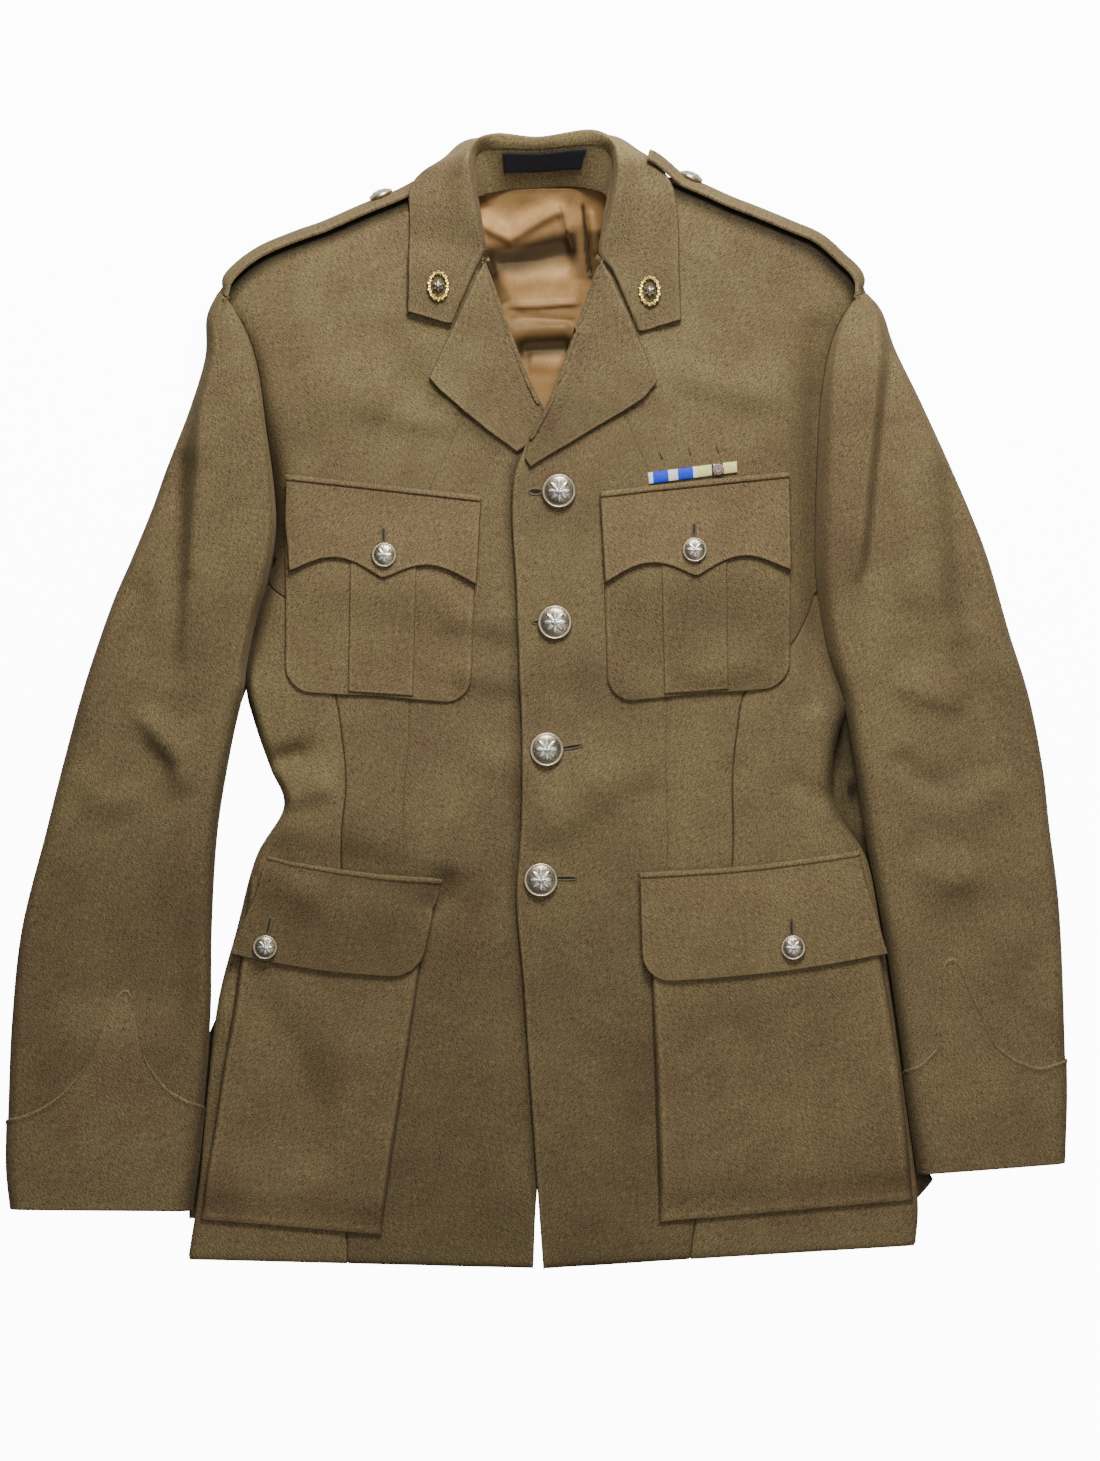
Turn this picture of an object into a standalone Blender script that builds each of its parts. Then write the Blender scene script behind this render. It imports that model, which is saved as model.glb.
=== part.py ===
"""Military dress tunic, laid flat on its back with its fronts buttoned.

Frame: +X to the wearer's left, +Y towards the collar, +Z up off the surface it lies on.
Origin at the bottom centre of the bounding box.  Every size below is in millimetres.

The body is two halves and each sleeve is a tube.  A half is a set of plan rows that run from
the side edge (or the armhole) across to the front edge, with a height worked out over them,
so panels, pockets, flaps and lapels are all made from the same surface, moved out.
"""
import bpy
import numpy as np
from mathutils import Matrix

MM = 0.001

# cloth
BARATHEA = 2.2
POCKET_CLOTH = 1.5
LINING_CLOTH = 1.0
SEAM = 0.4
CLEAR = 0.65

# rolled edges and the thick padded shoulder
UNDER_GAP = 2.1
SIDE_ROLL = 8.0
SLEEVE_ROLL = 9.0
SHOULDER_TOP = 37.0
SHOULDER_EASE = 11.0
OVERLAP_FULL, OVERLAP_END = 48.0, 92.0
# how far below and above the armpit the rolled edge turns into the armhole seam
ROLL_FADE = (4.0, 36.0)
# height share from which the rows bow up to the shoulder line
BOW_FROM = 0.66

SIDES = ("right", "left")
OUTWARD = {"right": -1.0, "left": 1.0}

# Plan rows of each half, hem to shoulder: side edge or armhole x, y; side-body seam x, y;
# front edge x, y.  Where the seam has run into the armhole the two are the same point.
BODY = {
    "right": ((-249, -403, -136, -407, -3, -407), (-240.5, -347, -138, -350, 0, -350),
              (-235, -275, -139, -275, 9, -279), (-228, -214, -141, -207, 20, -204),
              (-216, -164, -141, -150, 29, -143), (-202, -112, -141, -100, 33, -86),
              (-182, -76, -141, -55, 33, -28), (-192, -48, -141, -25, 33, 29),
              (-203, -16, -143, 0, 33, 79), (-209, 12, -154, 20, 31, 126),
              (-203, 52, -170, 46, 25, 159), (-193, 86, -193, 86, 18, 181),
              (-187, 122, -187, 122, 5, 207), (-189, 158, -189, 158, -8, 235),
              (-194, 197, -194, 197, -21, 269), (-199, 235, -199, 235, -35, 308),
              (-207, 262, -207, 262, -50, 348), (-221, 287, -221, 287, -57, 375)),
    "left": ((268, -392, 109, -400, 4, -407), (269, -354, 116, -350, 0, -350),
             (257, -275, 126, -275, -5, -279), (249, -222, 134, -207, -10, -204),
             (243, -161, 138, -150, -15, -143), (231, -113, 140, -103, -12, -93),
             (213, -76, 141, -55, -11, -35), (212, -45, 142, -25, -13, 25),
             (216, -24, 146, 0, -15, 79), (220, -3, 164, 18, -18, 129),
             (208, 36, 184, 40, -16, 161), (200, 83, 200, 83, -5, 189),
             (199, 122, 199, 122, 7, 212), (200, 165, 200, 165, 18, 240),
             (202, 208, 202, 208, 30, 274), (207, 244, 207, 244, 42, 308),
             (215, 269, 215, 269, 55, 344), (227, 288, 227, 288, 63, 374)),
}
ARMPIT_ROW = 9
SEAM_END_ROW = 11

# Shoulder edge in plan from the armhole to the neck point, then the back neck: x, y.
SHOULDER = {
    "right": ((-221, 287), (-213, 298), (-199, 310), (-171, 323), (-151, 330), (-121, 343),
              (-92, 355), (-74, 365), (-57, 375)),
    "left": ((227, 288), (222, 299), (211, 310), (196, 323), (180, 330), (156, 340),
             (133, 349), (113, 358), (95, 365), (63, 374)),
}
NECK = {"right": ((-47, 372), (-26, 369), (-0.3, 368)),
        "left": ((49, 374), (26, 370), (0.3, 368))}
NECK_LIP = (0.35, 0.24)

# Section over the shoulder edge: distance past the edge, drop below it (front) or height (back).
FRONT_LIP = ((2.6, 1.7), (5.2, 4.9), (6.9, 8.6))
BACK_LIP = ((3.0, 0.0), (7.6, 1.8), (9.4, 6.0), (9.7, 11.0), (9.1, 17.0), (8.0, 23.0),
            (7.1, 27.2))

# Height of the chest and skirt over the surface: y, height.
BODY_HEIGHT = ((-408, 14), (-300, 16), (-200, 18), (-100, 21), (0, 26), (100, 31), (200, 36),
               (290, 40), (380, 42))
CAMBER = 0.14
CAMBER_HALF_WIDTH = 250.0

# Lift of the upper front over the lower one: y, lift.
OVERLAP = ((-408, 2.9), (120, 2.9), (165, 5.9), (215, 5.9), (250, 2.9), (290, 0.4), (380, 0.0))

# Depth of the groove along each armhole: y, depth.
ARMHOLE_DIP = {"right": ((-20, 11), (90, 10), (190, 5), (290, 1.5)),
               "left": ((-20, 9), (60, 4), (160, 2), (290, 1.0))}
ARMHOLE_REACH = 11.0

# Half the width of the back vent: y, gap from the centre.
VENT = ((-410, 4.4), (-350, 1.6), (-290, 0.2), (400, 0.2))

# Outer edge of each sleeve cap, one point for each armhole row from the shoulder down: x, y.
CAP = {
    "right": ((-227, 293), (-237, 274), (-238, 246), (-249, 209), (-265, 168), (-277, 135),
              (-292, 99), (-305, 69), (-322, 20)),
    "left": ((235, 294), (247, 278), (256, 252), (273, 217), (292, 176), (310, 135),
             (323, 101), (338, 49), (351, 8)),
}
# The sleeve from the armpit to the cuff: inner edge x, y; outer edge x, y.
ARM = {
    "right": ((-209, 12, -322, 20), (-220, -39, -338, -37), (-229, -96, -353, -96),
              (-233, -164, -370, -164), (-235, -222, -377, -229), (-239, -279, -379.5, -286),
              (-244, -329, -380.5, -333), (-250, -366, -377.5, -365)),
    "left": ((220, -3, 351, 8), (228, -53, 362, -46), (235, -100, 367, -89),
             (243, -141, 373, -136), (251, -186, 376, -179), (260, -246, 378, -236),
             (266, -293, 379, -283), (273, -340, 377.5, -332)),
}
# Height of the sleeve along its length: share of the way down, height.
ARM_HEIGHT = ((0, 39), (0.12, 39), (0.3, 33), (0.5, 27), (0.75, 22), (1.0, 20))
ARM_CROWN = 0.06
CAP_SHARE = 0.46
# shares over which the cap meets the shoulder and turns into the rolled edge of the arm
CAP_START = 0.005
CAP_EASE = 0.05
ROLL_START = 0.01
REACH_SHARE, ROLL_SHARE = 0.15, 0.8
# angle round the outer edge at which the top sleeve ends; a cuff goes further under it
TOP_SLEEVE_END = np.radians(90)
CUFF_WRAP = 1.33

# Pointed cuff: depth at its sides, extra depth at its point, place of the point across the
# sleeve from the inner edge, and the spread of the point towards the inner and outer edge.
CUFF = {"right": (74.0, 83.0, 0.43, 0.14, 0.18), "left": (74.0, 74.0, 0.30, 0.08, 0.17)}
CUFF_POWER = 1.3
CUFF_CLEAR = 0.7
# share of the cuff's breadth taken by each rolled edge
CUFF_EDGE = 0.07

# Largest folds: start x, y; end x, y; half width; height (a trough is negative).
FOLDS = (
    (-238, 262, -246, 95, 7, 2.5),
    (-258, 170, -285, 80, 12, -4.5),
    (198, 262, 199, 0, 10, -4.0),
    (246, 272, 228, 92, 5, 3.0),
    (253, 262, 236, 92, 5, -3.0),
    (258, 160, 262, 80, 12, 2.5),
    (300, 158, 302, 66, 12, -4.0),
    (-182, -40, -165, -34, 8, -3.0),
    (-197, -102, -176, -91, 8, 1.0),
    (205, -70, 186, -60, 9, -2.5),
    (-330, -70, -240, -95, 10, -2.5),
    (255, -80, 350, -60, 10, -2.5),
    (-90, -330, -60, -400, 22, 2.0),
    (60, -330, 45, -400, 22, 1.5),
)

# Patch pockets and flaps as four corners: top outer, top inner, bottom inner, bottom outer.
BREAST_FLAP = {"right": ((-178, 156.5), (-40, 141), (-44, 82), (-176, 92)),
               "left": ((179, 158.5), (44, 144.5), (48, 84), (179, 93))}
BREAST_BAG = {"right": ((-179, 146), (-43, 132), (-47.5, -2), (-181, 7)),
              "left": ((180, 148), (46, 134), (50, -1), (181, 10))}
LOWER_FLAP = {"right": ((-194, -116), (-71, -130), (-84, -198), (-217, -182)),
              "left": ((224, -114), (73, -128), (76, -201), (241, -183))}
LOWER_BAG = {"right": ((-204, -126), (-76, -138), (-112, -383), (-241, -372)),
             "left": ((229, -124), (80, -136), (87, -374), (265, -358))}
FLAP_SCALLOP = 12.0
SCALLOP_POWER = 1.15
FLAP_SAG = 3.0
FLAP_CORNER = 20.0
BAG_CORNER = 18.0
BAG_DEPTH = 5.2
GUSSET = 6.0
LOWER_FLAP_LIFT = (6.6, 7.9)
LOWER_WELT_RISE = 0.2
BREAST_WELT_RISE = 0.4
WELT_WIDTH = 5.7
# box pleat: span across the bag, span down it
PLEAT = (0.34, 0.69)
PLEAT_DROP = (0.3, 0.985)
PLEAT_CLOTH = 1.0

# Lapels: roll line x, y; outer edge x, y, from the gorge down past the tip to the first button.
LAPEL = {
    "right": ((-33.5, 316, -38, 313), (-29, 305, -46, 297), (-24.5, 292, -53, 282),
              (-20, 278, -60.5, 266), (-16, 265, -69, 248), (-11.5, 254, -77.5, 230),
              (-7.5, 241, -71, 222), (-2.5, 229, -54, 207), (2, 216, -35, 192),
              (4, 203, -22, 182.5), (5, 190, -14.5, 177)),
    "left": ((42.5, 317, 46, 313), (38.5, 303, 53.5, 301), (33.5, 288, 60.5, 285),
             (28.5, 274, 66, 273.5), (24, 261.5, 71, 261), (20, 250, 78, 245),
             (15.5, 237, 85, 227), (11.5, 225, 76, 216), (6.5, 214, 58, 204),
             (1.5, 203.5, 40, 193.5), (-3.5, 195, 23, 183), (-7, 184, 7.5, 174),
             (-9.5, 172, -5.5, 166)),
}
LAPEL_EASE = 7.0
LAPEL_CLEAR = 0.8
LAPEL_RISE = 1.0
# shares down the lapel at which it rises off its roll line and settles again
LAPEL_RISES = (0, 0.2)
LAPEL_SETTLES = (0.55, 0.8)

# Collar stations from the right gorge round the back neck to the left gorge:
# outer edge x, y, z; crest of the fold x, y, z; stand seam x, y, z.
COLLAR = (
    (-92.7, 276.7, 0, -64.5, 268.6, 0, -61.3, 268.4, 0),
    (-92, 294, 0, -57, 286.6, 0, -53.6, 286.5, 0),
    (-92, 312, 0, -48.5, 305.8, 0, -45.1, 305.9, 0),
    (-91.6, 330, 43.5, -40.6, 322.5, 47, -36, 321, 45),
    (-91.6, 348, 43.5, -42.5, 343.3, 50, -38.5, 343, 43),
    (-91.5, 365, 41, -46.2, 365.5, 50, -41.5, 365, 41),
    (-84, 377, 31, -48, 387, 48.5, -42.5, 380, 37),
    (-69, 388, 17, -42, 398.5, 44.5, -38, 388.4, 31.5),
    (-48, 400, 7, -25, 402.5, 41.5, -24, 387, 28),
    (-1, 407.5, 3, 1, 403.5, 40, 1.5, 387.7, 27),
    (50, 405, 6, 35, 403.5, 41.5, 33, 389.5, 29),
    (74, 394, 15, 52, 398, 44.5, 47, 390, 33),
    (88, 382, 31, 56.5, 386, 48.5, 51, 381, 38),
    (97, 366, 41, 55.5, 365.5, 50, 50.5, 365, 41),
    (99.9, 348, 43.5, 52, 347.6, 50, 48, 347, 43),
    (101, 330, 43.5, 48, 322, 47, 43.6, 321, 45),
    (101, 312, 0, 57, 305.8, 0, 53.7, 306, 0),
    (101.7, 292, 0, 65.5, 286.6, 0, 62.4, 286.5, 0),
    (102.5, 271, 0, 75.5, 262.9, 0, 72.4, 262.7, 0),
)
COLLAR_LIFT = 6.4
COLLAR_DROP = 0.9
COLLAR_STEPS = 25
# places of outer edge, middle, crest, inside and seam over the leaf, and its columns
LEAF_KNOTS = (0, 0.5, 0.86, 0.93, 1.0)
LEAF_ACROSS = (0, 0.2, 0.42, 0.62, 0.76, 0.86, 0.93, 1.0)
LEAF_MIDDLE = 0.55
# bulge of the leaf: where it is narrow and stands, and where it is wide and lies
LEAF_WIDE = 30.0
LEAF_BULGE = (2.0, -1.2)
ROLL_BULGE = 0.8
STAND_ROWS = (3, 15)
STAND_TUCK = 3.2
# Lower edge of the stand at the neck seam: share of the way round, x, y, z.
NECK_SEAM = ((0.0, -36, 321, 40), (0.17, -40, 347, 33), (0.33, -41, 361, 20),
             (0.42, -22, 366, 9.5), (0.5, 1, 367.5, 8.2), (0.58, 24, 368.5, 9.5),
             (0.67, 45, 364, 20), (0.83, 47, 347, 33), (1.0, 43, 321, 40))
LABEL_SPAN = (0.415, 0.59)
LABEL_RISE = (0.07, 0.56)

# Lining seen in the neck: y, left x, right x, height.
LINING = ((196, -22, 30, 4.0), (235, -34, 42, 4.6), (275, -44, 54, 5.2), (315, -53, 64, 4.8),
          (345, -52, 62, 4.6), (362, -44, 52, 4.6))
LINING_FOLDS = ((-39, 338, 0, 345, 7, 3.0), (0, 345, 32, 352, 7, 3.0), (28, 351, 36, 318, 5, -1.2),
                (-20, 282, 32, 285, 7, 1.6))

# Shoulder strap section: distance past the shoulder edge, height.
STRAP_SECTION = ((13.4, 7.0), (12.9, 13.5), (11.9, 22.0), (10.5, 30.0), (9.3, 37.5))
STRAP_SPAN = {"right": (0.05, 0.80), "left": (0.05, 0.838)}
STRAP_BUTTON_AT = {"right": 0.70, "left": 0.77}
STRAP_CLOTH = 2.4
STRAP_BUTTON_GAP = 0.3

# Buttons: diameter, height, sides; and their profile as shares of the radius and height.
BIG_BUTTON = (24.5, 6.0, 16)
SMALL_BUTTON = (17.5, 4.8, 12)
DOME = ((0, 1), (0.4, 0.93), (0.7, 0.73), (0.86, 0.42), (1, 0.36), (0.93, 0), (0, 0))
PROBE = 3.0
FRONT_BUTTONS = ((15.3, 149.8), (12.5, 55.8), (6.3, -34.8), (2.3, -128.2))
BREAST_BUTTONS = {"right": (-109.3, 103.5), "left": (112.0, 107.3)}
LOWER_BUTTONS = {"right": (-194.6, -176.0), "left": (182.5, -176.7)}

# Collar badges: centre x, y; half width and half height of the wreath; radius of the star.
BADGES = {"right": (-70.5, 295.0), "left": (80.0, 291.5)}
WREATH_HALF = (8.0, 11.0)
WREATH_BAND = 3.0
WREATH_SECTION = ((0, 0), (0.25, 0.8), (0.75, 0.8), (1, 0))
WREATH_LEAVES = 8
WREATH_WAVE = 0.04
STAR_RADIUS = 4.7
STAR_POINTS = 6
STAR_WAIST = 0.5
# heights of the star's back, edge and middle over the foot of the wreath
STAR_HEIGHTS = (0.2, 0.9, 2.2)
BADGE_THICK = 1.6
BADGE_SINK = 1.05
BADGE_TILT = 0.12

# Medal ribbons over the left breast pocket: top inner, top outer, bottom outer, bottom inner.
RIBBON_BAR = ((78.7, 162.7), (142.3, 170.8), (142.7, 163.0), (79.5, 154.7))
RIBBON_SPLIT = 0.5
RIBBON_GAP = 0.0023
RIBBON_THICK = 1.4
ROSETTE = (129.0, 165.0, 4.2)
ROSETTE_PROFILE = ((0, 1.8), (0.6, 1.6), (1, 0.8), (0.95, 0), (0, 0))


# ---------------------------------------------------------------- curves and heights

def through(knots, values, at):
    """Cubic curve through values at the knots, each slope taken from its neighbours."""
    knots = np.asarray(knots, float)
    values = np.asarray(values, float)
    at = np.clip(np.asarray(at, float), knots[0], knots[-1])
    slopes = np.gradient(values, knots, axis=0)
    i = np.clip(np.searchsorted(knots, at, side="right") - 1, 0, len(knots) - 2)
    step = knots[i + 1] - knots[i]
    t = (at - knots[i]) / step
    spare = (1,) * (values.ndim - 1)
    t, step = t.reshape(t.shape + spare), step.reshape(step.shape + spare)
    rest = 1.0 - t
    return (values[i] * (1 + 2 * t) * rest**2 + slopes[i] * step * t * rest**2
            + values[i + 1] * (3 - 2 * t) * t**2 - slopes[i + 1] * step * t**2 * rest)


def by_column(table, at):
    """The second column of a table as a smooth function of its first."""
    rows = np.array(table, float)
    return through(rows[:, 0], rows[:, 1], at)


def ease(value, start, end):
    """Smooth step from 0 at start to 1 at end."""
    t = np.clip((value - start) / (end - start), 0.0, 1.0)
    return t * t * (3 - 2 * t)


def lengths(points):
    """Share of the way along a run of points, 0 to 1."""
    steps = np.linalg.norm(np.diff(points, axis=0), axis=1)
    total = np.concatenate([[0.0], np.cumsum(steps)])
    return total / total[-1]


def fold_height(x, y, folds):
    """Sum of soft ridges and troughs, each along a straight run of its own."""
    total = np.zeros(np.shape(x))
    for x0, y0, x1, y1, width, height in folds:
        run = np.array([x1 - x0, y1 - y0], float)
        t = np.clip(((x - x0) * run[0] + (y - y0) * run[1]) / (run @ run), 0, 1)
        away = np.hypot(x - x0 - t * run[0], y - y0 - t * run[1])
        total = total + height * np.exp(-(away / width) ** 2)
    return total


def body_height(x, y):
    """Height of the outer face of the body over the surface it lies on."""
    camber = 1 - CAMBER * (x / CAMBER_HALF_WIDTH) ** 2
    return by_column(BODY_HEIGHT, y) * camber + fold_height(x, y, FOLDS)


def under_angle(height):
    """Angle round a rolled edge at which the piece below starts, just under its widest point."""
    return np.arccos(-2 * UNDER_GAP / height)


def moved_out(points, lift):
    """Grid of points moved along its own outward (upward) normals."""
    down = np.gradient(points, axis=0)
    across = np.gradient(points, axis=1)
    normal = np.cross(across, down)
    normal /= np.linalg.norm(normal, axis=-1, keepdims=True)
    upward = np.sign(normal[..., 2].sum())
    return points + normal * upward * np.asarray(lift)[..., None]


LOCATE_STEPS = 30
LOCATE_DAMPING = 0.7


class Half:
    """One half of the body, as a surface over its plan rows."""

    def __init__(self, side):
        self.side = side
        self.rows = np.array(BODY[side], float)
        self.at = np.linspace(0, 1, len(self.rows))
        self.armpit = self.at[ARMPIT_ROW]
        self.edge_top = np.array(SHOULDER[side], float)

    def line(self, column, v):
        """Plan point on the edge (0), side seam (1) or front edge (2) at height share v."""
        return through(self.at, self.rows[:, 2 * column:2 * column + 2], v)

    def seam_share(self, v):
        """Share of a row at which the side-body seam lies."""
        edge, seam, front = (self.line(k, v) for k in range(3))
        return (np.linalg.norm(seam - edge, axis=-1) / np.linalg.norm(front - edge, axis=-1))

    def plan(self, f, v, top=None, inner=None):
        """Plan point a share f of the way in from the edge, bowed to the shoulder line."""
        top = self.edge_top if top is None else top
        inner = self.line(2, v) if inner is None else inner
        edge = self.line(0, v)
        row = edge + f[..., None] * (inner - edge)
        straight = top[0] + f[..., None] * (top[-1] - top[0])
        bow = through(lengths(top), top, f) - straight
        return row + bow * ease(v, BOW_FROM, 1.0)[..., None]

    def rolled(self, v):
        """1 where the edge is rolled under, 0 where it is sewn into the armhole."""
        armpit = self.rows[ARMPIT_ROW, 1]
        return 1 - ease(self.line(0, v)[..., 1], armpit - ROLL_FADE[0], armpit + ROLL_FADE[1])

    def surface(self, f, v):
        """Outer face of the half at row shares f and height shares v."""
        f, v = np.broadcast_arrays(np.asarray(f, float), np.asarray(v, float))
        xy = self.plan(f, v)
        x, y = xy[..., 0], xy[..., 1]
        width = np.linalg.norm(self.line(2, v) - self.line(0, v), axis=-1)
        height = body_height(x, y)
        if self.side == "left":
            lap = np.interp(y, *np.transpose(OVERLAP))
            height = height + lap * (1 - ease((1 - f) * width, OVERLAP_FULL, OVERLAP_END))
        d = f * width
        near = np.clip(1 - d / SIDE_ROLL, 0, 1)
        roll = height / 2 * (1 + np.sqrt(1 - near**2))
        dip = by_column(ARMHOLE_DIP[self.side], y) * np.clip(1 - d / ARMHOLE_REACH, 0, 1) ** 2
        share = self.rolled(v)
        z = share * roll + (1 - share) * (height - dip)
        to_top = np.linalg.norm(self.plan(f, np.ones_like(v)) - xy, axis=-1)
        near_top = np.clip(1 - to_top / SHOULDER_EASE, 0, 1) ** 2
        z = z + near_top * (SHOULDER_TOP - z)
        return np.concatenate([xy, z[..., None]], axis=-1)

    def locate(self, x, y):
        """Shares f, v of plan points, by damped Newton steps on the plan."""
        hem, neck = self.rows[[0, -1], 5]
        f = np.full(np.shape(x), 0.5)
        v = np.clip((np.asarray(y, float) - hem) / (neck - hem), 0.02, 0.98)
        small = 1e-4
        for _ in range(LOCATE_STEPS):
            here = self.plan(f, v)
            by_f = (self.plan(f + small, v) - here) / small
            by_v = (self.plan(f, v + small) - here) / small
            miss_x, miss_y = x - here[..., 0], y - here[..., 1]
            size = by_f[..., 0] * by_v[..., 1] - by_f[..., 1] * by_v[..., 0]
            step_f = (miss_x * by_v[..., 1] - miss_y * by_v[..., 0]) / size
            step_v = (miss_y * by_f[..., 0] - miss_x * by_f[..., 1]) / size
            f = np.clip(f + LOCATE_DAMPING * step_f, 0, 1)
            v = np.clip(v + LOCATE_DAMPING * step_v, 0, 0.999)
        return f, v

    def over(self, x, y, lift):
        """Plan points laid on the half and moved out by lift along its normals."""
        f, v = self.locate(x, y)
        small = 0.002
        by_f = self.surface(np.minimum(f + small, 1), v) - self.surface(np.maximum(f - small, 0), v)
        by_v = self.surface(f, v + small) - self.surface(f, v - small)
        normal = np.cross(by_f, by_v)
        normal *= np.sign(normal[..., 2:]) / np.linalg.norm(normal, axis=-1, keepdims=True)
        lift = np.broadcast_to(lift, np.shape(x))
        return self.surface(f, v) + normal * lift[..., None]

    def shoulder(self, f, past, height, top=None):
        """Points past the shoulder edge: a row for each distance and height."""
        top = self.edge_top if top is None else top
        along = lengths(top)
        small = 0.01
        here = through(along, top, f)
        run = through(along, top, f + small) - through(along, top, f - small)
        away = np.stack([-run[..., 1], run[..., 0]], axis=-1)
        away /= np.linalg.norm(away, axis=-1, keepdims=True)
        away *= np.sign(away[..., 1:2])
        xy = here + away * past[..., None]
        return np.concatenate([xy, height[..., None]], axis=-1)


class Sleeve:
    """One sleeve, as a tube of plan rows from the armhole to the cuff."""

    def __init__(self, side, half):
        self.side = side
        self.half = half
        cap, arm = np.array(CAP[side], float), np.array(ARM[side], float)
        self.cap_at = np.linspace(0, CAP_SHARE, len(cap))
        self.arm_at = np.linspace(CAP_SHARE, 1, len(arm))
        self.outer_at = np.concatenate([self.cap_at, self.arm_at[1:]])
        self.outer_points = np.concatenate([cap, arm[1:, 2:]])
        self.outer_points[0] = half.shoulder(np.zeros(1), np.full(1, BACK_LIP[3][0]),
                                             np.zeros(1))[0, :2]
        self.inner_points = arm[:, :2]

    def inner(self, v):
        """Inner edge: along the armhole, then down the arm."""
        up = 1 - np.minimum(v / CAP_SHARE, 1) * (1 - self.half.armpit)
        cap = self.half.line(0, up)
        arm = through(self.arm_at, self.inner_points, v)
        return np.where((v < CAP_SHARE)[..., None], cap, arm)

    def outer(self, v):
        return through(self.outer_at, self.outer_points, v)

    def breadth(self, v):
        """Inner edge, direction and width across, 1 where the edges are rolled, and the
        radius of the inner and the outer roll."""
        inner, outer = self.inner(v), self.outer(v)
        width = np.linalg.norm(outer - inner, axis=-1)
        across = (outer - inner) / width[..., None]
        width = width - SEAM
        rolled = ease(v, CAP_SHARE - ROLL_START, CAP_SHARE + CAP_EASE)
        reach = np.minimum(ARMHOLE_REACH, REACH_SHARE * width)
        in_roll = rolled * SLEEVE_ROLL + (1 - rolled) * reach
        out_roll = np.minimum(SLEEVE_ROLL, ROLL_SHARE * width)
        return inner + across * SEAM, across, width, rolled, in_roll, out_roll

    def section(self, s, v):
        """Point at station s: 0 to 1 over the inner edge, 1 to 2 across, 2 to 3 round the
        outer edge to its seam, and a cuff goes on under it."""
        s, v = np.broadcast_arrays(np.asarray(s, float), np.asarray(v, float))
        inner, across, width, rolled, in_roll, out_roll = self.breadth(v)
        angle_in = np.pi / 2 * (1 - np.clip(s, 0, 1))
        angle_out = TOP_SLEEVE_END * np.clip(s - 2, 0, CUFF_WRAP)
        t = np.clip(s - 1, 0, 1)
        d = np.where(s < 1, in_roll * (1 - np.sin(angle_in)),
                     np.where(s < 2, in_roll + t * (width - in_roll - out_roll),
                              width - out_roll * (1 - np.sin(angle_out))))
        xy = inner + across * d[..., None]
        crown = by_column(ARM_HEIGHT, v) * (1 + ARM_CROWN * np.sin(np.pi * t))
        creases = fold_height(xy[..., 0], xy[..., 1], FOLDS) * np.clip(3 - s, 0, 1)
        height = crown + creases
        seam = body_height(inner[..., 0], inner[..., 1]) - by_column(
            ARMHOLE_DIP[self.side], inner[..., 1])
        seam = seam + (SHOULDER_TOP - seam) * (1 - ease(v, 0, CAP_EASE))
        blend = np.clip(1 - d / np.maximum(in_roll, 0.1), 0, 1) ** 2
        sewn = height + (seam - height) * blend
        turned = height / 2 * (1 + np.cos(angle_in))
        z = np.where(s < 1, rolled * turned + (1 - rolled) * sewn, height)
        z = np.where(s > 2, height / 2 * (1 + np.cos(angle_out)), z)
        return np.concatenate([xy, z[..., None]], axis=-1)

    def under(self, s, v):
        """Underside: s 0 to 1 round the inner edge, 1 to 2 flat, 2 to 3 up to the outer seam."""
        s, v = np.broadcast_arrays(np.asarray(s, float), np.asarray(v, float))
        inner, across, width, rolled, in_roll, out_roll = self.breadth(v)
        height = by_column(ARM_HEIGHT, v)
        first = under_angle(height)
        angle_in = first + (np.pi - first) * np.clip(s, 0, 1)
        angle_out = np.pi - (np.pi - first) * np.clip(s - 2, 0, 1)
        t = np.clip(s - 1, 0, 1)
        tuck = (1 - rolled) * in_roll * (1 - np.sin(first)) * np.clip(1 - s, 0, 1)
        d = np.where(s < 1, in_roll * (1 - np.sin(angle_in)) - tuck,
                     np.where(s < 2, in_roll + t * (width - in_roll - out_roll),
                              width - out_roll * (1 - np.sin(angle_out))))
        xy = inner + across * d[..., None]
        z = np.where(s < 1, rolled * height / 2 * (1 + np.cos(angle_in)), 0.0)
        z = np.where(s > 2, height / 2 * (1 + np.cos(angle_out)), z)
        return np.concatenate([xy, z[..., None]], axis=-1)


# ---------------------------------------------------------------- objects

def start_scene():
    for old in list(bpy.data.objects):
        bpy.data.objects.remove(old)
    model = bpy.data.collections.new("dress_tunic")
    bpy.context.scene.collection.children.link(model)
    return model


def finish(name, colour, roughness, metallic=0.0):
    made = bpy.data.materials.new(name)
    made.use_nodes = True
    shader = made.node_tree.nodes["Principled BSDF"]
    shader.inputs["Base Color"].default_value = (*colour, 1)
    shader.inputs["Roughness"].default_value = roughness
    shader.inputs["Metallic"].default_value = metallic
    return made


KHAKI = ((0.17, 0.135, 0.075), 0.9)
SATIN = ((0.55, 0.33, 0.14), 0.4)
GILT = ((0.72, 0.60, 0.36), 0.3, 1.0)
SILVER = ((0.75, 0.75, 0.74), 0.25, 1.0)
LABEL_NAVY = ((0.01, 0.012, 0.03), 0.6)
RIBBON_BLUE = ((0.02, 0.12, 0.6), 0.7)
RIBBON_SAND = ((0.75, 0.6, 0.25), 0.7)
ROSETTE_SILK = ((0.8, 0.8, 0.82), 0.7)


def add(name, mesh, look):
    """Object named for its node, linked into the model with a material of its own."""
    thing = bpy.data.objects.new(name, mesh)
    mesh.materials.append(finish(name, *look))
    MODEL.objects.link(thing)
    return thing


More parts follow.
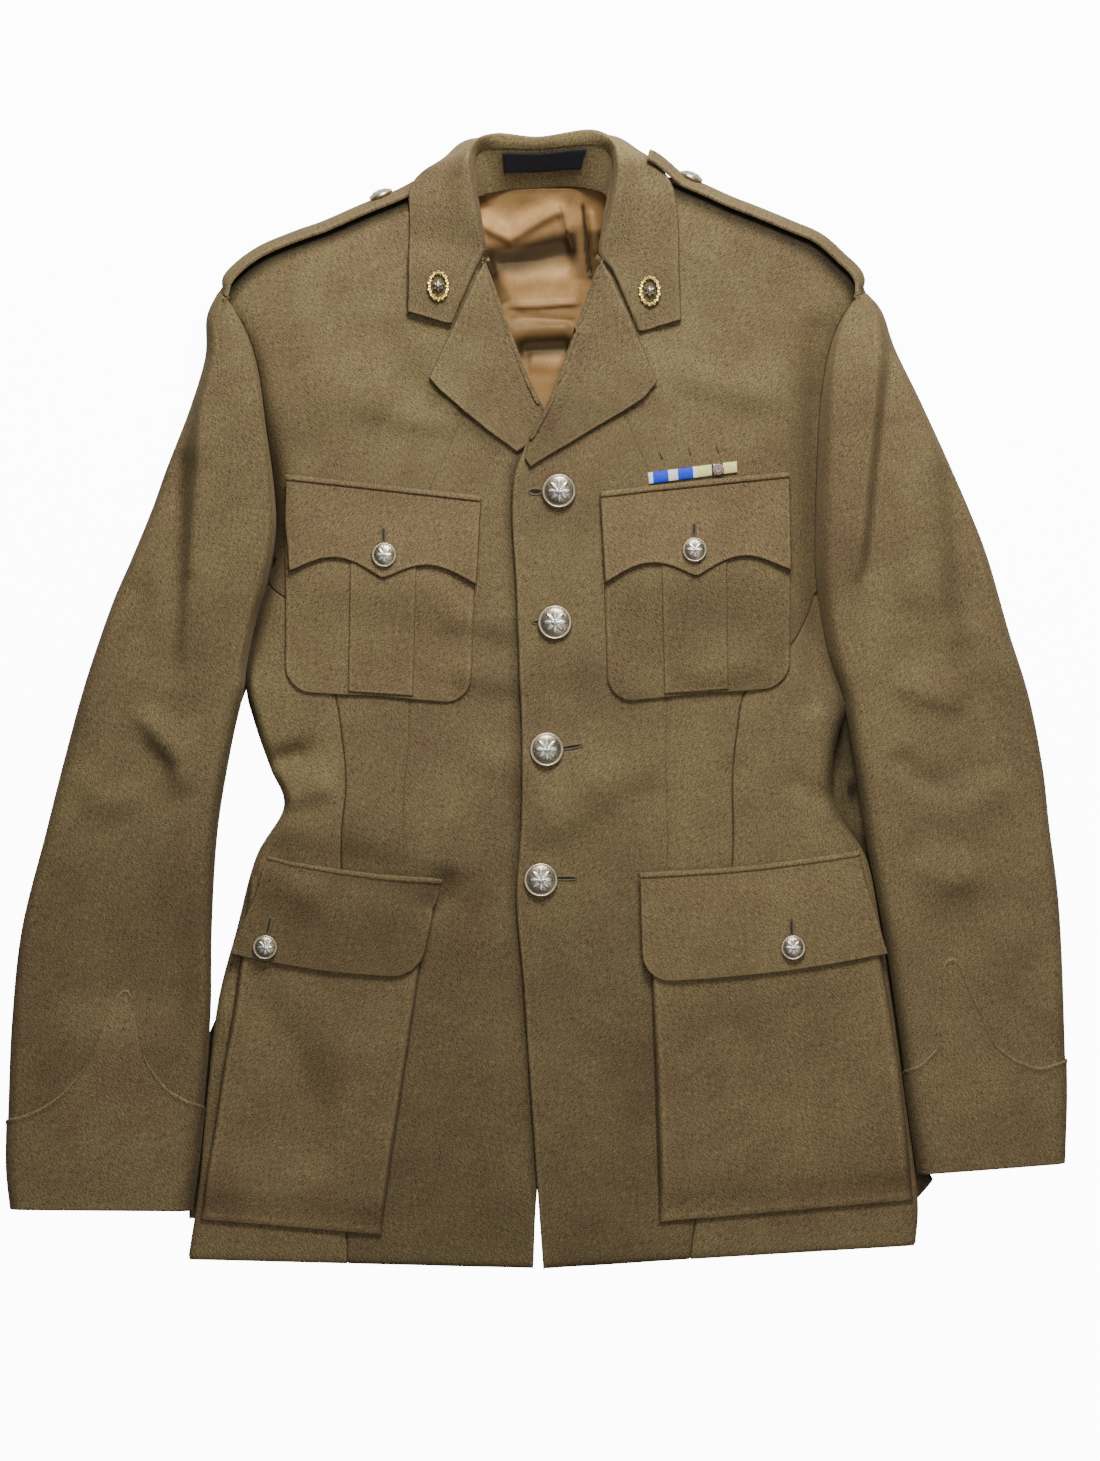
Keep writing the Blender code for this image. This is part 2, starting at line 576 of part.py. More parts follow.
def cloth(name, grid, thick, look=KHAKI, facing=(0, 0, 1)):
    """Shell of one piece of cloth: its outer face is the grid, thickened inwards."""
    rows, columns = grid.shape[:2]
    corner = np.arange(rows * columns).reshape(rows, columns)
    quads = np.stack([corner[:-1, :-1], corner[:-1, 1:], corner[1:, 1:], corner[1:, :-1]], -1)
    quads = quads.reshape(-1, 4)
    points = grid.reshape(-1, 3)
    diagonals = np.cross(points[quads[:, 2]] - points[quads[:, 0]],
                         points[quads[:, 3]] - points[quads[:, 1]])
    if diagonals.sum(axis=0) @ np.array(facing, float) < 0:
        quads = quads[:, ::-1]
    mesh = bpy.data.meshes.new(name)
    mesh.from_pydata((points * MM).tolist(), [], quads.tolist())
    mesh.update()
    mesh.shade_smooth()
    thing = add(name, mesh, look)
    shell = thing.modifiers.new("thickness", "SOLIDIFY")
    shell.thickness = thick * MM
    shell.offset = -1
    shell.use_even_offset = False
    return thing


def turned(name, profile, sides, place, axis, look):
    """Solid turned about its own Z from a profile that runs top to bottom, set on an axis."""
    mesh = bpy.data.meshes.new(name)
    points = [(r * MM, 0, z * MM) for r, z in profile]
    mesh.from_pydata(points, [(k, k + 1) for k in range(len(points) - 1)], [])
    thing = add(name, mesh, look)
    turn = thing.modifiers.new("turn", "SCREW")
    turn.steps = turn.render_steps = sides
    turn.use_merge_vertices = True
    turn.merge_threshold = 0.00001
    turn.use_smooth_shade = True
    up = np.array(axis, float)
    up /= np.linalg.norm(up)
    side = np.cross((0.0, 1.0, 0.0), up)
    side /= np.linalg.norm(side)
    ahead = np.cross(up, side)
    frame = [(side[k], ahead[k], up[k], place[k] * MM) for k in range(3)]
    thing.matrix_world = Matrix(frame + [(0, 0, 0, 1)])
    return thing


# ---------------------------------------------------------------- body

ROLL_ANGLES = np.radians((90, 62, 36, 14))
UNDER_TURN = np.array((0, 0.32, 0.66, 1))
LOWER_ROWS, ARMHOLE_ROWS = 10, 10
SIDE_COLUMNS = 5
BACK_COLUMNS = 9
SIDE_TIP = 1.2
# spread of a front's columns from the side seam to the front edge
FRONT_COLUMNS = (0, 0.03, 0.07, 0.12, 0.19, 0.28, 0.38, 0.5, 0.62, 0.74, 0.86, 0.95, 1.0)
# shares before and after the neck point over which the shoulder lip becomes the neck's
NECK_BLEND = (0.06, 0.1)


def half_rows(half):
    """Height shares of a half's rows; those of the armhole are shared with the sleeve."""
    below = np.linspace(0, half.armpit, LOWER_ROWS + 1)[:-1]
    return np.concatenate([below, np.linspace(half.armpit, 1, ARMHOLE_ROWS)])


def side_columns(half, v, last):
    """Row shares for the side panel: close together round the rolled edge."""
    width = np.linalg.norm(half.line(2, v) - half.line(0, v), axis=-1)[:, None]
    round_edge = SIDE_ROLL * (1 - np.sin(ROLL_ANGLES))[None, :] / width
    end = last[:, None]
    start = np.minimum(round_edge[:, -1:], end * 0.6)
    flat = start + (end - start) * np.linspace(0, 1, SIDE_COLUMNS + 1)[None, 1:]
    return np.concatenate([np.minimum(round_edge, start), flat], axis=1)


def body_panels(side, half):
    """Front and side-body panels of one half, with the front turned over the shoulder."""
    rows = half_rows(half)
    gap = SEAM / 2
    width = np.linalg.norm(half.line(2, rows) - half.line(0, rows), axis=-1)
    tip = np.argmax(rows >= half.at[SEAM_END_ROW])
    low = rows[:tip + 1]
    seam = half.seam_share(low) - gap / width[:tip + 1]
    seam[tip] = SIDE_TIP / width[tip]
    shares = side_columns(half, low, seam)
    panel = half.surface(shares, low[:, None])
    cloth(f"side_body_{side}", panel, BARATHEA)

    start = half.seam_share(rows) + gap / width
    start[tip:] = gap / width[tip:]
    start[tip] = (SIDE_TIP + SEAM) / width[tip]
    spread = np.array(FRONT_COLUMNS)
    shares = start[:, None] + (1 - start[:, None]) * spread[None, :]
    panel = half.surface(shares, rows[:, None])
    top = half.surface(shares[-1:], np.ones((1, 1)))
    lip = np.array(FRONT_LIP)
    past = np.repeat(lip[:, :1], len(spread), axis=1)
    height = top[..., 2] - lip[:, 1:]
    turned_over = half.shoulder(np.repeat(shares[-1:], len(lip), axis=0), past, height)
    cloth(f"front_{side}", np.concatenate([panel, turned_over]), BARATHEA)


def back_panel(side, half):
    """Back panel: flat on the surface, rolled up to the side seam and up to the shoulder."""
    out = OUTWARD[side]
    rows = half_rows(half)
    v = rows[:, None]
    width = np.linalg.norm(half.line(2, rows) - half.line(0, rows), axis=-1)[:, None]
    rolled = half.rolled(v)
    edge_xy = half.line(0, v)
    height = body_height(edge_xy[..., 0], edge_xy[..., 1])
    first = under_angle(height)
    angles = first + (np.pi - first) * UNDER_TURN
    in_by = SIDE_ROLL * (1 - np.sin(angles))
    edge_share = (in_by - (1 - rolled) * in_by[:, :1] + SEAM / 2) / width
    flat = edge_share[:, -1:] + (1 - edge_share[:, -1:]) * np.linspace(0, 1, BACK_COLUMNS)[None, 1:]
    shares = np.concatenate([edge_share, flat], axis=1)
    front = half.line(2, v)
    y = np.minimum(front[..., 1], NECK[side][-1][1])
    open_by = np.interp(y, *np.transpose(VENT))
    inner = np.stack([out * open_by, y], axis=-1)
    top = np.concatenate([half.edge_top, np.array(NECK[side], float)])
    xy = half.plan(shares, np.broadcast_to(v, shares.shape), top, inner)
    lifted = height / 2 * (1 + np.cos(angles)) * rolled
    z = np.concatenate([lifted, np.zeros(flat.shape)], axis=1)
    panel = np.concatenate([xy, z[..., None]], axis=-1)
    lip = np.array(BACK_LIP)
    neck_from = lengths(top)[len(half.edge_top) - 1]
    on_neck = ease(shares[-1], neck_from - NECK_BLEND[0], neck_from + NECK_BLEND[1])
    reach = 1 + (NECK_LIP[0] - 1) * on_neck
    rise = 1 + (NECK_LIP[1] - 1) * on_neck
    across = np.repeat(shares[-1:], len(lip), axis=0)
    up = half.shoulder(across, lip[:, :1] * reach, lip[:, 1:] * rise, top)
    cloth(f"back_{side}", np.concatenate([panel, up]), BARATHEA, facing=(0, 0, -1))


# ---------------------------------------------------------------- sleeves

SLEEVE_STATIONS = np.array((0, 0.35, 0.7, 1, 1.2, 1.4, 1.6, 1.8, 2, 2.33, 2.67, 3.0))
UNDER_STATIONS = np.array((0, 0.5, 1, 1.5, 2, 2.33, 2.67, 3.0))
CUFF_STATIONS = np.array((0, 0.33, 0.66, 1, 1.15, 1.3, 1.42, 1.54, 1.7, 1.85, 2, 2.33, 2.67, 3,
                          3.33))
ARM_ROWS = 9
CUFF_ROWS = 7


def sleeve_panels(side, sleeve):
    cap = np.linspace(0, CAP_SHARE, ARMHOLE_ROWS)
    cap[0] = CAP_START
    rows = np.concatenate([cap, np.linspace(CAP_SHARE, 1, ARM_ROWS + 1)[1:]])
    panel = sleeve.section(SLEEVE_STATIONS[None, :], rows[:, None])
    cloth(f"top_sleeve_{side}", panel, BARATHEA)
    panel = sleeve.under(UNDER_STATIONS[None, :], rows[:, None])
    cloth(f"under_sleeve_{side}", panel, BARATHEA, facing=(0, 0, -1))


def cuff(side, sleeve):
    """Pointed cuff over the end of the sleeve, made from the sleeve's points moved out."""
    depth, point, at, spread_in, spread_out = CUFF[side]
    share = sum(part * np.clip(CUFF_STATIONS - k, 0, 1)
                for k, part in enumerate((CUFF_EDGE, 1 - 2 * CUFF_EDGE, CUFF_EDGE)))
    spread = np.where(share < at, spread_in, spread_out)
    deep = depth + point * np.exp(-(np.abs(share - at) / spread) ** CUFF_POWER)
    along = np.linspace(0, 1, 200)
    middle = (sleeve.inner(along) + sleeve.outer(along)) / 2
    run = np.concatenate([[0], np.cumsum(np.linalg.norm(np.diff(middle, axis=0), axis=1))])
    top = np.interp(run[-1] - deep, run, along)
    down = np.linspace(0, 1, CUFF_ROWS)[:, None]
    rows = top[None, :] + (1 - top[None, :]) * down
    shell = sleeve.section(CUFF_STATIONS[None, :], rows)
    cloth(f"cuff_{side}", moved_out(shell, np.full(rows.shape, CUFF_CLEAR + POCKET_CLOTH)),
          POCKET_CLOTH)


# ---------------------------------------------------------------- pockets

def corners_to_grid(corners, s, t):
    """Bilinear plan point: s from the outer to the inner side, t from top to bottom."""
    top_outer, top_inner, low_inner, low_outer = np.array(corners, float)
    s, t = s[..., None], t[..., None]
    return ((1 - t) * ((1 - s) * top_outer + s * top_inner)
            + t * ((1 - s) * low_outer + s * low_inner))


def rounded_shares(corners, radius, rows, columns, outer=True):
    """Grid shares of a patch whose bottom corners are rounded (only the inner one if not
    outer)."""
    top_outer, top_inner, low_inner, low_outer = np.array(corners, float)
    tall = np.linalg.norm(low_inner - top_inner)
    wide = np.linalg.norm(low_inner - low_outer)
    turn = np.linspace(0, np.pi / 2, 4)
    flat = np.linspace(0, 1 - radius / tall, rows)
    t = np.concatenate([flat[:-1], 1 - radius / tall * (1 - np.sin(turn))])
    below = np.clip(t - (1 - radius / tall), 0, 1) * tall
    inset = (radius - np.sqrt(np.maximum(radius**2 - below**2, 0))) / wide
    start = inset if outer else np.zeros_like(inset)
    across = np.linspace(0, 1, columns)
    s = start[:, None] + (1 - inset - start)[:, None] * across[None, :]
    return s, np.repeat(t[:, None], columns, axis=1)


def breast_pocket(side, half):
    """Patch pocket with a box pleat, a scalloped flap, a welt and a button."""
    bag = BREAST_BAG[side]
    s, t = rounded_shares(bag, BAG_CORNER, 5, 9)
    xy = corners_to_grid(bag, s, t)
    lift = CLEAR + POCKET_CLOTH
    cloth(f"breast_pocket_{side}", half.over(xy[..., 0], xy[..., 1], lift), POCKET_CLOTH)

    pleat_s, pleat_t = np.meshgrid(np.linspace(*PLEAT, 4), np.linspace(*PLEAT_DROP, 6))
    xy = corners_to_grid(bag, pleat_s, pleat_t)
    lift = lift + SEAM + PLEAT_CLOTH
    cloth(f"pocket_pleat_{side}", half.over(xy[..., 0], xy[..., 1], lift), PLEAT_CLOTH)

    flap = BREAST_FLAP[side]
    s, down = np.meshgrid(np.linspace(0, 1, 21), np.linspace(0, 1, 4))
    tall = np.linalg.norm(np.subtract(flap[0], flap[3]))
    t = down * (1 - FLAP_SCALLOP / tall * np.abs(np.sin(2 * np.pi * s)) ** SCALLOP_POWER)
    xy = corners_to_grid(flap, s, t)
    base = CLEAR * 2 + POCKET_CLOTH * 2
    lift = base + (SEAM + PLEAT_CLOTH) * ease(t, 0.1, 0.55)
    cloth(f"breast_flap_{side}", half.over(xy[..., 0], xy[..., 1], lift), POCKET_CLOTH)
    welt(f"breast_welt_{side}", half, flap, 0.0, base + BREAST_WELT_RISE)
    x, y = BREAST_BUTTONS[side]
    set_button(f"breast_button_{side}", half, x, y, base + SEAM + PLEAT_CLOTH, SMALL_BUTTON)


def welt(name, half, flap, sag, lift):
    """Raised strip sewn along the top of a flap."""
    top_outer, top_inner, low_inner, low_outer = np.array(flap, float)
    up = (top_outer - low_outer) / np.linalg.norm(top_outer - low_outer)
    s, rise = np.meshgrid(np.linspace(0, 1, 9), (SEAM, WELT_WIDTH / 2, WELT_WIDTH))
    xy = corners_to_grid(flap, s, np.zeros_like(s)) + up * rise[..., None]
    xy[..., 1] -= sag * np.sin(np.pi * s)
    cloth(name, half.over(xy[..., 0], xy[..., 1], lift), lift - CLEAR)


def lower_pocket(side, half):
    """Bellows pocket with a gusset, a flap with one rounded corner, a welt and a button."""
    bag = LOWER_BAG[side]
    s, t = np.meshgrid((0, 0.04, 0.2, 0.36, 0.52, 0.68, 0.84, 0.955, 1),
                       (0, 0.12, 0.26, 0.42, 0.58, 0.74, 0.88, 0.975, 1))
    xy = corners_to_grid(bag, s, t)
    corner = np.array(bag, float)
    wide, tall = np.linalg.norm(corner[1] - corner[0]), np.linalg.norm(corner[2] - corner[1])
    to_edge = np.minimum(np.minimum(s * wide, (1 - s) * wide), (1 - t) * tall)
    rise = ease(to_edge, -0.2, GUSSET) * ease(t, -0.35, 0.28)
    lift = CLEAR + POCKET_CLOTH + (BAG_DEPTH - CLEAR - POCKET_CLOTH) * rise
    cloth(f"lower_pocket_{side}", half.over(xy[..., 0], xy[..., 1], lift), POCKET_CLOTH)

    flap = LOWER_FLAP[side]
    s, t = rounded_shares(flap, FLAP_CORNER, 3, 11, outer=False)
    xy = corners_to_grid(flap, s, t)
    xy[..., 1] -= FLAP_SAG * np.sin(np.pi * s)
    low, high = LOWER_FLAP_LIFT
    lift = low + (high - low) * ease(t, 0.0, 0.35)
    cloth(f"lower_flap_{side}", half.over(xy[..., 0], xy[..., 1], lift), POCKET_CLOTH)
    welt(f"lower_welt_{side}", half, flap, FLAP_SAG, low + LOWER_WELT_RISE)
    x, y = LOWER_BUTTONS[side]
    set_button(f"lower_button_{side}", half, x, y, high, SMALL_BUTTON)


# ---------------------------------------------------------------- buttons

def dome(size):
    """Profile of a domed button with a raised rim, from its top to its back."""
    across, tall, _ = size
    return [(across / 2 * r, tall * z) for r, z in DOME]


def spot_on(half, x, y, lift):
    """Point of the half moved out by lift, and the direction it faces there."""
    around = np.array([[-PROBE, 0.0, PROBE]] * 3)
    spot = half.over(x + around, y + around.T, lift)
    normal = np.cross(spot[1, 2] - spot[1, 0], spot[2, 1] - spot[0, 1])
    return spot[1, 1], normal * np.sign(normal[2])


def set_button(name, half, x, y, lift, size):
    spot, normal = spot_on(half, x, y, lift + CLEAR)
    turned(name, dome(size), size[2], spot, normal, GILT)


# ---------------------------------------------------------------- lapels and collar

def lapel(side, half):
    rows = np.array(LAPEL[side], float)
    v = np.repeat(np.linspace(0, 1, len(rows) * 2 - 1)[:, None], 5, axis=1)
    at = np.linspace(0, 1, len(rows))
    roll = through(at, rows[:, :2], v)
    outer = np.stack([np.interp(v, at, rows[:, 2]), np.interp(v, at, rows[:, 3])], axis=-1)
    share = np.broadcast_to(np.array((0, 0.1, 0.4, 0.7, 1.0)), v.shape)
    xy = roll + share[..., None] * (outer - roll)
    from_roll = np.linalg.norm(xy - roll, axis=-1)
    risen = ease(v, *LAPEL_RISES) - ease(v, *LAPEL_SETTLES)
    lift = LAPEL_CLEAR + BARATHEA + LAPEL_RISE * ease(from_roll, 0, LAPEL_EASE) * risen
    cloth(f"lapel_{side}", half.over(xy[..., 0], xy[..., 1], lift), BARATHEA)


def collar(halves):
    """Turned-down collar from gorge to gorge, and the stand inside the neck."""
    rows = np.array(COLLAR, float)
    for k, row in enumerate(rows):
        half = halves["right"] if row[0] < 0 else halves["left"]
        for start in (0, 3, 6):
            if row[start + 2] == 0:
                x, y = row[start:start + 2]
                rows[k, start + 2] = body_height(x, y) + COLLAR_LIFT - COLLAR_DROP
    at = np.arange(len(rows), dtype=float)
    fine = np.linspace(0, len(rows) - 1, COLLAR_STEPS)
    outer, crest, seam = (through(at, rows[:, k:k + 3], fine) for k in (0, 3, 6))
    middle = outer + LEAF_MIDDLE * (crest - outer)
    wide = np.linalg.norm((crest - outer)[:, :2], axis=-1) > LEAF_WIDE
    middle[:, 2] += np.where(wide, LEAF_BULGE[1], LEAF_BULGE[0])
    inside = (crest + seam) / 2
    inside[:, 2] += ROLL_BULGE
    runs = np.stack([outer, middle, crest, inside, seam])
    grid = np.moveaxis(through(LEAF_KNOTS, runs, np.array(LEAF_ACROSS)), 0, 1)
    cloth("collar_leaf", grid, BARATHEA)

    low = np.array(NECK_SEAM, float)
    first, last = STAND_ROWS
    stations = fine[(fine > first - 0.01) & (fine < last + 0.01)]
    share = (stations - first) / (last - first)
    upper = through(at, rows[:, 6:9], stations)
    lower = through(low[:, 0], low[:, 1:], share)
    down = (lower - upper) / np.linalg.norm(lower - upper, axis=-1, keepdims=True)
    upper = upper + down * (SEAM + STAND_TUCK * np.abs(2 * share - 1)[:, None])
    t = np.array((0, 0.33, 0.66, 1.0))[None, :, None]
    cloth("collar_stand", upper[:, None] * (1 - t) + lower[:, None] * t, BARATHEA)

    s, t = np.meshgrid(np.linspace(*LABEL_SPAN, 7), LABEL_RISE)
    face = through(at, rows[:, 6:9], first + s * (last - first)) * (1 - t[..., None])
    face = face + through(low[:, 0], low[:, 1:], s) * t[..., None]
    normal = np.cross(face[0, -1] - face[0, 0], face[1, 0] - face[0, 0])
    normal *= np.sign(normal[2]) / np.linalg.norm(normal)
    cloth("neck_label", face + normal * (CLEAR + SEAM + LINING_CLOTH), LINING_CLOTH, LABEL_NAVY,
          facing=normal)


def neck_lining():
    rows = np.array(LINING, float)
    y = np.linspace(rows[0, 0], rows[-1, 0], 12)
    left, right, height = (through(rows[:, 0], rows[:, k], y) for k in (1, 2, 3))
    share = np.linspace(0, 1, 9)
    x = left[:, None] + share[None, :] * (right - left)[:, None]
    ys = np.repeat(y[:, None], len(share), axis=1)
    z = height[:, None] + fold_height(x, ys, LINING_FOLDS)
    cloth("neck_lining", np.stack([x, ys, z], axis=-1), LINING_CLOTH, SATIN)


# ---------------------------------------------------------------- straps and trim

def strap(side, half):
    section = np.array(STRAP_SECTION)
    count = 13
    f = np.repeat(np.linspace(*STRAP_SPAN[side], count)[None, :], len(section), axis=0)
    past = np.repeat(section[:, :1], count, axis=1)
    height = np.repeat(section[:, 1:], count, axis=1)
    grid = half.shoulder(f, past, height)
    cloth(f"shoulder_strap_{side}", grid, STRAP_CLOTH, facing=(0, 1, 0.3))

    at = STRAP_BUTTON_AT[side] + np.array([[-0.01, 0.01]] * 2)
    past, height = np.repeat(section[[1, 3]].T[..., None], 2, axis=2)
    ends = half.shoulder(at, past, height)
    normal = np.cross(ends[0, 1] - ends[0, 0], ends[1, 0] - ends[0, 0])
    normal *= np.sign(normal[1]) / np.linalg.norm(normal)
    centre = ends.mean(axis=(0, 1)) + normal * (CLEAR + STRAP_BUTTON_GAP)
    turned(f"strap_button_{side}", dome(SMALL_BUTTON), SMALL_BUTTON[2], centre, normal, GILT)


def badge(side):
    """Gilt oval wreath with a small silver star in it, flat on the collar leaf."""
    x, y = BADGES[side]
    tilt = BADGE_TILT * OUTWARD[side]
    z = body_height(x, y) + COLLAR_LIFT - BADGE_SINK + CLEAR
    loop = np.arange(2 * WREATH_LEAVES) * np.pi / WREATH_LEAVES
    out, rise = np.transpose(WREATH_SECTION)
    wave = 1 + WREATH_WAVE * np.cos(WREATH_LEAVES * loop)[:, None]
    ring_x = (WREATH_HALF[0] * wave - WREATH_BAND * (1 - out)) * np.sin(loop)[:, None]
    ring_y = (WREATH_HALF[1] * wave - WREATH_BAND * (1 - out)) * np.cos(loop)[:, None]
    ring_z = z + rise * BADGE_THICK + tilt * ring_x
    ring_solid(f"badge_wreath_{side}", np.stack([x + ring_x, y + ring_y, ring_z], axis=-1), GILT)

    count = 2 * STAR_POINTS
    turn = np.arange(count) * np.pi / STAR_POINTS
    radius = np.where(np.arange(count) % 2, STAR_WAIST, 1.0) * STAR_RADIUS
    outline = np.stack([radius * np.sin(turn), radius * np.cos(turn)], axis=-1)
    slope = tilt * outline[:, :1]
    back, edge, middle = (z + height for height in STAR_HEIGHTS)
    base = np.concatenate([outline + (x, y), back + slope], axis=1)
    top = np.concatenate([outline + (x, y), edge + slope], axis=1)
    points = np.concatenate([base, top, [[x, y, back], [x, y, middle]]])
    faces = []
    for k in range(count):
        m = (k + 1) % count
        faces += [(k, count + k, count + m, m), (2 * count, k, m),
                  (2 * count + 1, count + m, count + k)]
    mesh = bpy.data.meshes.new(f"badge_star_{side}")
    mesh.from_pydata((points * MM).tolist(), [], faces)
    add(f"badge_star_{side}", mesh, SILVER)


def ring_solid(name, points, look):
    """Closed ring lofted from one closed section to the next."""
    count, around = points.shape[:2]
    corner = np.arange(count * around).reshape(count, around)
    ahead = np.roll(corner, -1, axis=0)
    beside = np.roll(corner, -1, axis=1)
    both = np.roll(ahead, -1, axis=1)
    quads = np.stack([corner, ahead, both, beside], axis=-1).reshape(-1, 4)
    mesh = bpy.data.meshes.new(name)
    mesh.from_pydata((points.reshape(-1, 3) * MM).tolist(), [], quads.tolist())
    add(name, mesh, look)


def ribbons(half):
    """Two medal ribbons side by side on one bar, with a rosette on the outer one."""
    spans = {"ribbon_inner": (0, RIBBON_SPLIT - RIBBON_GAP, RIBBON_BLUE),
             "ribbon_outer": (RIBBON_SPLIT + RIBBON_GAP, 1, RIBBON_SAND)}
    for name, (start, end, look) in spans.items():
        s, t = np.meshgrid(np.linspace(start, end, 7), np.linspace(0, 1, 3))
        xy = corners_to_grid(RIBBON_BAR, s, t)
        cloth(name, half.over(xy[..., 0], xy[..., 1], CLEAR + RIBBON_THICK), RIBBON_THICK, look)
    x, y, radius = ROSETTE
    spot, _ = spot_on(half, x, y, 2 * CLEAR + RIBBON_THICK)
    profile = [(radius * r, z) for r, z in ROSETTE_PROFILE]
    turned("ribbon_rosette", profile, SMALL_BUTTON[2], spot, (0, 0, 1), ROSETTE_SILK)


def main():
    halves = {side: Half(side) for side in SIDES}
    for side, half in halves.items():
        sleeve = Sleeve(side, half)
        body_panels(side, half)
        back_panel(side, half)
        sleeve_panels(side, sleeve)
        cuff(side, sleeve)
        breast_pocket(side, half)
        lower_pocket(side, half)
        lapel(side, half)
        strap(side, half)
        badge(side)
    collar(halves)
    neck_lining()
    ribbons(halves["left"])
    for k, (x, y) in enumerate(FRONT_BUTTONS, start=1):
        set_button(f"front_button_{k}", halves["left"], x, y, 0.0, BIG_BUTTON)


MODEL = start_scene()
main()
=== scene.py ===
"""Looks of a military dress tunic, laid flat on its back with its fronts buttoned.

Every piece of cloth is a surface over the same plan rows as its solid, in millimetres, with
the folds, grooves and rolled edges worked in, and is then given its thickness.  The frame is
the solids': +X to the wearer's left, +Y towards the collar, +Z up off the surface.
"""

import bpy
import numpy as np
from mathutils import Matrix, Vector
from numpy.linalg import norm


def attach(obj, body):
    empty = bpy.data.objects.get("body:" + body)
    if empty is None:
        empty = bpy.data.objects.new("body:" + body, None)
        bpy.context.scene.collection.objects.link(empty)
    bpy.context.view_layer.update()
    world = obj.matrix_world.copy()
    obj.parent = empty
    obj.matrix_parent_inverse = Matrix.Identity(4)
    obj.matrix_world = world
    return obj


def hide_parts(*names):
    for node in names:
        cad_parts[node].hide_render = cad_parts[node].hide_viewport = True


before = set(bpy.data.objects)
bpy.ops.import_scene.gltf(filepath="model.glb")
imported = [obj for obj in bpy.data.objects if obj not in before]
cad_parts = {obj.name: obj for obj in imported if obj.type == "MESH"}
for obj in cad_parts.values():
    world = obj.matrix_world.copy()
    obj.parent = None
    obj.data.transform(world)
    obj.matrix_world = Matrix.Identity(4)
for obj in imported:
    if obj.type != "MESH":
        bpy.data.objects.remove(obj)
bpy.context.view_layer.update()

MM = 0.001

# cloth
BARATHEA = 2.2
POCKET_CLOTH = 1.5
LINING_CLOTH = 1.0
SEAM = 0.4
CLEAR = 0.65

# rolled edges and the thick padded shoulder
UNDER_GAP = 2.1
SIDE_ROLL = 8.0
SLEEVE_ROLL = 9.0
SHOULDER_TOP = 37.0
SHOULDER_EASE = 11.0
OVERLAP_FULL, OVERLAP_END = 48.0, 92.0
# how far below and above the armpit the rolled edge turns into the armhole seam
ROLL_FADE = (4.0, 36.0)
# height share from which the rows bow up to the shoulder line
BOW_FROM = 0.66

SIDES = ("right", "left")
OUTWARD = {"right": -1.0, "left": 1.0}

# Plan rows of each half, hem to shoulder: side edge or armhole x, y; side-body seam x, y;
# front edge x, y.  Where the seam has run into the armhole the two are the same point.
BODY = {
    "right": ((-251, -401, -136, -407, -3, -407), (-243, -347, -138, -350, 0, -350),
              (-236.5, -275, -139, -275, 9, -279), (-229, -214, -141, -207, 20, -204),
              (-216, -164, -141, -150, 29, -143), (-202, -112, -141, -100, 33, -86),
              (-182, -76, -141, -55, 33, -28), (-192, -48, -141, -25, 33, 29),
              (-203, -16, -143, 0, 33, 79), (-209, 12, -154, 20, 31, 126),
              (-203, 52, -170, 46, 25, 159), (-193, 86, -193, 86, 18, 181),
              (-187, 122, -187, 122, 5, 207), (-189, 158, -189, 158, -8, 235),
              (-194, 197, -194, 197, -21, 269), (-199, 235, -199, 235, -35, 308),
              (-207, 262, -207, 262, -50, 348), (-221, 287, -221, 287, -57, 375)),
    "left": ((271.5, -391, 109, -400, 4, -407), (272.8, -354, 116, -350, 0, -350),
             (262.3, -275, 126, -275, -5, -279), (255, -222, 134, -207, -10, -204),
             (245.8, -161, 138, -150, -15, -143), (235.5, -112, 140, -103, -12, -93),
             (213, -76, 141, -55, -11, -35), (212, -45, 142, -25, -13, 25),
             (216, -24, 146, 0, -15, 79), (220, -3, 164, 18, -18, 129),
             (208, 36, 184, 40, -16, 161), (200, 83, 200, 83, -5, 189),
             (199, 122, 199, 122, 7, 212), (200, 165, 200, 165, 18, 240),
             (202, 208, 202, 208, 30, 274), (207, 244, 207, 244, 42, 308),
             (215, 269, 215, 269, 55, 344), (227, 288, 227, 288, 63, 374)),
}
ARMPIT_ROW = 9
SEAM_END_ROW = 11

# Shoulder edge in plan from the armhole to the neck point, then the back neck: x, y.
SHOULDER = {
    "right": ((-221, 287), (-213, 298), (-199, 310), (-171, 323), (-151, 330), (-121, 343),
              (-92, 355), (-74, 365), (-57, 375)),
    "left": ((227, 288), (222, 299), (211, 310), (196, 323), (180, 330), (156, 340),
             (133, 349), (113, 358), (95, 365), (63, 374)),
}
NECK = {"right": ((-47, 372), (-26, 369), (-0.3, 368)),
        "left": ((49, 374), (26, 370), (0.3, 368))}
NECK_LIP = (0.35, 0.24)

# Section over the shoulder edge: distance past the edge, drop below it (front) or height (back).
FRONT_LIP = ((1.6, 2.8), (3.6, 8.0), (6.4, 13.0))
BACK_LIP = ((3.0, 0.0), (7.6, 1.8), (9.4, 6.0), (9.7, 11.0), (9.1, 17.0), (8.0, 23.0),
            (7.1, 27.2))

# Height of the chest and skirt over the surface: y, height.
BODY_HEIGHT = ((-408, 14), (-300, 16), (-200, 18), (-100, 21), (0, 26), (100, 31), (200, 36),
               (290, 40), (380, 42))
CAMBER = 0.14
CAMBER_HALF_WIDTH = 250.0

# Lift of the upper front over the lower one: y, lift.
OVERLAP = ((-408, 2.9), (120, 2.9), (165, 5.9), (215, 5.9), (250, 2.9), (290, 0.4), (380, 0.0))

# The upper front's free edge stands off by a little more.
EDGE_LIFT, EDGE_REACH = 2.2, 9.0

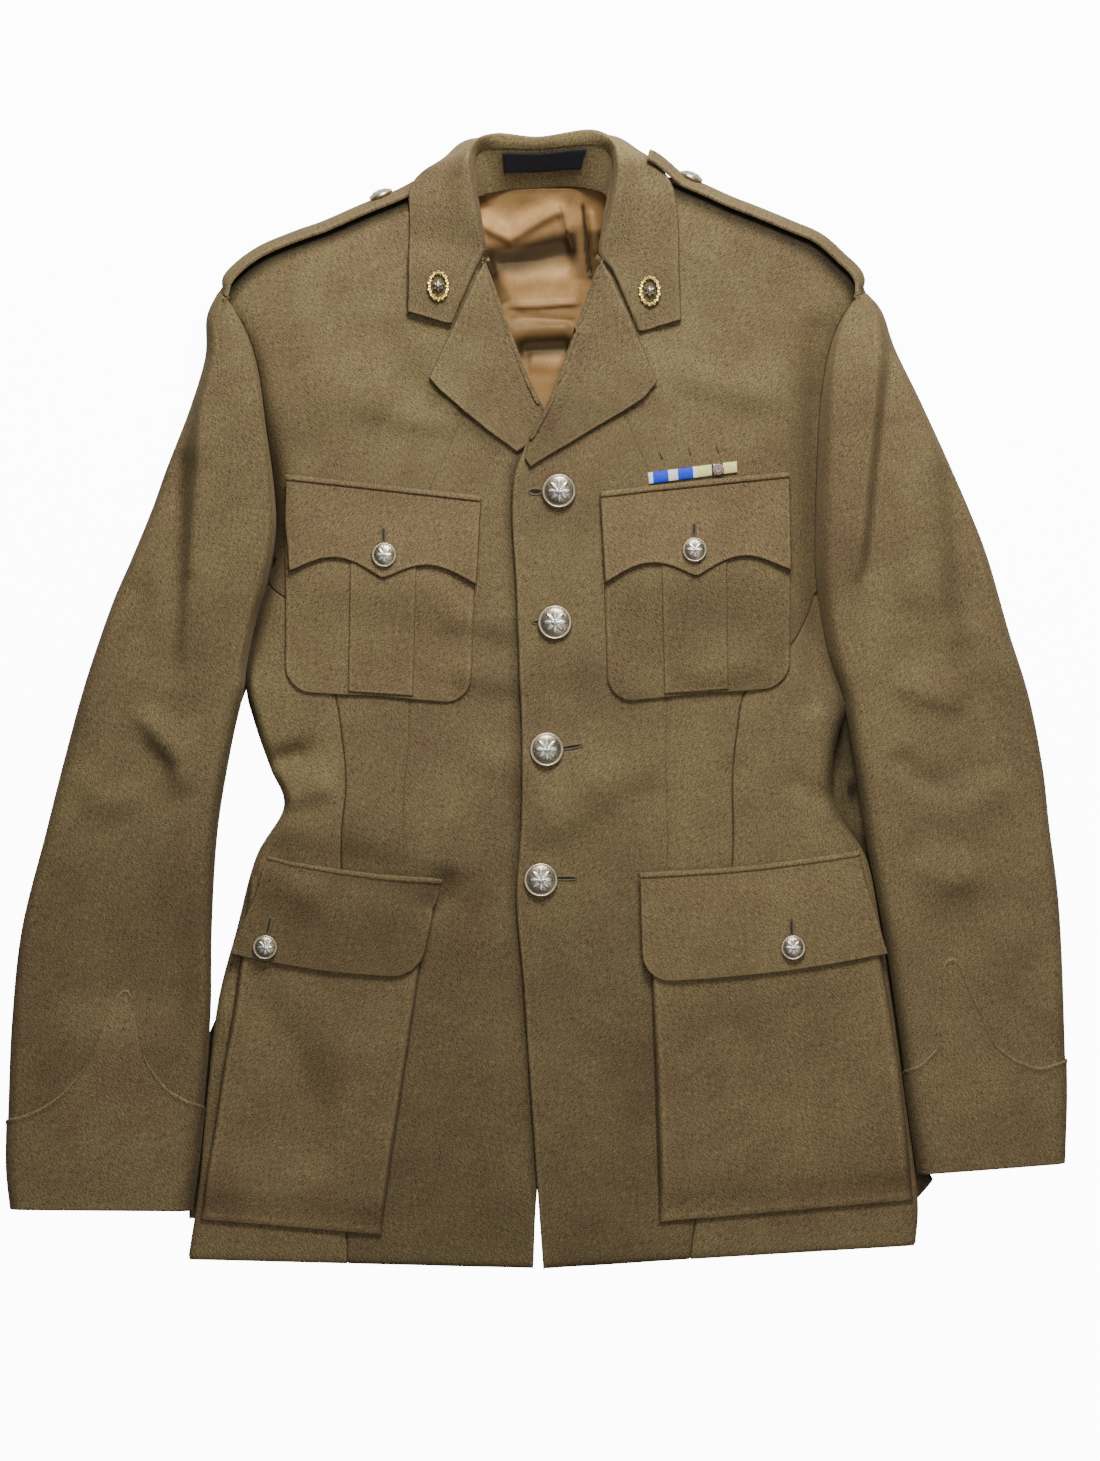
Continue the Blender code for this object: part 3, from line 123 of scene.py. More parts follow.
# Depth of the groove along each armhole: y, depth.
ARMHOLE_DIP = {"right": ((-20, 17), (90, 17), (190, 8), (290, 2.0)),
               "left": ((-20, 11), (60, 5), (160, 2.4), (290, 1.2))}
ARMHOLE_REACH = 13.0
# Shade in the fold along each armhole: y, depth of shade, width.
ARMHOLE_SHADE = {
    "right": ((-30, 0, 4), (-10, 1.3, 4), (15, 1.3, 4.6), (43, 1.2, 5.4), (72, 1.15, 6.4),
              (110, 1.1, 7.2), (160, 0.85, 6.5), (200, 0.5, 5), (235, 0.3, 5), (290, 0.15, 3)),
    "left": ((-115, 0, 7), (-90, 0.55, 8), (-50, 0.8, 8), (-15, 0.9, 11), (20, 0.8, 15),
             (60, 0.6, 18), (120, 0.45, 18), (180, 0.35, 17),
             (290, 0.4, 14))}
SHADE_POWER = {"right": 4, "left": 2}
# how fast the sleeve turns down into its seam
SLEEVE_TURN = {"right": 9.0, "left": 3.0}
# seam allowance of a sleeve under the front: in from the seam, down from it
TUCK = ((0.5, 1.4), (1.9, 2.9))
HEAD_TUCK = (3.5, 13.0)

# Half the width of the back vent: y, gap from the centre.
VENT = ((-410, 4.4), (-350, 1.6), (-290, 0.2), (400, 0.2))

# Outer edge of each sleeve cap, one point for each armhole row from the shoulder down: x, y.
CAP = {
    "right": ((-227, 293), (-237, 274), (-238, 246), (-249, 209), (-265, 168), (-277, 135),
              (-292, 99), (-305, 69), (-322, 20)),
    "left": ((235, 294), (247, 278), (256, 252), (273, 217), (292, 176), (310, 135),
             (323, 101), (338, 49), (351, 8)),
}
# The sleeve from the armpit to the cuff: inner edge x, y; outer edge x, y.
ARM = {
    "right": ((-209, 12, -322, 20), (-220, -39, -338, -37), (-229, -96, -353, -96),
              (-233, -164, -370, -164), (-233.8, -222, -377, -229), (-238, -279, -379.5, -286),
              (-243.2, -329, -380.5, -333), (-248.5, -366, -377.5, -365)),
    "left": ((220, -3, 351, 8), (228, -53, 362, -46), (235, -100, 367, -89),
             (243, -141, 373, -136), (251, -186, 376, -179), (260, -246, 378, -236),
             (266, -293, 379, -283), (273, -340, 377.5, -332)),
}
# Height of the sleeve along its length: share of the way down, height.
ARM_HEIGHT = ((0, 39), (0.12, 39), (0.3, 33), (0.5, 27), (0.75, 22), (1.0, 20))
ARM_CROWN = 0.06
CAP_SHARE = 0.46
# shares over which the cap meets the shoulder and turns into the rolled edge of the arm
CAP_START = 0.005
CAP_EASE = 0.05
ROLL_START = 0.01
REACH_SHARE, ROLL_SHARE = 0.15, 0.8
# angle round the outer edge at which the top sleeve ends; a cuff goes further under it
TOP_SLEEVE_END = np.radians(90)
CUFF_WRAP = 1.33

# Pointed cuff: share across the sleeve from its inner edge, depth up from the mouth.
CUFF_LINE = {
    "right": ((0, 71), (0.13, 80.2), (0.2, 87), (0.265, 97.8), (0.322, 111.4), (0.38, 142.8),
              (0.413, 156.5), (0.4415, 159), (0.485, 152), (0.5325, 133.9), (0.59, 111),
              (0.657, 97), (0.725, 86.3), (0.81, 77.9), (1, 68)),
    "left": ((0, 75.2), (0.171, 87.5), (0.218, 94.5), (0.255, 114.5), (0.283, 138.2),
             (0.321, 151), (0.344, 153.2), (0.405, 147.3), (0.429, 135.6), (0.491, 115.4),
             (0.55, 95.2), (0.629, 83.8), (0.7345, 75.4), (0.834, 70.9), (1, 74.5)),
}
# share of the cuff's breadth taken by each rolled edge
CUFF_EDGE = 0.07

# Largest folds: start x, y; end x, y; half width; height (a trough is negative).
FOLDS = (
    (-238, 262, -246, 95, 7, 2.5),
    (-258, 170, -285, 80, 12, -4.5),
    (198, 262, 199, 0, 10, -4.0),
    (246, 272, 228, 92, 5, 3.0),
    (253, 262, 236, 92, 5, -3.0),
    (258, 160, 262, 80, 12, 2.5),
    (300, 158, 302, 66, 12, -4.0),
    (-182, -40, -165, -34, 8, -3.0),
    (-197, -102, -176, -91, 8, 1.0),
    (205, -70, 186, -60, 9, -2.5),
    (-90, -330, -60, -400, 22, 2.0),
    (60, -330, 45, -400, 22, 1.5),
)

# Swells and hollows of the worn cloth: width to the left and to the right of a path, height,
# then the path x, y, x, y ...  They die out over this share of the path at each end.
PATH_FADE = 0.28
BODY_SWELLS = (
    # over the left hip and the waist
    (70, 22, 7.5, -214, -78, -170, -88, -120, -98, -70, -110, -20, -124),
    (30, 40, 5.0, -186, -142, -130, -136, -60, -118),
    (10, 9, -4.0, -84, -158, -70, -140, -60, -118),
    (26, 15, 5.0, -10, -96, 30, -78, 70, -52), (60, 40, 6.0, 60, -196, 150, -192, 250, -186),
    (16, 14, 2.2, -4, 46, 30, 30, 60, 12, 90, 0), (40, 24, 4.5, -196, 78, -120, 86, -30, 78),
    (36, 24, 3.0, 36, 84, 110, 86, 190, 88),
    # skirt
    (60, 34, -6.0, -262, -300, -200, -312, -130, -306),
    (16, 22, -3.6, -216, -180, -190, -230, -166, -262, -150, -310),
    (12, 30, 4.0, -40, -210, -30, -300, -14, -400), (20, 30, -3.0, 108, -220, 100, -300, 96, -395),
    (8, 12, -3.0, -222, -220, -236, -300, -246, -380),
    # armholes
    (9, 8, -6.0, -192, 220, -187, 158, -186, 122, -192, 86, -203, 52, -211, 0),
    (10, 18, -11.0, 214, 300, 208.7, 253.8, 203.7, 215, 200.8, 165, 200, 108, 203.7, 58, 213, -10),
    (16, 26, 3.5, -170, 300, -160, 240, -168, 170), (24, 16, 3.0, 176, 300, 166, 240, 170, 160),
    # waist creases
    (8, 7, -5.0, -204, -50, -184, -44, -160, -36), (11, 9, 4.0, -190, -74, -166, -66, -140, -60),
    (9, 14, 3.5, -206, -112, -186, -128, -150, -142),
    (18, 10, 3.5, -76, 62, -40, 56, -8, 50), (16, 10, 3.0, -66, 24, -26, 14, 0, 10),
    (20, 12, 3.0, -60, -36, -26, -44, 4, -56), (18, 12, 3.0, 92, 18, 130, 22, 170, 30),
    # under the lapels and over the chest
    (20, 9, 3.5, -134, 214, -90, 200, -44, 196), (12, 22, 4.0, 186, 214, 132, 224, 88, 236),
    (24, 20, 4.0, -170, 208, -130, 222, -92, 240), (18, 22, 3.0, -52, 344, -90, 300, -120, 250),
    (22, 18, 3.5, 110, 340, 136, 290, 148, 240), (20, 30, 3.0, -104, 330, -150, 296, -190, 280),
)
ARM_SWELLS = (
    # right sleeve, from the cap down
    (36, 6, 8.0, -235, 300, -236, 262, -240, 200, -243, 150, -246, 96, -250, 40, -249, -14),
    (14, 16, 3.0, -292, 60, -276, 100, -262, 150), (9, 9, -5.0, -254, 236, -254, 180, -258, 120,
                                                    -266, 60),
    (13, 7, 5.5, -292, -2, -272, -24, -258, -42, -252, -74),
    (12, 12, 1.8, -282, -60, -300, -72, -330, -74), (22, 12, 1.6, -344, -40, -310, -66, -280, -82),
    (60, 30, -9.0, -340, -196, -290, -206, -232, -212), (20, 26, -3.4, -350, -90, -352, -160, -340,
                                                         -250),
    (12, 10, 1.5, -306, 30, -280, 14, -244, 0), (16, 10, 3.0, -290, 196, -262, 186, -226, 170),
    # left sleeve
    (8, 36, 8.5, 248, 300, 244, 267, 238, 202, 234, 153, 229, 91, 226, 60),
    (18, 24, 7.0, 268, 240, 277, 194, 279, 130, 283, 72, 292, 20),
    (12, 14, -3.0, 292, 190, 300, 120, 308, 60), (12, 26, 5.0, 322, 130, 334, 60, 342, -10),
    (16, 9, 4.0, 252, 20, 276, 4, 310, -4), (10, 8, -3.6, 250, -36, 270, -54, 296, -66),
    (16, 14, 3.6, 350, -54, 322, -64, 286, -96), (18, 10, 3.4, 262, -112, 290, -128, 326, -130),
    (26, 22, -4.6, 290, -130, 312, -190, 320, -250), (14, 20, 3.0, 352, -150, 330, -190, 326, -250),
)

# Painted shade in creases, under the lapels' edges and beside the lower flaps, as a mark on the
# cloth: width to the left and right of a path, depth of shade, then the path.
BODY_SHADES = (
    (4, 9, 0.75, -86, 222, -77, 226, -44, 197, -15, 172), (3, 5, 0.45, 88, 221, 54, 200, -4, 163),
    (17, 14, 0.5, -206, -92, -150, -98, -95, -108, -60, -122),
    (13, 12, 0.3, -84, -130, -50, -139, -12, -142),
    (6, 7, 0.35, -84, -132, -70, -137, -56, -130),
    (14, 14, 0.35, -112, 238, -86, 234, -60, 212), (34, 50, 0.26, 96, 346, 150, 318, 204, 286),
    (9, 7, 0.35, 16, -78, 60, -62, 104, -60),
)
# painted shade in the sleeves' creases, listed the same way
ARM_SHADES = (
    (8, 8, 0.8, -286, -24, -268, -38, -254, -56), (16, 26, 0.35, -342, 40, -328, -10, -316, -60),
    (10, 8, 0.4, -250, -186, -242, -206, -238, -232),
    (9, 9, 0.35, 302, 112, 300, 60, 304, 20), (9, 9, 0.3, 296, -34, 318, -42, 334, -48),
)
# Painted shade on the right sleeve and the fronts, deeper towards the hem: share or y, depth of
# shade.
ARM_PAINTED_SHADE = {"right": ((0, 0.18), (0.3, 0.18), (0.5, 0.1), (0.66, 0.28), (0.8, 0.32), (1, 0.2)),
            "left": ((0, 0.0), (1, 0.0))}
FRONT_PAINTED_SHADE = ((-408, 0.36), (-190, 0.34), (-130, 0.16), (-70, 0.0), (0, 0.08), (60, 0.2),
              (110, 0.1), (190, 0.0))

# Patch pockets and flaps as four corners: top outer, top inner, bottom inner, bottom outer.
BREAST_FLAP = {"right": ((-178, 156.5), (-40, 141), (-44, 82), (-176, 92)),
               "left": ((179, 158.5), (44, 144.5), (48, 84), (179, 93))}
BREAST_BAG = {"right": ((-179, 146), (-43, 132), (-47.5, -2), (-181, 7)),
              "left": ((180, 148), (46, 134), (50, -1), (181, 10))}
LOWER_FLAP = {"right": ((-194, -116), (-71, -130), (-84, -198), (-217, -182)),
              "left": ((229.5, -112.5), (73, -128), (76, -201), (246.5, -182.5))}
LOWER_BAG = {"right": ((-204, -126), (-76, -138), (-112, -383), (-241, -372)),
             "left": ((233.5, -124), (80, -136), (87, -374), (268.5, -358))}
# how far the outer edge of each bellows pocket bows out
LOWER_BOW = {"right": 0.0, "left": 3.6}
# painted shade of each breast pocket, lower flap and lower pocket, and of the collar and the lapels
BAG_PAINTED_SHADE = {"right": 0.0, "left": 0.25}
FLAP_PAINTED_SHADE = {"right": 0.36, "left": 0.0}
LOWER_PAINTED_SHADE = {"right": 0.12, "left": 0.0}
COLLAR_PAINTED_SHADE = 0.26
LAPEL_PAINTED_SHADE = {"right": 0.06, "left": 0.2}
FLAP_SCALLOP = 12.0
SCALLOP_POWER = 1.15
FLAP_SAG = 3.0
FLAP_CORNER = 20.0
BAG_CORNER = 18.0
BAG_DEPTH = 5.2
LOWER_FLAP_LIFT = (6.6, 7.9)
LOWER_WELT_RISE = 0.2
BREAST_WELT_RISE = 0.4
WELT_WIDTH = 5.7
# box pleat: span across the bag, span down it
PLEAT = (0.34, 0.69)
PLEAT_DROP = (0.3, 0.985)
PLEAT_CLOTH = 1.0

# Lapels: roll line x, y; outer edge x, y, from the gorge down past the tip to the first button.
LAPEL = {
    "right": ((-33.5, 316, -38, 313), (-29, 305, -46, 297), (-24.5, 292, -53, 282),
              (-20, 278, -60.5, 266), (-16, 265, -69, 248), (-11.5, 254, -77.5, 230),
              (-7.5, 241, -71, 222), (-2.5, 229, -54, 207), (2, 216, -35, 192),
              (4, 203, -22, 182.5), (5, 190, -14.5, 177)),
    "left": ((42.5, 317, 46, 313), (38.5, 303, 53.5, 301), (33.5, 288, 60.5, 285),
             (28.5, 274, 66, 273.5), (24, 261.5, 71, 261), (20, 250, 78, 245),
             (15.5, 237, 85, 227), (11.5, 225, 76, 216), (6.5, 214, 58, 204),
             (1.5, 203.5, 40, 193.5), (-3.5, 195, 23, 183), (-7, 184, 7.5, 174),
             (-9.5, 172, -5.5, 166)),
}
LAPEL_EASE = 7.0
LAPEL_CLEAR = 0.8
LAPEL_RISE = 1.0
# shares down the lapel at which it rises off its roll line and settles again
LAPEL_RISES = (0, 0.2)
LAPEL_SETTLES = (0.55, 0.8)

# Collar stations from the right gorge round the back neck to the left gorge:
# outer edge x, y, z; crest of the fold x, y, z; stand seam x, y, z.
COLLAR = (
    (-92.7, 276.7, 0, -64.5, 268.6, 0, -61.3, 268.4, 0),
    (-92, 294, 0, -57, 286.6, 0, -53.6, 286.5, 0),
    (-92, 312, 0, -48.5, 305.8, 0, -45.1, 305.9, 0),
    (-91.6, 330, 43.5, -40.6, 322.5, 47, -36, 321, 45),
    (-91.6, 348, 43.5, -42.5, 343.3, 50, -38.5, 343, 43),
    (-91.5, 365, 41, -46.2, 365.5, 50, -41.5, 365, 41),
    (-84, 377, 31, -48, 387, 48.5, -42.5, 380, 37),
    (-69, 388, 17, -42, 398.5, 44.5, -38, 388.4, 34.5),
    (-48, 403.5, 7, -26, 402, 41.5, -24, 387, 35.5),
    (-1, 402.5, 3, 1, 400, 40, 1.5, 387.7, 35),
    (50, 406.5, 6, 36, 404.5, 41.5, 33, 389.5, 36),
    (74, 394, 15, 52, 398, 44.5, 47, 390, 35.5),
    (88, 382, 31, 56.5, 386, 48.5, 51, 381, 38),
    (97, 366, 41, 55.5, 365.5, 50, 50.5, 365, 41),
    (99.9, 348, 43.5, 52, 347.6, 50, 48, 347, 43),
    (101, 330, 43.5, 48, 322, 47, 43.6, 321, 45),
    (101, 312, 0, 57, 305.8, 0, 53.7, 306, 0),
    (101.7, 292, 0, 65.5, 286.6, 0, 62.4, 286.5, 0),
    (102.5, 271, 0, 75.5, 262.9, 0, 72.4, 262.7, 0),
)
COLLAR_LIFT = 6.4
COLLAR_DROP = 0.9
COLLAR_STEPS = 25
# places of outer edge, middle, crest, inside and seam over the leaf
LEAF_KNOTS = (0, 0.5, 0.86, 0.93, 1.0)
LEAF_MIDDLE = 0.55
# bulge of the leaf: where it is narrow and stands, and where it is wide and lies
LEAF_WIDE = 30.0
LEAF_BULGE = (2.0, -1.2)
ROLL_BULGE = 0.8
STAND_ROWS = (3, 15)
STAND_TUCK = 3.2
STAND_STEEP = 0.55
# Lower edge of the stand at the neck seam: share of the way round, x, y, z.
NECK_SEAM = ((0.0, -36, 321, 40), (0.17, -40, 347, 33), (0.33, -41, 361, 20),
             (0.42, -22, 366, 9.5), (0.5, 1, 367.5, 8.2), (0.58, 24, 368.5, 9.5),
             (0.67, 45, 364, 20), (0.83, 47, 347, 33), (1.0, 43, 321, 40))
NECK_CENTRE = (2.0, 345.0)
LABEL_SPAN = (0.415, 0.59)
LABEL_RISE = (0.07, 0.56)

# Lining seen in the neck: y, left x, right x, height.
LINING = ((196, -22, 30, 4.0), (235, -34, 42, 4.6), (275, -44, 54, 5.2), (315, -53, 64, 4.8),
          (345, -52, 62, 4.6), (362, -44, 52, 4.6))

# Shoulder strap section: distance past the shoulder edge, height.
STRAP_SECTION = ((12.9, 7.0), (13.7, 15.0), (13.2, 24.0), (10.4, 33.0), (5.6, 41.0))
STRAP_SPAN = {"right": (0.002, 0.90), "left": (0.002, 0.94)}
# how far and over which shares the left strap leaves the shoulder, how its outer end narrows
STRAP_STRAY = {"right": 0.0, "left": 11.0}
STRAP_STRAYS = (0.77, 0.94)
STRAP_TAPER = (0.55, 0.035)
STRAP_BUTTON_AT = {"right": 0.70, "left": 0.77}
STRAP_CLOTH = 2.4
STRAP_BUTTON_GAP = 0.3

# Buttons: diameter, height; and how far round one the slope it sits on is felt for.
BIG_BUTTON = (24.5, 6.0)
SMALL_BUTTON = (17.5, 4.8)
PROBE = 3.0
FRONT_BUTTONS = ((15.3, 149.8), (12.5, 55.8), (6.3, -34.8), (2.3, -128.2))
BREAST_BUTTONS = {"right": (-109.3, 103.5), "left": (112.0, 107.3)}
LOWER_BUTTONS = {"right": (-194.6, -176.0), "left": (182.5, -176.7)}

# Collar badges: centre x, y; half width and half height of the wreath; radius of the star.
BADGES = {"right": (-70.5, 295.0), "left": (80.0, 291.5)}
WREATH_HALF = (8.0, 11.0)
WREATH_BAND = 3.0
WREATH_WAVE = 0.04
STAR_RADIUS = 4.7
STAR_POINTS = 6
STAR_WAIST = 0.5
# heights of the star's back, edge and middle over the foot of the wreath
STAR_HEIGHTS = (0.2, 0.9, 2.2)
BADGE_THICK = 1.6
BADGE_SINK = 1.05
BADGE_TILT = 0.12

# Medal ribbons over the left breast pocket: top inner, top outer, bottom outer, bottom inner.
RIBBON_BAR = ((78.7, 162.7), (142.3, 170.8), (142.7, 163.0), (79.5, 154.7))
RIBBON_SPLIT = 0.5
RIBBON_GAP = 0.0023
RIBBON_THICK = 1.4
ROSETTE = (129.0, 165.0, 4.2)


# ---------------------------------------------------------------- curves and heights

def through(knots, values, at):
    """Cubic curve through values at the knots, each slope taken from its neighbours."""
    knots = np.asarray(knots, float)
    values = np.asarray(values, float)
    at = np.clip(np.asarray(at, float), knots[0], knots[-1])
    slopes = np.gradient(values, knots, axis=0)
    i = np.clip(np.searchsorted(knots, at, side="right") - 1, 0, len(knots) - 2)
    step = knots[i + 1] - knots[i]
    t = (at - knots[i]) / step
    spare = (1,) * (values.ndim - 1)
    t, step = t.reshape(t.shape + spare), step.reshape(step.shape + spare)
    rest = 1.0 - t
    return (values[i] * (1 + 2 * t) * rest**2 + slopes[i] * step * t * rest**2
            + values[i + 1] * (3 - 2 * t) * t**2 - slopes[i + 1] * step * t**2 * rest)


def by_column(table, at):
    """The second column of a table as a smooth function of its first."""
    rows = np.array(table, float)
    return through(rows[:, 0], rows[:, 1], at)


def straight(table, at):
    """The second column of a table by straight lines between its rows."""
    return np.interp(at, *np.transpose(table))


def run_along(table, count):
    """Rows of a table made count rows of one smooth curve."""
    rows = np.array(table, float)
    return through(np.linspace(0, 1, len(rows)), rows, np.linspace(0, 1, count))


def half_round(share, floor=0):
    """Height of a half circle over shares of its radius, not below a floor's root."""
    return np.sqrt(np.maximum(1 - share ** 2, floor))


def around_once(count):
    """Angles evenly round a circle, the first at 0."""
    return np.linspace(0, 2 * np.pi, count, endpoint=False)


def ease(value, start, end):
    """Smooth step from 0 at start to 1 at end."""
    t = np.clip((value - start) / (end - start), 0.0, 1.0)
    return t * t * (3 - 2 * t)


def bell(away, width):
    """Bell curve: 1 at no distance, down to a third at one width."""
    return np.exp(-(away / width) ** 2)


def lengths(points):
    """Share of the way along a run of points, 0 to 1."""
    steps = norm(np.diff(points, axis=0), axis=1)
    total = np.concatenate([[0.0], np.cumsum(steps)])
    return total / total[-1]


def fold_height(x, y, folds):
    """Sum of soft ridges and troughs, each along a straight run of its own."""
    total = np.zeros(np.shape(x))
    for x0, y0, x1, y1, width, height in folds:
        run = np.array([x1 - x0, y1 - y0], float)
        t = np.clip(((x - x0) * run[0] + (y - y0) * run[1]) / (run @ run), 0, 1)
        away = np.hypot(x - x0 - t * run[0], y - y0 - t * run[1])
        total = total + height * bell(away, width)
    return total


def swell_height(x, y, swells, fades=PATH_FADE, power=2):
    """Sum of uneven swells and hollows: each is a bell to either side of a path, by one width
    on its left (looking from start to end) and another on its right, and dies out towards both
    ends of the path."""
    total = np.zeros(np.shape(x))
    for on_left, on_right, height, *path in swells:
        path = np.reshape(path, (-1, 2)).astype(float)
        run = np.diff(path, axis=0)
        reach = np.pad(np.cumsum(norm(run, axis=1)), (1, 0))
        dx, dy = (np.asarray(part)[..., None] - path[:-1, k] for k, part in enumerate((x, y)))
        t = np.clip((dx * run[:, 0] + dy * run[:, 1]) / (run**2).sum(axis=1), 0, 1)
        dx, dy = dx - t * run[:, 0], dy - t * run[:, 1]
        away = np.hypot(dx, dy)
        turn = (run[:, 0] * dy - run[:, 1] * dx) / (np.diff(reach) * np.maximum(away, 0.01))
        along = (reach[:-1] + t * np.diff(reach)) / reach[-1]
        near = np.argmin(away, axis=-1)[..., None]
        away, turn, along = (np.take_along_axis(part, near, -1)[..., 0]
                             for part in (away, turn, along))
        width = (on_left + on_right) / 2 + (on_left - on_right) / 2 * turn
        fade = ease(along, 0, fades) * (1 - ease(along, 1 - fades, 1))
        total = total + height * fade * np.exp(-(away / width) ** power)
    return total


def body_height(x, y):
    """Height of the outer face of the body over the surface it lies on."""
    camber = 1 - CAMBER * (x / CAMBER_HALF_WIDTH) ** 2
    return (by_column(BODY_HEIGHT, y) * camber + fold_height(x, y, FOLDS)
            + swell_height(x, y, BODY_SWELLS))


def under_angle(height):
    """Angle round a rolled edge at which the piece below starts, just under its widest point."""
    return np.arccos(-2 * UNDER_GAP / height)


def moved_out(points, lift):
    """Grid of points moved along its own outward (upward) normals."""
    down = np.gradient(points, axis=0)
    across = np.gradient(points, axis=1)
    normal = np.cross(across, down)
    normal /= norm(normal, axis=-1, keepdims=True)
    upward = np.sign(normal[..., 2].sum())
    return points + normal * upward * np.asarray(lift)[..., None]


LOCATE_STEPS = 30
LOCATE_DAMPING = 0.7


class Half:
    """One half of the body, as a surface over its plan rows."""

    def __init__(self, side):
        self.side = side
        self.rows = np.array(BODY[side], float)
        self.at = np.linspace(0, 1, len(self.rows))
        self.armpit = self.at[ARMPIT_ROW]
        self.edge_top = np.array(SHOULDER[side], float)

    def line(self, column, v):
        """Plan point on the edge (0), side seam (1) or front edge (2) at height share v."""
        return through(self.at, self.rows[:, 2 * column:2 * column + 2], v)

    def width(self, v):
        """Length of a row from its edge to the front."""
        return norm(self.line(2, v) - self.line(0, v), axis=-1)

    def middle(self, v):
        """Plan point half way across a row."""
        return (self.line(0, v) + self.line(2, v)) / 2

    def seam_share(self, v):
        """Share of a row at which the side-body seam lies."""
        return norm(self.line(1, v) - self.line(0, v), axis=-1) / self.width(v)

    def plan(self, f, v, top=None, inner=None):
        """Plan point a share f of the way in from the edge, bowed to the shoulder line."""
        top = self.edge_top if top is None else top
        inner = self.line(2, v) if inner is None else inner
        edge = self.line(0, v)
        row = edge + f[..., None] * (inner - edge)
        chord = top[0] + f[..., None] * (top[-1] - top[0])
        bow = through(lengths(top), top, f) - chord
        return row + bow * ease(v, BOW_FROM, 1.0)[..., None]

    def rolled(self, v):
        """1 where the edge is rolled under, 0 where it is sewn into the armhole."""
        armpit = self.rows[ARMPIT_ROW, 1]
        return 1 - ease(self.line(0, v)[..., 1], armpit - ROLL_FADE[0], armpit + ROLL_FADE[1])

    def surface(self, f, v):
        """Outer face of the half at row shares f and height shares v."""
        f, v = np.broadcast_arrays(np.asarray(f, float), np.asarray(v, float))
        xy = self.plan(f, v)
        x, y = xy[..., 0], xy[..., 1]
        width = self.width(v)
        height = body_height(x, y)
        if self.side == "left":
            lap = straight(OVERLAP, y)
            height = height + lap * (1 - ease((1 - f) * width, OVERLAP_FULL, OVERLAP_END))
            height = height + EDGE_LIFT * bell((1 - f) * width, EDGE_REACH) * (lap > 2)
        d = f * width
        near = np.clip(1 - d / SIDE_ROLL, 0, 1)
        roll = height / 2 * (1 + np.sqrt(1 - near**2))
        dip = by_column(ARMHOLE_DIP[self.side], y) * np.clip(1 - d / ARMHOLE_REACH, 0, 1) ** 2
        share = self.rolled(v)
        z = share * roll + (1 - share) * (height - dip)
        to_top = norm(self.plan(f, np.ones_like(v)) - xy, axis=-1)
        near_top = np.clip(1 - to_top / SHOULDER_EASE, 0, 1) ** 2
        z = z + near_top * (SHOULDER_TOP - z)
        return np.concatenate([xy, z[..., None]], axis=-1)

    def locate(self, x, y):
        """Shares f, v of plan points, by damped Newton steps on the plan."""
        hem, neck = self.rows[[0, -1], 5]
        f = np.full(np.shape(x), 0.5)
        v = np.clip((np.asarray(y, float) - hem) / (neck - hem), 0.02, 0.98)
        small = 1e-4
        for _ in range(LOCATE_STEPS):
            here = self.plan(f, v)
            by_f = (self.plan(f + small, v) - here) / small
            by_v = (self.plan(f, v + small) - here) / small
            miss_x, miss_y = x - here[..., 0], y - here[..., 1]
            size = by_f[..., 0] * by_v[..., 1] - by_f[..., 1] * by_v[..., 0]
            step_f = (miss_x * by_v[..., 1] - miss_y * by_v[..., 0]) / size
            step_v = (miss_y * by_f[..., 0] - miss_x * by_f[..., 1]) / size
            f = np.clip(f + LOCATE_DAMPING * step_f, 0, 1)
            v = np.clip(v + LOCATE_DAMPING * step_v, 0, 0.999)
        return f, v

    def hollow_shade(self, to_armhole, y):
        """Mark of the deep fold along the armhole, 0 to 1, by distance in from the armhole."""
        deep, wide = (np.interp(y, *np.transpose(ARMHOLE_SHADE[self.side])[[0, k]]) for k in (1, 2))
        return deep * np.exp(-(to_armhole / wide) ** SHADE_POWER[self.side])

    def over(self, x, y, lift):
        """Plan points laid on the half and moved out by lift along its normals."""
        f, v = self.locate(x, y)
        small = 0.002
        by_f = self.surface(np.minimum(f + small, 1), v) - self.surface(np.maximum(f - small, 0), v)
        by_v = self.surface(f, v + small) - self.surface(f, v - small)
        normal = np.cross(by_f, by_v)
        normal *= np.sign(normal[..., 2:]) / norm(normal, axis=-1, keepdims=True)
        lift = np.broadcast_to(lift, np.shape(x))
        return self.surface(f, v) + normal * lift[..., None]

    def shoulder(self, f, past, height, top=None):
        """Points past the shoulder edge: a row for each distance and height."""
        top = self.edge_top if top is None else top
        along = lengths(top)
        small = 0.01
        here = through(along, top, f)
        run = through(along, top, f + small) - through(along, top, f - small)
        away = np.stack([-run[..., 1], run[..., 0]], axis=-1)
        away /= norm(away, axis=-1, keepdims=True)
        away *= np.sign(away[..., 1:2])
        xy = here + away * past[..., None]
        return np.concatenate([xy, height[..., None]], axis=-1)


def spread(s, width, in_roll, out_roll, angle_in, angle_out):
    """Distance across a sleeve at station s: round the inner roll, flat, round the outer."""
    flat = in_roll + np.clip(s - 1, 0, 1) * (width - in_roll - out_roll)
    past = np.where(s < 2, flat, width - out_roll * (1 - np.sin(angle_out)))
    return np.where(s < 1, in_roll * (1 - np.sin(angle_in)), past)


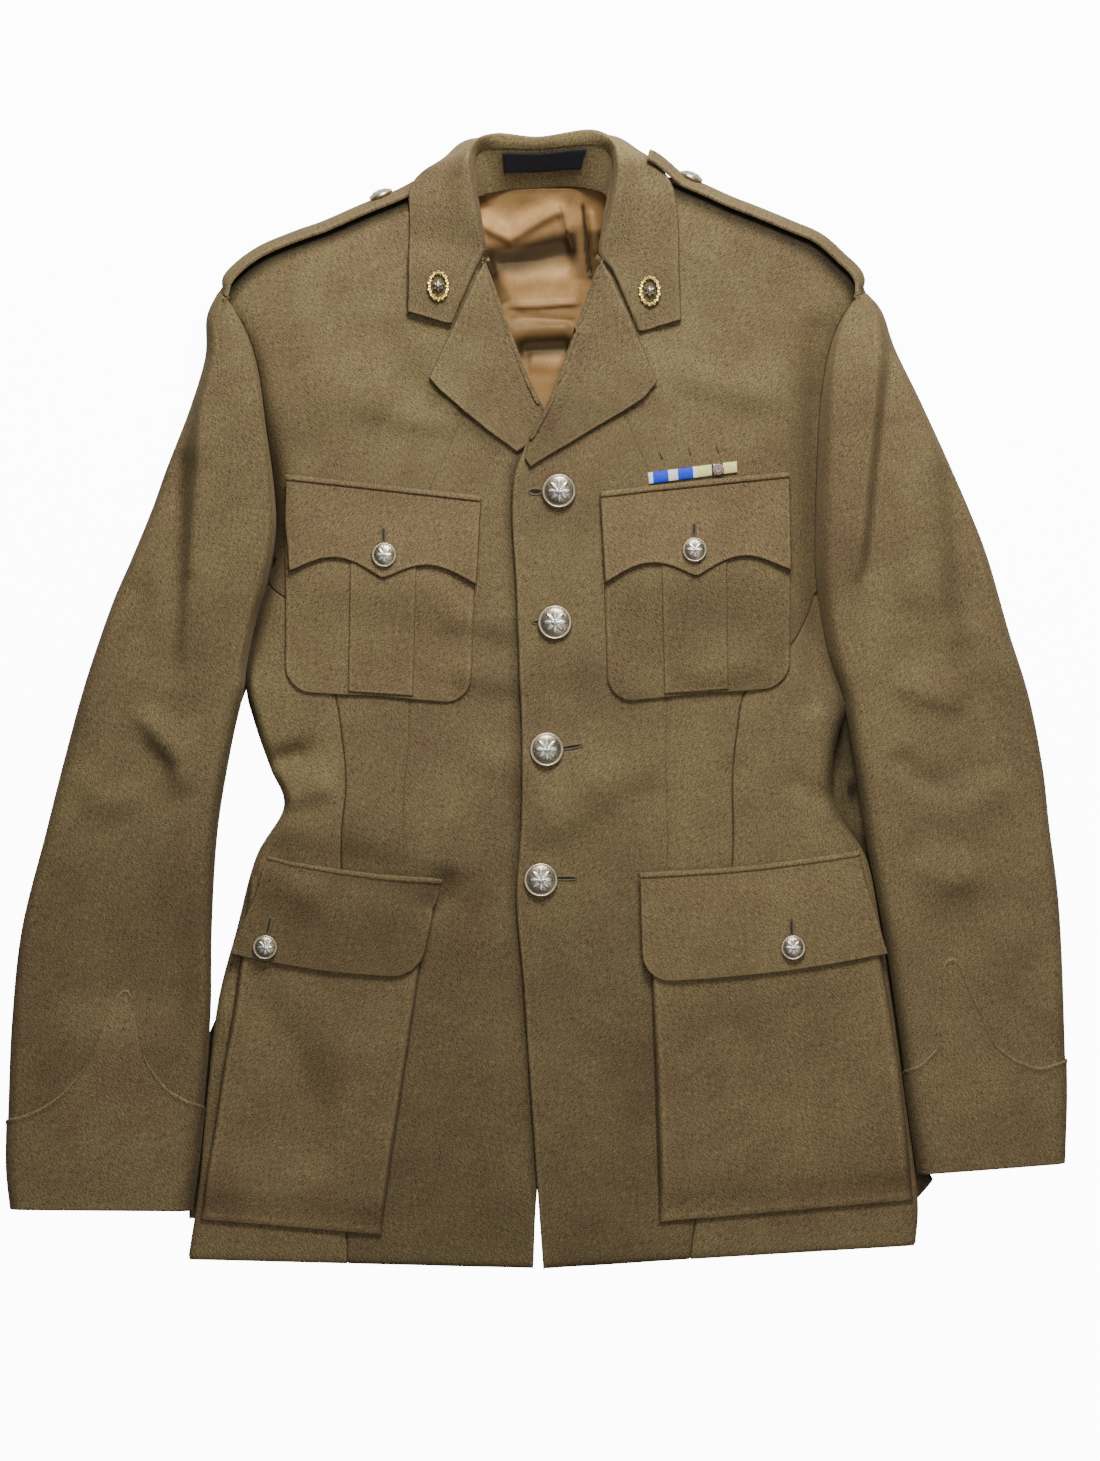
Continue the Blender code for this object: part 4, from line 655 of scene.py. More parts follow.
class Sleeve:
    """One sleeve, as a tube of plan rows from the armhole to the cuff."""

    def __init__(self, side, half):
        self.side = side
        self.half = half
        cap, arm = np.array(CAP[side], float), np.array(ARM[side], float)
        self.cap_at = np.linspace(0, CAP_SHARE, len(cap))
        self.arm_at = np.linspace(CAP_SHARE, 1, len(arm))
        self.outer_at = np.concatenate([self.cap_at, self.arm_at[1:]])
        self.outer_points = np.concatenate([cap, arm[1:, 2:]])
        self.outer_points[0] = half.shoulder(np.zeros(1), np.full(1, BACK_LIP[3][0]),
                                             np.zeros(1))[0, :2]
        self.inner_points = arm[:, :2]

    def inner(self, v):
        """Inner edge: along the armhole, then down the arm."""
        up = 1 - np.minimum(v / CAP_SHARE, 1) * (1 - self.half.armpit)
        cap = self.half.line(0, up)
        arm = through(self.arm_at, self.inner_points, v)
        return np.where((v < CAP_SHARE)[..., None], cap, arm)

    def outer(self, v):
        """Outer edge, from the shoulder down."""
        return through(self.outer_at, self.outer_points, v)

    def middle(self, v):
        """Plan point half way across the sleeve."""
        return (self.inner(v) + self.outer(v)) / 2

    def breadth(self, v):
        """Inner edge, direction and width across, 1 where the edges are rolled, and the
        radius of the inner and the outer roll."""
        inner, outer = self.inner(v), self.outer(v)
        width = norm(outer - inner, axis=-1)
        across = (outer - inner) / width[..., None]
        width = width - SEAM
        rolled = ease(v, CAP_SHARE - ROLL_START, CAP_SHARE + CAP_EASE)
        reach = np.minimum(ARMHOLE_REACH, REACH_SHARE * width)
        in_roll = rolled * SLEEVE_ROLL + (1 - rolled) * reach
        out_roll = np.minimum(SLEEVE_ROLL, ROLL_SHARE * width)
        return inner + across * SEAM, across, width, rolled, in_roll, out_roll

    def section(self, s, v):
        """Point at station s: 0 to 1 over the inner edge, 1 to 2 across, 2 to 3 round the
        outer edge to its seam, and a cuff goes on under it."""
        s, v = np.broadcast_arrays(np.asarray(s, float), np.asarray(v, float))
        inner, across, width, rolled, in_roll, out_roll = self.breadth(v)
        angle_in = np.pi / 2 * (1 - np.clip(s, 0, 1))
        angle_out = TOP_SLEEVE_END * np.clip(s - 2, 0, CUFF_WRAP)
        t = np.clip(s - 1, 0, 1)
        d = spread(s, width, in_roll, out_roll, angle_in, angle_out)
        xy = inner + across * d[..., None]
        crown = by_column(ARM_HEIGHT, v) * (1 + ARM_CROWN * np.sin(np.pi * t))
        creases = fold_height(xy[..., 0], xy[..., 1], FOLDS)
        creases = creases + swell_height(xy[..., 0], xy[..., 1], ARM_SWELLS)
        creases = creases * np.clip(3 - s, 0, 1)
        height = crown + creases
        seam = body_height(inner[..., 0], inner[..., 1]) - by_column(
            ARMHOLE_DIP[self.side], inner[..., 1])
        seam = seam + (SHOULDER_TOP - seam) * (1 - ease(v, 0, CAP_EASE))
        blend = np.clip(1 - d / np.maximum(in_roll, 0.1), 0, 1) ** SLEEVE_TURN[self.side]
        sewn = height + (seam - height) * blend
        turned = height / 2 * (1 + np.cos(angle_in))
        z = np.where(s < 1, rolled * turned + (1 - rolled) * sewn, height)
        z = np.where(s > 2, height / 2 * (1 + np.cos(angle_out)), z)
        return np.concatenate([xy, z[..., None]], axis=-1)

    def under(self, s, v):
        """Underside: s 0 to 1 round the inner edge, 1 to 2 flat, 2 to 3 up to the outer seam."""
        s, v = np.broadcast_arrays(np.asarray(s, float), np.asarray(v, float))
        inner, across, width, rolled, in_roll, out_roll = self.breadth(v)
        height = by_column(ARM_HEIGHT, v)
        first = under_angle(height)
        angle_in = first + (np.pi - first) * np.clip(s, 0, 1)
        angle_out = np.pi - (np.pi - first) * np.clip(s - 2, 0, 1)
        tuck = (1 - rolled) * in_roll * (1 - np.sin(first)) * np.clip(1 - s, 0, 1)
        d = spread(s, width, in_roll, out_roll, angle_in, angle_out) - tuck * (s < 1)
        xy = inner + across * d[..., None]
        z = np.where(s < 1, rolled * height / 2 * (1 + np.cos(angle_in)), 0.0)
        z = np.where(s > 2, height / 2 * (1 + np.cos(angle_out)), z)
        return np.concatenate([xy, z[..., None]], axis=-1)


# ---------------------------------------------------------------- finishes

class Web:
    """A node tree being filled: add() makes a node, sets it up and joins its inputs."""

    def __init__(self, tree):
        self.tree = tree

    def add(self, kind, inputs=None, **settings):
        node = self.tree.nodes.new(f"ShaderNode{kind}")
        for key, value in settings.items():
            setattr(node, key, value)
        self.set_inputs(node, inputs or {})
        return node

    def set_inputs(self, node, inputs):
        """Join or set each input of a node by its name or number."""
        for key, value in inputs.items():
            if isinstance(value, bpy.types.NodeSocket):
                self.tree.links.new(value, node.inputs[key])
            else:
                node.inputs[key].default_value = value

    def math(self, operation, first, second=0.0, third=0.0):
        node = self.add("Math", {0: first, 1: second, 2: third}, operation=operation)
        return node.outputs[0]

    def noise(self, vector, scale, detail=2.0, rough=0.5, distortion=0.0):
        return self.add("TexNoise", {"Vector": vector, "Scale": scale, "Detail": detail,
                                     "Roughness": rough, "Distortion": distortion}).outputs[0]

    def ranged(self, value, low, high, to_low=0.0, to_high=1.0):
        return self.add("MapRange", {0: value, 1: low, 2: high, 3: to_low, 4: to_high}).outputs[0]

    def mix(self, share, first, second):
        first, second = ((*c, 1) if isinstance(c, tuple) else c for c in (first, second))
        return self.add("Mix", {0: share, 6: first, 7: second}, data_type="RGBA").outputs[2]

    def ramp(self, value, stops, steps=False):
        node = self.add("ValToRGB", {0: value})
        ramp = node.color_ramp
        ramp.interpolation = "CONSTANT" if steps else "LINEAR"
        while len(ramp.elements) < len(stops):
            ramp.elements.new(0.5)
        for element, (place, colour) in zip(ramp.elements, stops):
            element.position = place
            element.color = (*colour, 1)
        return node.outputs[0]

    def attribute(self, name):
        return self.add("Attribute", attribute_name=name).outputs["Fac"]

    def cloth_uv(self):
        """Metres across and down the cloth, from the piece's own map."""
        return self.add("UVMap", uv_map="cloth").outputs[0]

    def place(self):
        return self.add("TexCoord").outputs["Object"]

    def split(self, vector):
        return self.add("SeparateXYZ", {0: vector}).outputs

    def about(self, value, factor, middle):
        """A value about a half, made factor times as strong about another middle."""
        return self.math("MULTIPLY_ADD", self.math("SUBTRACT", value, 0.5), factor, middle)

    def scaled(self, colour, share):
        return self.add("VectorMath", {0: colour, 3: share}, operation="SCALE").outputs[0]

    def bump(self, strength, distance, height):
        return self.add("Bump", {"Strength": strength, "Distance": distance,
                                 "Height": height}).outputs[0]


def node_group(name, inputs, outputs, fill):
    """Shader node group: inputs and outputs as name and kind, filled by fill(web, ins)."""
    tree = bpy.data.node_groups.new(name, "ShaderNodeTree")
    for label, kind, value in inputs:
        socket = tree.interface.new_socket(label, in_out="INPUT", socket_type=f"NodeSocket{kind}")
        if value is not None:
            socket.default_value = value
    for label, kind in outputs:
        tree.interface.new_socket(label, in_out="OUTPUT", socket_type=f"NodeSocket{kind}")
    web = Web(tree)
    start = tree.nodes.new("NodeGroupInput")
    end = tree.nodes.new("NodeGroupOutput")
    made = fill(web, start.outputs)
    for label, _ in outputs:
        tree.links.new(made[label], end.inputs[label])
    return tree


def placed(web, tree, inputs):
    """Outputs of a node group set into a material with its own inputs."""
    node = web.tree.nodes.new("ShaderNodeGroup")
    node.node_tree = tree
    web.set_inputs(node, inputs)
    return node.outputs


# twill: ribs to a metre, slant to the thread, depth in metres
RIBS_PER_METRE = 900.0
TWILL_SLANT = 0.7
TWILL_DEEP = 0.00028


def fill_weave(web, ins):
    """Broken diagonal rib: noise drawn out along the slant, crossed by finer threads drawn out
    the other way, with fibre fuzz and single light and dark fibres over them."""
    grid = web.scaled(ins["Vector"], ins["Per metre"])
    split = web.split(grid)
    across = web.math("MULTIPLY_ADD", split[1], ins["Slant"], split[0])
    along = web.math("MULTIPLY_ADD", split[0], -TWILL_SLANT, split[1])
    ribs = web.add("CombineXYZ", {0: across, 1: web.math("MULTIPLY", along, 0.22)}).outputs[0]
    threads = web.add("CombineXYZ", {0: web.math("MULTIPLY", across, 0.4),
                                     1: web.math("MULTIPLY", along, 1.5)}).outputs[0]
    rib = web.math("SUBTRACT", web.noise(ribs, 1.0, 1.0, 0.5), 0.5)
    thread = web.math("SUBTRACT", web.noise(threads, 1.0, 1.0, 0.5), 0.5)
    fuzz = web.math("SUBTRACT", web.noise(grid, 1.9, 2.0, 0.65), 0.5)
    height = web.math("MULTIPLY_ADD", rib, 1.3, 0.5)
    height = web.math("MULTIPLY_ADD", thread, 0.8, height)
    height = web.math("MULTIPLY_ADD", fuzz, 0.8, height)
    fleck = web.ranged(web.noise(grid, 1.15, 1.5, 0.6), 0.26, 0.74)
    return {"Height": height, "Fleck": fleck}


def fill_mottle(web, ins):
    """Uneven dye and wear: broad and middling patches as one value about a half."""
    broad = web.noise(ins["Vector"], 13.0, 3.0, 0.55)
    middling = web.noise(ins["Vector"], 42.0, 3.0, 0.6)
    return {"Patch": web.about(middling, 0.9, web.about(broad, 1.3, 0.5))}


def make_material(name):
    """Empty material with its web of nodes and its shader."""
    made = bpy.data.materials.new(name)
    made.use_nodes = True
    made.node_tree.nodes.clear()
    web = Web(made.node_tree)
    shader = made.node_tree.nodes.new("ShaderNodeBsdfPrincipled")
    out = made.node_tree.nodes.new("ShaderNodeOutputMaterial")
    made.node_tree.links.new(shader.outputs[0], out.inputs[0])
    return made, web, shader


def fed(web, shader, **inputs):
    """Set the shader's sockets, named with underscores for spaces."""
    web.set_inputs(shader, {key.replace("_", " "): value for key, value in inputs.items()})


def wool(name, light, dark):
    """Worsted wool: dyed patches, flecked diagonal ribs, darker seams with painted shade, and
    polished edges with a painted highlight.
    """
    made, web, shader = make_material(name)
    cloth_uv = web.cloth_uv()
    place = web.place()
    woven = placed(web, WEAVE, {"Vector": cloth_uv, "Per metre": RIBS_PER_METRE,
                                "Slant": TWILL_SLANT})
    patch = placed(web, MOTTLE, {"Vector": place})["Patch"]
    base = web.mix(web.ranged(patch, 0.2, 0.8), dark, light)
    grain = web.about(woven["Fleck"], 1.25, web.about(woven["Height"], 1.1, 1.0))
    # seam mark: dark seam lines, and painted shade in folds, hollows, under edges and towards the
    # hem
    seam = web.ranged(web.attribute("seam"), 0.0, 1.55, 1.0, 0.1)
    # edge mark: polished pressed edges, lightened as a painted highlight
    edge = web.ranged(web.attribute("edge"), 0.0, 2.5, 1.0, 1.4)
    shade = web.math("MULTIPLY", web.math("MULTIPLY", grain, seam), edge)
    tone = web.scaled(base, shade)
    bump = web.bump(0.55, TWILL_DEEP, woven["Height"])
    fed(web, shader, Base_Color=tone, Roughness=web.ranged(woven["Height"], 0.2, 0.9, 0.95, 0.78),
        Normal=bump, Sheen_Weight=0.2, Sheen_Roughness=0.4,
        Sheen_Tint=(0.55, 0.43, 0.26, 1), Specular_IOR_Level=0.25)
    return made


def satin():
    """Golden tan satin: fine lengthwise threads, painted bright where it turns to the light and
    dark where it turns away.
    """
    made, web, shader = make_material("satin_lining")
    cloth_uv = web.cloth_uv()
    place = web.place()
    thread = web.add("Mapping", {"Vector": cloth_uv, "Scale": (2600, 260, 1)}).outputs[0]
    fine = web.noise(thread, 1.0, 2.0, 0.6)
    patch = web.noise(place, 55.0, 3.0, 0.6)
    tone = web.mix(web.ranged(patch, 0.3, 0.7), (0.31, 0.172, 0.066), (0.46, 0.27, 0.112))
    shade = web.ranged(fine, 0.3, 0.7, 0.86, 1.1)
    # painted shade where the seam mark is above 0, painted reflection where it is below 0
    shade = web.math("MULTIPLY", shade, web.ranged(web.attribute("seam"), -1.0, 1.0, 1.6, 0.08))
    tone = web.scaled(tone, shade)
    bump = web.bump(0.3, 0.0001, fine)
    fed(web, shader, Base_Color=tone, Roughness=web.ranged(fine, 0.3, 0.7, 0.5, 0.38),
        Normal=bump, Specular_IOR_Level=0.22,
        Specular_Tint=(1.0, 0.8, 0.5, 1))
    return made


def metal(name, low, high, dull, rough):
    """Pressed metal: bright on the raised parts, dull and darker in the hollows."""
    made, web, shader = make_material(name)
    place = web.place()
    raised = web.attribute("raised")
    spots = web.noise(place, 900.0, 3.0, 0.6)
    worth = web.about(spots, 0.5, raised)
    tone = web.ramp(worth, ((0.0, dull), (0.22, low), (0.6, high)))
    fine = web.noise(place, 2600.0, 2.0, 0.5)
    bump = web.bump(0.25, 0.0001, fine)
    fed(web, shader, Base_Color=tone, Metallic=1.0,
        Roughness=web.ranged(spots, 0.3, 0.7, rough - 0.07, rough + 0.1),
        Normal=bump)
    return made


# spacing of a ribbon's ribs, in metres
RIB = 0.0005


def ribbon(name, stops):
    """Watered ribbon: stripes along it, fine ribs across it."""
    made, web, shader = make_material(name)
    cloth_uv = web.cloth_uv()
    tone = web.ramp(web.attribute("stripe"), stops, steps=True)
    rib = web.math("SINE", web.math("MULTIPLY", web.split(cloth_uv)[1], 2 * np.pi / RIB))
    water = web.noise(cloth_uv, 260.0, 3.0, 0.6, 1.5)
    shade = web.math("MULTIPLY_ADD", rib, 0.09, web.ranged(water, 0.3, 0.7, 0.94, 1.2))
    tone = web.scaled(tone, shade)
    bump = web.bump(0.4, 0.0001, rib)
    fed(web, shader, Base_Color=tone, Roughness=web.ranged(water, 0.3, 0.7, 0.62, 0.5),
        Normal=bump)
    return made


def plain_cloth(name, low, high, thread, rough=0.8):
    """Small cloth or thread: fine strands along its own length, darker where marked."""
    made, web, shader = make_material(name)
    cloth_uv = web.cloth_uv()
    split = web.split(cloth_uv)
    twist = web.math("MULTIPLY_ADD", split[1], 0.6, split[0])
    strand = web.math("SINE", web.math("MULTIPLY", twist, 2 * np.pi / thread))
    loose = web.noise(cloth_uv, 900.0, 3.0, 0.6)
    share = web.math("MULTIPLY_ADD", strand, 0.25, loose)
    tone = web.mix(share, low, high)
    seam = web.ranged(web.attribute("seam"), 0.0, 1.0, 1.0, 0.3)
    tone = web.scaled(tone, seam)
    bump = web.bump(0.5, 0.0002, strand)
    fed(web, shader, Base_Color=tone, Roughness=web.ranged(loose, 0.3, 0.7, rough, rough - 0.12),
        Normal=bump, Sheen_Weight=0.1)
    return made


def rosette_silk():
    """Gathered silk: pale and red folds with a dark eye and a dark rim."""
    made, web, shader = make_material("rosette_silk")
    share = web.attribute("raised")
    place = web.place()
    tone = web.ramp(share, ((0.0, (0.05, 0.045, 0.05)), (0.3, (0.5, 0.4, 0.38)),
                            (0.6, (0.32, 0.1, 0.09)), (0.82, (0.45, 0.38, 0.36)),
                            (0.97, (0.08, 0.075, 0.08))))
    fine = web.noise(place, 2200.0, 2.0, 0.5)
    bump = web.bump(0.3, 0.0001, fine)
    fed(web, shader, Base_Color=tone, Roughness=web.ranged(fine, 0.3, 0.7, 0.62, 0.5),
        Normal=bump)
    return made


WEAVE = node_group("barathea weave",
                   (("Vector", "Vector", None), ("Per metre", "Float", RIBS_PER_METRE),
                    ("Slant", "Float", TWILL_SLANT)),
                   (("Height", "Float"), ("Fleck", "Float")), fill_weave)
MOTTLE = node_group("cloth mottling", (("Vector", "Vector", None),), (("Patch", "Float"),),
                    fill_mottle)
WHITE, BLACK = (0.97, 0.97, 0.98), (0.02, 0.018, 0.02)
BLUE, YELLOW = (0.002, 0.048, 0.82), (0.97, 0.93, 0.33)
LOOKS = {
    "barathea": wool("barathea", (0.222, 0.17, 0.079), (0.17, 0.117, 0.06)),
    "pocket_barathea": wool("pocket_barathea", (0.228, 0.17, 0.08), (0.174, 0.119, 0.06)),
    "satin": satin(),
    "button_metal": metal("button_metal", (0.96, 0.9, 0.74), (1.0, 1.0, 0.98),
                          (0.5, 0.4, 0.25), 0.34),
    "gilt": metal("badge_gilt", (0.75, 0.48, 0.08), (0.98, 0.76, 0.22), (0.2, 0.12, 0.02), 0.3),
    "silver": metal("badge_silver", (0.6, 0.6, 0.58), (0.88, 0.88, 0.86), (0.3, 0.3, 0.28), 0.25),
    "label": plain_cloth("label_navy", (0.006, 0.007, 0.014), (0.014, 0.016, 0.032), 0.0005),
    "thread": plain_cloth("khaki_thread", (0.12, 0.088, 0.045), (0.2, 0.15, 0.08), 0.0007),
    # near-black floor of a buttonhole slit, as painted shadow
    "slit": plain_cloth("slit_painted_shadow", (0.01, 0.008, 0.005), (0.02, 0.015, 0.01), 0.0007),
    "ribbon_inner": ribbon("ribbon_blue", ((0.0, WHITE), (0.103, BLUE), (0.453, WHITE),
                                           (0.668, BLUE))),
    "ribbon_outer": ribbon("ribbon_sand", ((0.0, WHITE), (0.087, YELLOW), (0.425, BLACK),
                                           (0.467, WHITE), (0.62, BLACK), (0.68, YELLOW))),
    "rosette": rosette_silk(),
}


# ---------------------------------------------------------------- grids

# places of the close rows near an edge, and how finely a middle line is measured
NEAR = (0, 0.45, 1.0, 1.7, 2.7, 4.2, 6.4, 9.0)
MEASURE_STEPS = 600


def pinched(length, step):
    """Shares along a run: close together near both ends, and a step apart between them."""
    near = np.array(NEAR)
    if length < 3 * near[-1]:
        return np.linspace(0, 1, max(int(length / 1.5), 4))
    count = max(int((length - 2 * near[-1]) / step), 1)
    middle = np.linspace(near[-1], length - near[-1], count + 1)
    return np.concatenate([near[:-1], middle, length - near[-2::-1]]) / length


def roll_off(away, radius):
    """Drop of a folded edge: a quarter circle over the last radius before the edge."""
    near = np.clip(1 - away / radius, 0, 1)
    return radius * (1 - np.sqrt(1 - near**2))


def groove(away, sharp, soft):
    """Drop beside a seam: a narrow notch in a wide soft hollow (depths in mm)."""
    return sharp * bell(away, 0.9) + soft * bell(away, 6.0)


def measured(piece):
    """Fine height shares of a half or a sleeve, the share of its middle line's length at each,
    and that length."""
    fine = np.linspace(0, 1, MEASURE_STEPS)
    middle = piece.middle(fine)
    return fine, lengths(middle), norm(np.diff(middle, axis=0), axis=1).sum()


def even_rows(half, start, end, step):
    """Height shares of a half whose rows are a step apart, measured down its middle."""
    fine, run, tall = measured(half)
    low, high = np.interp((start, end), fine, run)
    count = max(int((high - low) * tall / step), 4)
    return np.interp(low + (high - low) * np.linspace(0, 1, count + 1), run, fine)


def run_lengths(grid):
    """Lengths along a grid's rows from its first column, and down its columns."""
    across = np.cumsum(norm(np.diff(grid, axis=1), axis=2), axis=1)
    down = np.cumsum(norm(np.diff(grid, axis=0), axis=2), axis=0)
    return np.pad(across, ((0, 0), (1, 0))), np.pad(down, ((1, 0), (0, 0)))


def cloth_map(grid):
    """Places on the cloth: lengths along each row from the middle column, and down it."""
    u, v = run_lengths(grid)
    middle = grid.shape[1] // 2
    return np.stack([u - u[:, middle:middle + 1], v], axis=-1)


def quad_area(grid):
    """Area of a grid of points."""
    one = np.cross(grid[1:, 1:] - grid[:-1, :-1], grid[1:, :-1] - grid[:-1, 1:])
    return norm(one, axis=-1).sum() / 2


def grid_faces(rows, columns, wrap=False):
    """Quads between the points of a grid, joined round from last to first column if wrapped."""
    corner = np.arange(rows * columns).reshape(rows, columns)
    if wrap:
        corner = np.concatenate([corner, corner[:, :1]], axis=1)
    quads = np.stack([corner[:-1, :-1], corner[:-1, 1:], corner[1:, 1:], corner[1:, :-1]], -1)
    return quads.reshape(-1, 4)


def faced(points, faces, facing=(0, 0, 1)):
    """Faces of a grid, turned over if as a whole they look away from the way given."""
    made = np.cross(points[faces[:, 2]] - points[faces[:, 0]],
                    points[faces[:, 3]] - points[faces[:, 1]]).sum(axis=0)
    return faces if made @ np.array(facing, float) > 0 else faces[:, ::-1]


def thickened(thing, thick, inside=0):
    """Give a sheet its thickness downwards, with another look inside if it has one."""
    shell = thing.modifiers.new("thickness", "SOLIDIFY")
    shell.thickness = thick * MM
    shell.offset = -1
    shell.material_offset = inside


def make_object(name, points, faces, look, uv=None, marks=None):
    """Mesh object at the origin, riding on the tunic's one body."""
    mesh = bpy.data.meshes.new(name)
    faces = faces if isinstance(faces, list) else faces.tolist()
    mesh.from_pydata((points * MM).tolist(), [], faces)
    if uv is not None:
        layer = mesh.uv_layers.new(name="cloth")
        corners = np.empty(len(mesh.loops), dtype=np.int32)
        mesh.loops.foreach_get("vertex_index", corners)
        layer.data.foreach_set("uv", (uv[corners] * MM).astype(np.float32).ravel())
    for mark, values in (marks or {}).items():
        layer = mesh.attributes.new(mark, "FLOAT", "POINT")
        layer.data.foreach_set("value", np.asarray(values, np.float32).ravel())
    mesh.update()
    mesh.shade_smooth()
    mesh.materials.append(LOOKS[look])
    thing = bpy.data.objects.new(name, mesh)
    bpy.context.scene.collection.objects.link(thing)
    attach(thing, "root")
    return thing


def cloth(node, grid, thick, look="barathea", facing=(0, 0, 1), inside=None, marks=None,
          edge=0.4, uv=None):
    """Shell of one piece of cloth over a grid: thickened inwards, with its edges rounded."""
    points = grid.reshape(-1, 3)
    faces = faced(points, grid_faces(*grid.shape[:2]), facing)
    across, down = run_lengths(grid)
    uv = (cloth_map(grid) if uv is None else uv).reshape(-1, 2)
    thing = make_object(node + "_cloth", points, faces, look, uv, marks)
    if inside:
        thing.data.materials.append(LOOKS[inside])
    thickened(thing, thick, 1 if inside else 0)
    round_edge = thing.modifiers.new("edges", "BEVEL")
    round_edge.width = edge * thick * MM
    round_edge.segments = 2
    round_edge.limit_method = "ANGLE"
    round_edge.angle_limit = np.radians(60)
    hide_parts(node)
    area = quad_area(grid) * MM**2


def edge_distance(grid, edges):
    """Least arc length to the named edges: first and last row, first and last column."""
    across, down = run_lengths(grid)
    ways = {"first_row": down, "last_row": down[-1:] - down,
            "first_column": across, "last_column": across[:, -1:] - across}
    return np.min([ways[edge] for edge in edges], axis=0)


ALL_EDGES = ("first_row", "last_row", "first_column", "last_column")


def folded(grid, radius, edges=ALL_EDGES):
    """Grid whose named edges are rolled down as folded cloth is, and how far in each point is."""
    away = edge_distance(grid, edges)
    return moved_out(grid, -roll_off(away, radius)), away


def wear_and_highlight(away):
    """Mark along a pressed edge, where the nap is polished, painted lighter as a highlight where it
    catches the light.
    """
    return bell(away - 2.0, 0.9)


# ---------------------------------------------------------------- body

STEP = 3.2
DART = {"right": ((-52, 206), (-60, 187), (-76, 153), (-86, 70), (-92, -2), (-95.6, -60),
                  (-96.3, -118)),
        "left": ((61, 210), (69, 187), (79, 165), (86, 80), (92.7, -2), (92.7, -118))}
DART_SPAN = (-118, 206)
# reach of the shade under the shoulder strap
TOP_SHADE = {"right": 4.8, "left": 7.5}
SIDE_REACH = 1.3
# shares before and after the neck point over which the shoulder lip becomes the neck's
NECK_BLEND = (0.06, 0.1)


def over_shoulder(half, shares, start, table, steps):
    """Rows past the shoulder edge that follow a table of distance and height change."""
    lip = run_along(table, steps + 1)[1:]
    past = np.repeat(lip[:, :1], shares.shape[1], axis=1)
    return half.shoulder(np.repeat(shares, steps, axis=0), past, start + lip[:, 1:])


def front_panel(side, half):
    """Fore part: side seam, dart and folded front edge, carried over the shoulder."""
    rows = even_rows(half, 0, 1, STEP)
    v = rows[:, None]
    width = half.width(rows)[:, None]
    seam = half.seam_share(rows)[:, None]
    seam = np.where(seam * width < 2.4, 0.0, seam) + SEAM / 2 / width
    dart_f, dart_v = half.locate(*np.transpose(DART[side]))
    at_seam = half.seam_share(dart_v)
    inward = ((dart_f - at_seam) / (1 - at_seam))[::-1]
    dart = seam + (1 - seam) * np.interp(rows, dart_v[::-1], inward)[:, None]
    outer = pinched(((dart - seam) * width).mean(), STEP)
    inner = pinched(((1 - dart) * width).mean(), STEP)
    shares = np.concatenate([seam + (dart - seam) * outer, dart + (1 - dart) * inner[1:]], axis=1)
    grid = half.surface(shares, np.broadcast_to(v, shares.shape))
    y = grid[..., 1]
    sewn = ease(y, DART_SPAN[0] - 6, DART_SPAN[0]) * (1 - ease(y, DART_SPAN[1], DART_SPAN[1] + 6))
    to_dart = np.abs(shares - dart) * width
    to_seam = (shares - seam) * width
    on_side = 1 - ease(v, half.at[SEAM_END_ROW - 1], half.at[SEAM_END_ROW])
    grid[..., 2] -= groove(to_dart, 0.4, 0.45) * sewn + groove(to_seam, 0.4, 0.4) * on_side
    grid, away = folded(grid, 1.4, ("first_row", "last_column"))
    lip = [(0.0, 0.0)] + [(past, -drop) for past, drop in FRONT_LIP]
    top = over_shoulder(half, shares[-1:], grid[-1:, :, 2], lip, 6)
    marks = 0.55 * (bell(to_dart, 0.55) * sewn
                    + bell(to_seam, 0.55) * on_side)
    to_top = norm(half.plan(shares, np.ones(shares.shape)) - grid[..., :2], axis=-1)
    hem = edge_distance(grid, ("first_row",))
    # painted shade: the armhole fold, along the hem, under the strap, in creases and under the
    # lapels, and deeper towards the hem
    shade = [half.hollow_shade(shares * width, y), 0.8 * bell(hem, 2.6),
             1.5 * bell(to_top, TOP_SHADE[side]), swell_height(grid[..., 0], y, BODY_SHADES),
             straight(FRONT_PAINTED_SHADE, y)]
    # painted shadow of the upper front's free edge on the lower front
    if side == "right":
        edge = np.array(BODY["left"], float)
        from_edge = np.interp(y, edge[:, 5], edge[:, 4]) - grid[..., 0]
        shade.append(0.85 * bell(np.maximum(from_edge, 0), 6.5))
    marks = np.maximum(marks, np.max(shade, axis=0))
    # painted shadow over the shoulder lip under the strap
    lip_shadow = np.full((6, shares.shape[1]), 1.5)
    cloth(f"front_{side}", np.concatenate([grid, top]), BARATHEA, inside="satin",
          marks={"seam": np.concatenate([marks, lip_shadow]),
                 "edge": np.concatenate([wear_and_highlight(away), 0 * lip_shadow])})


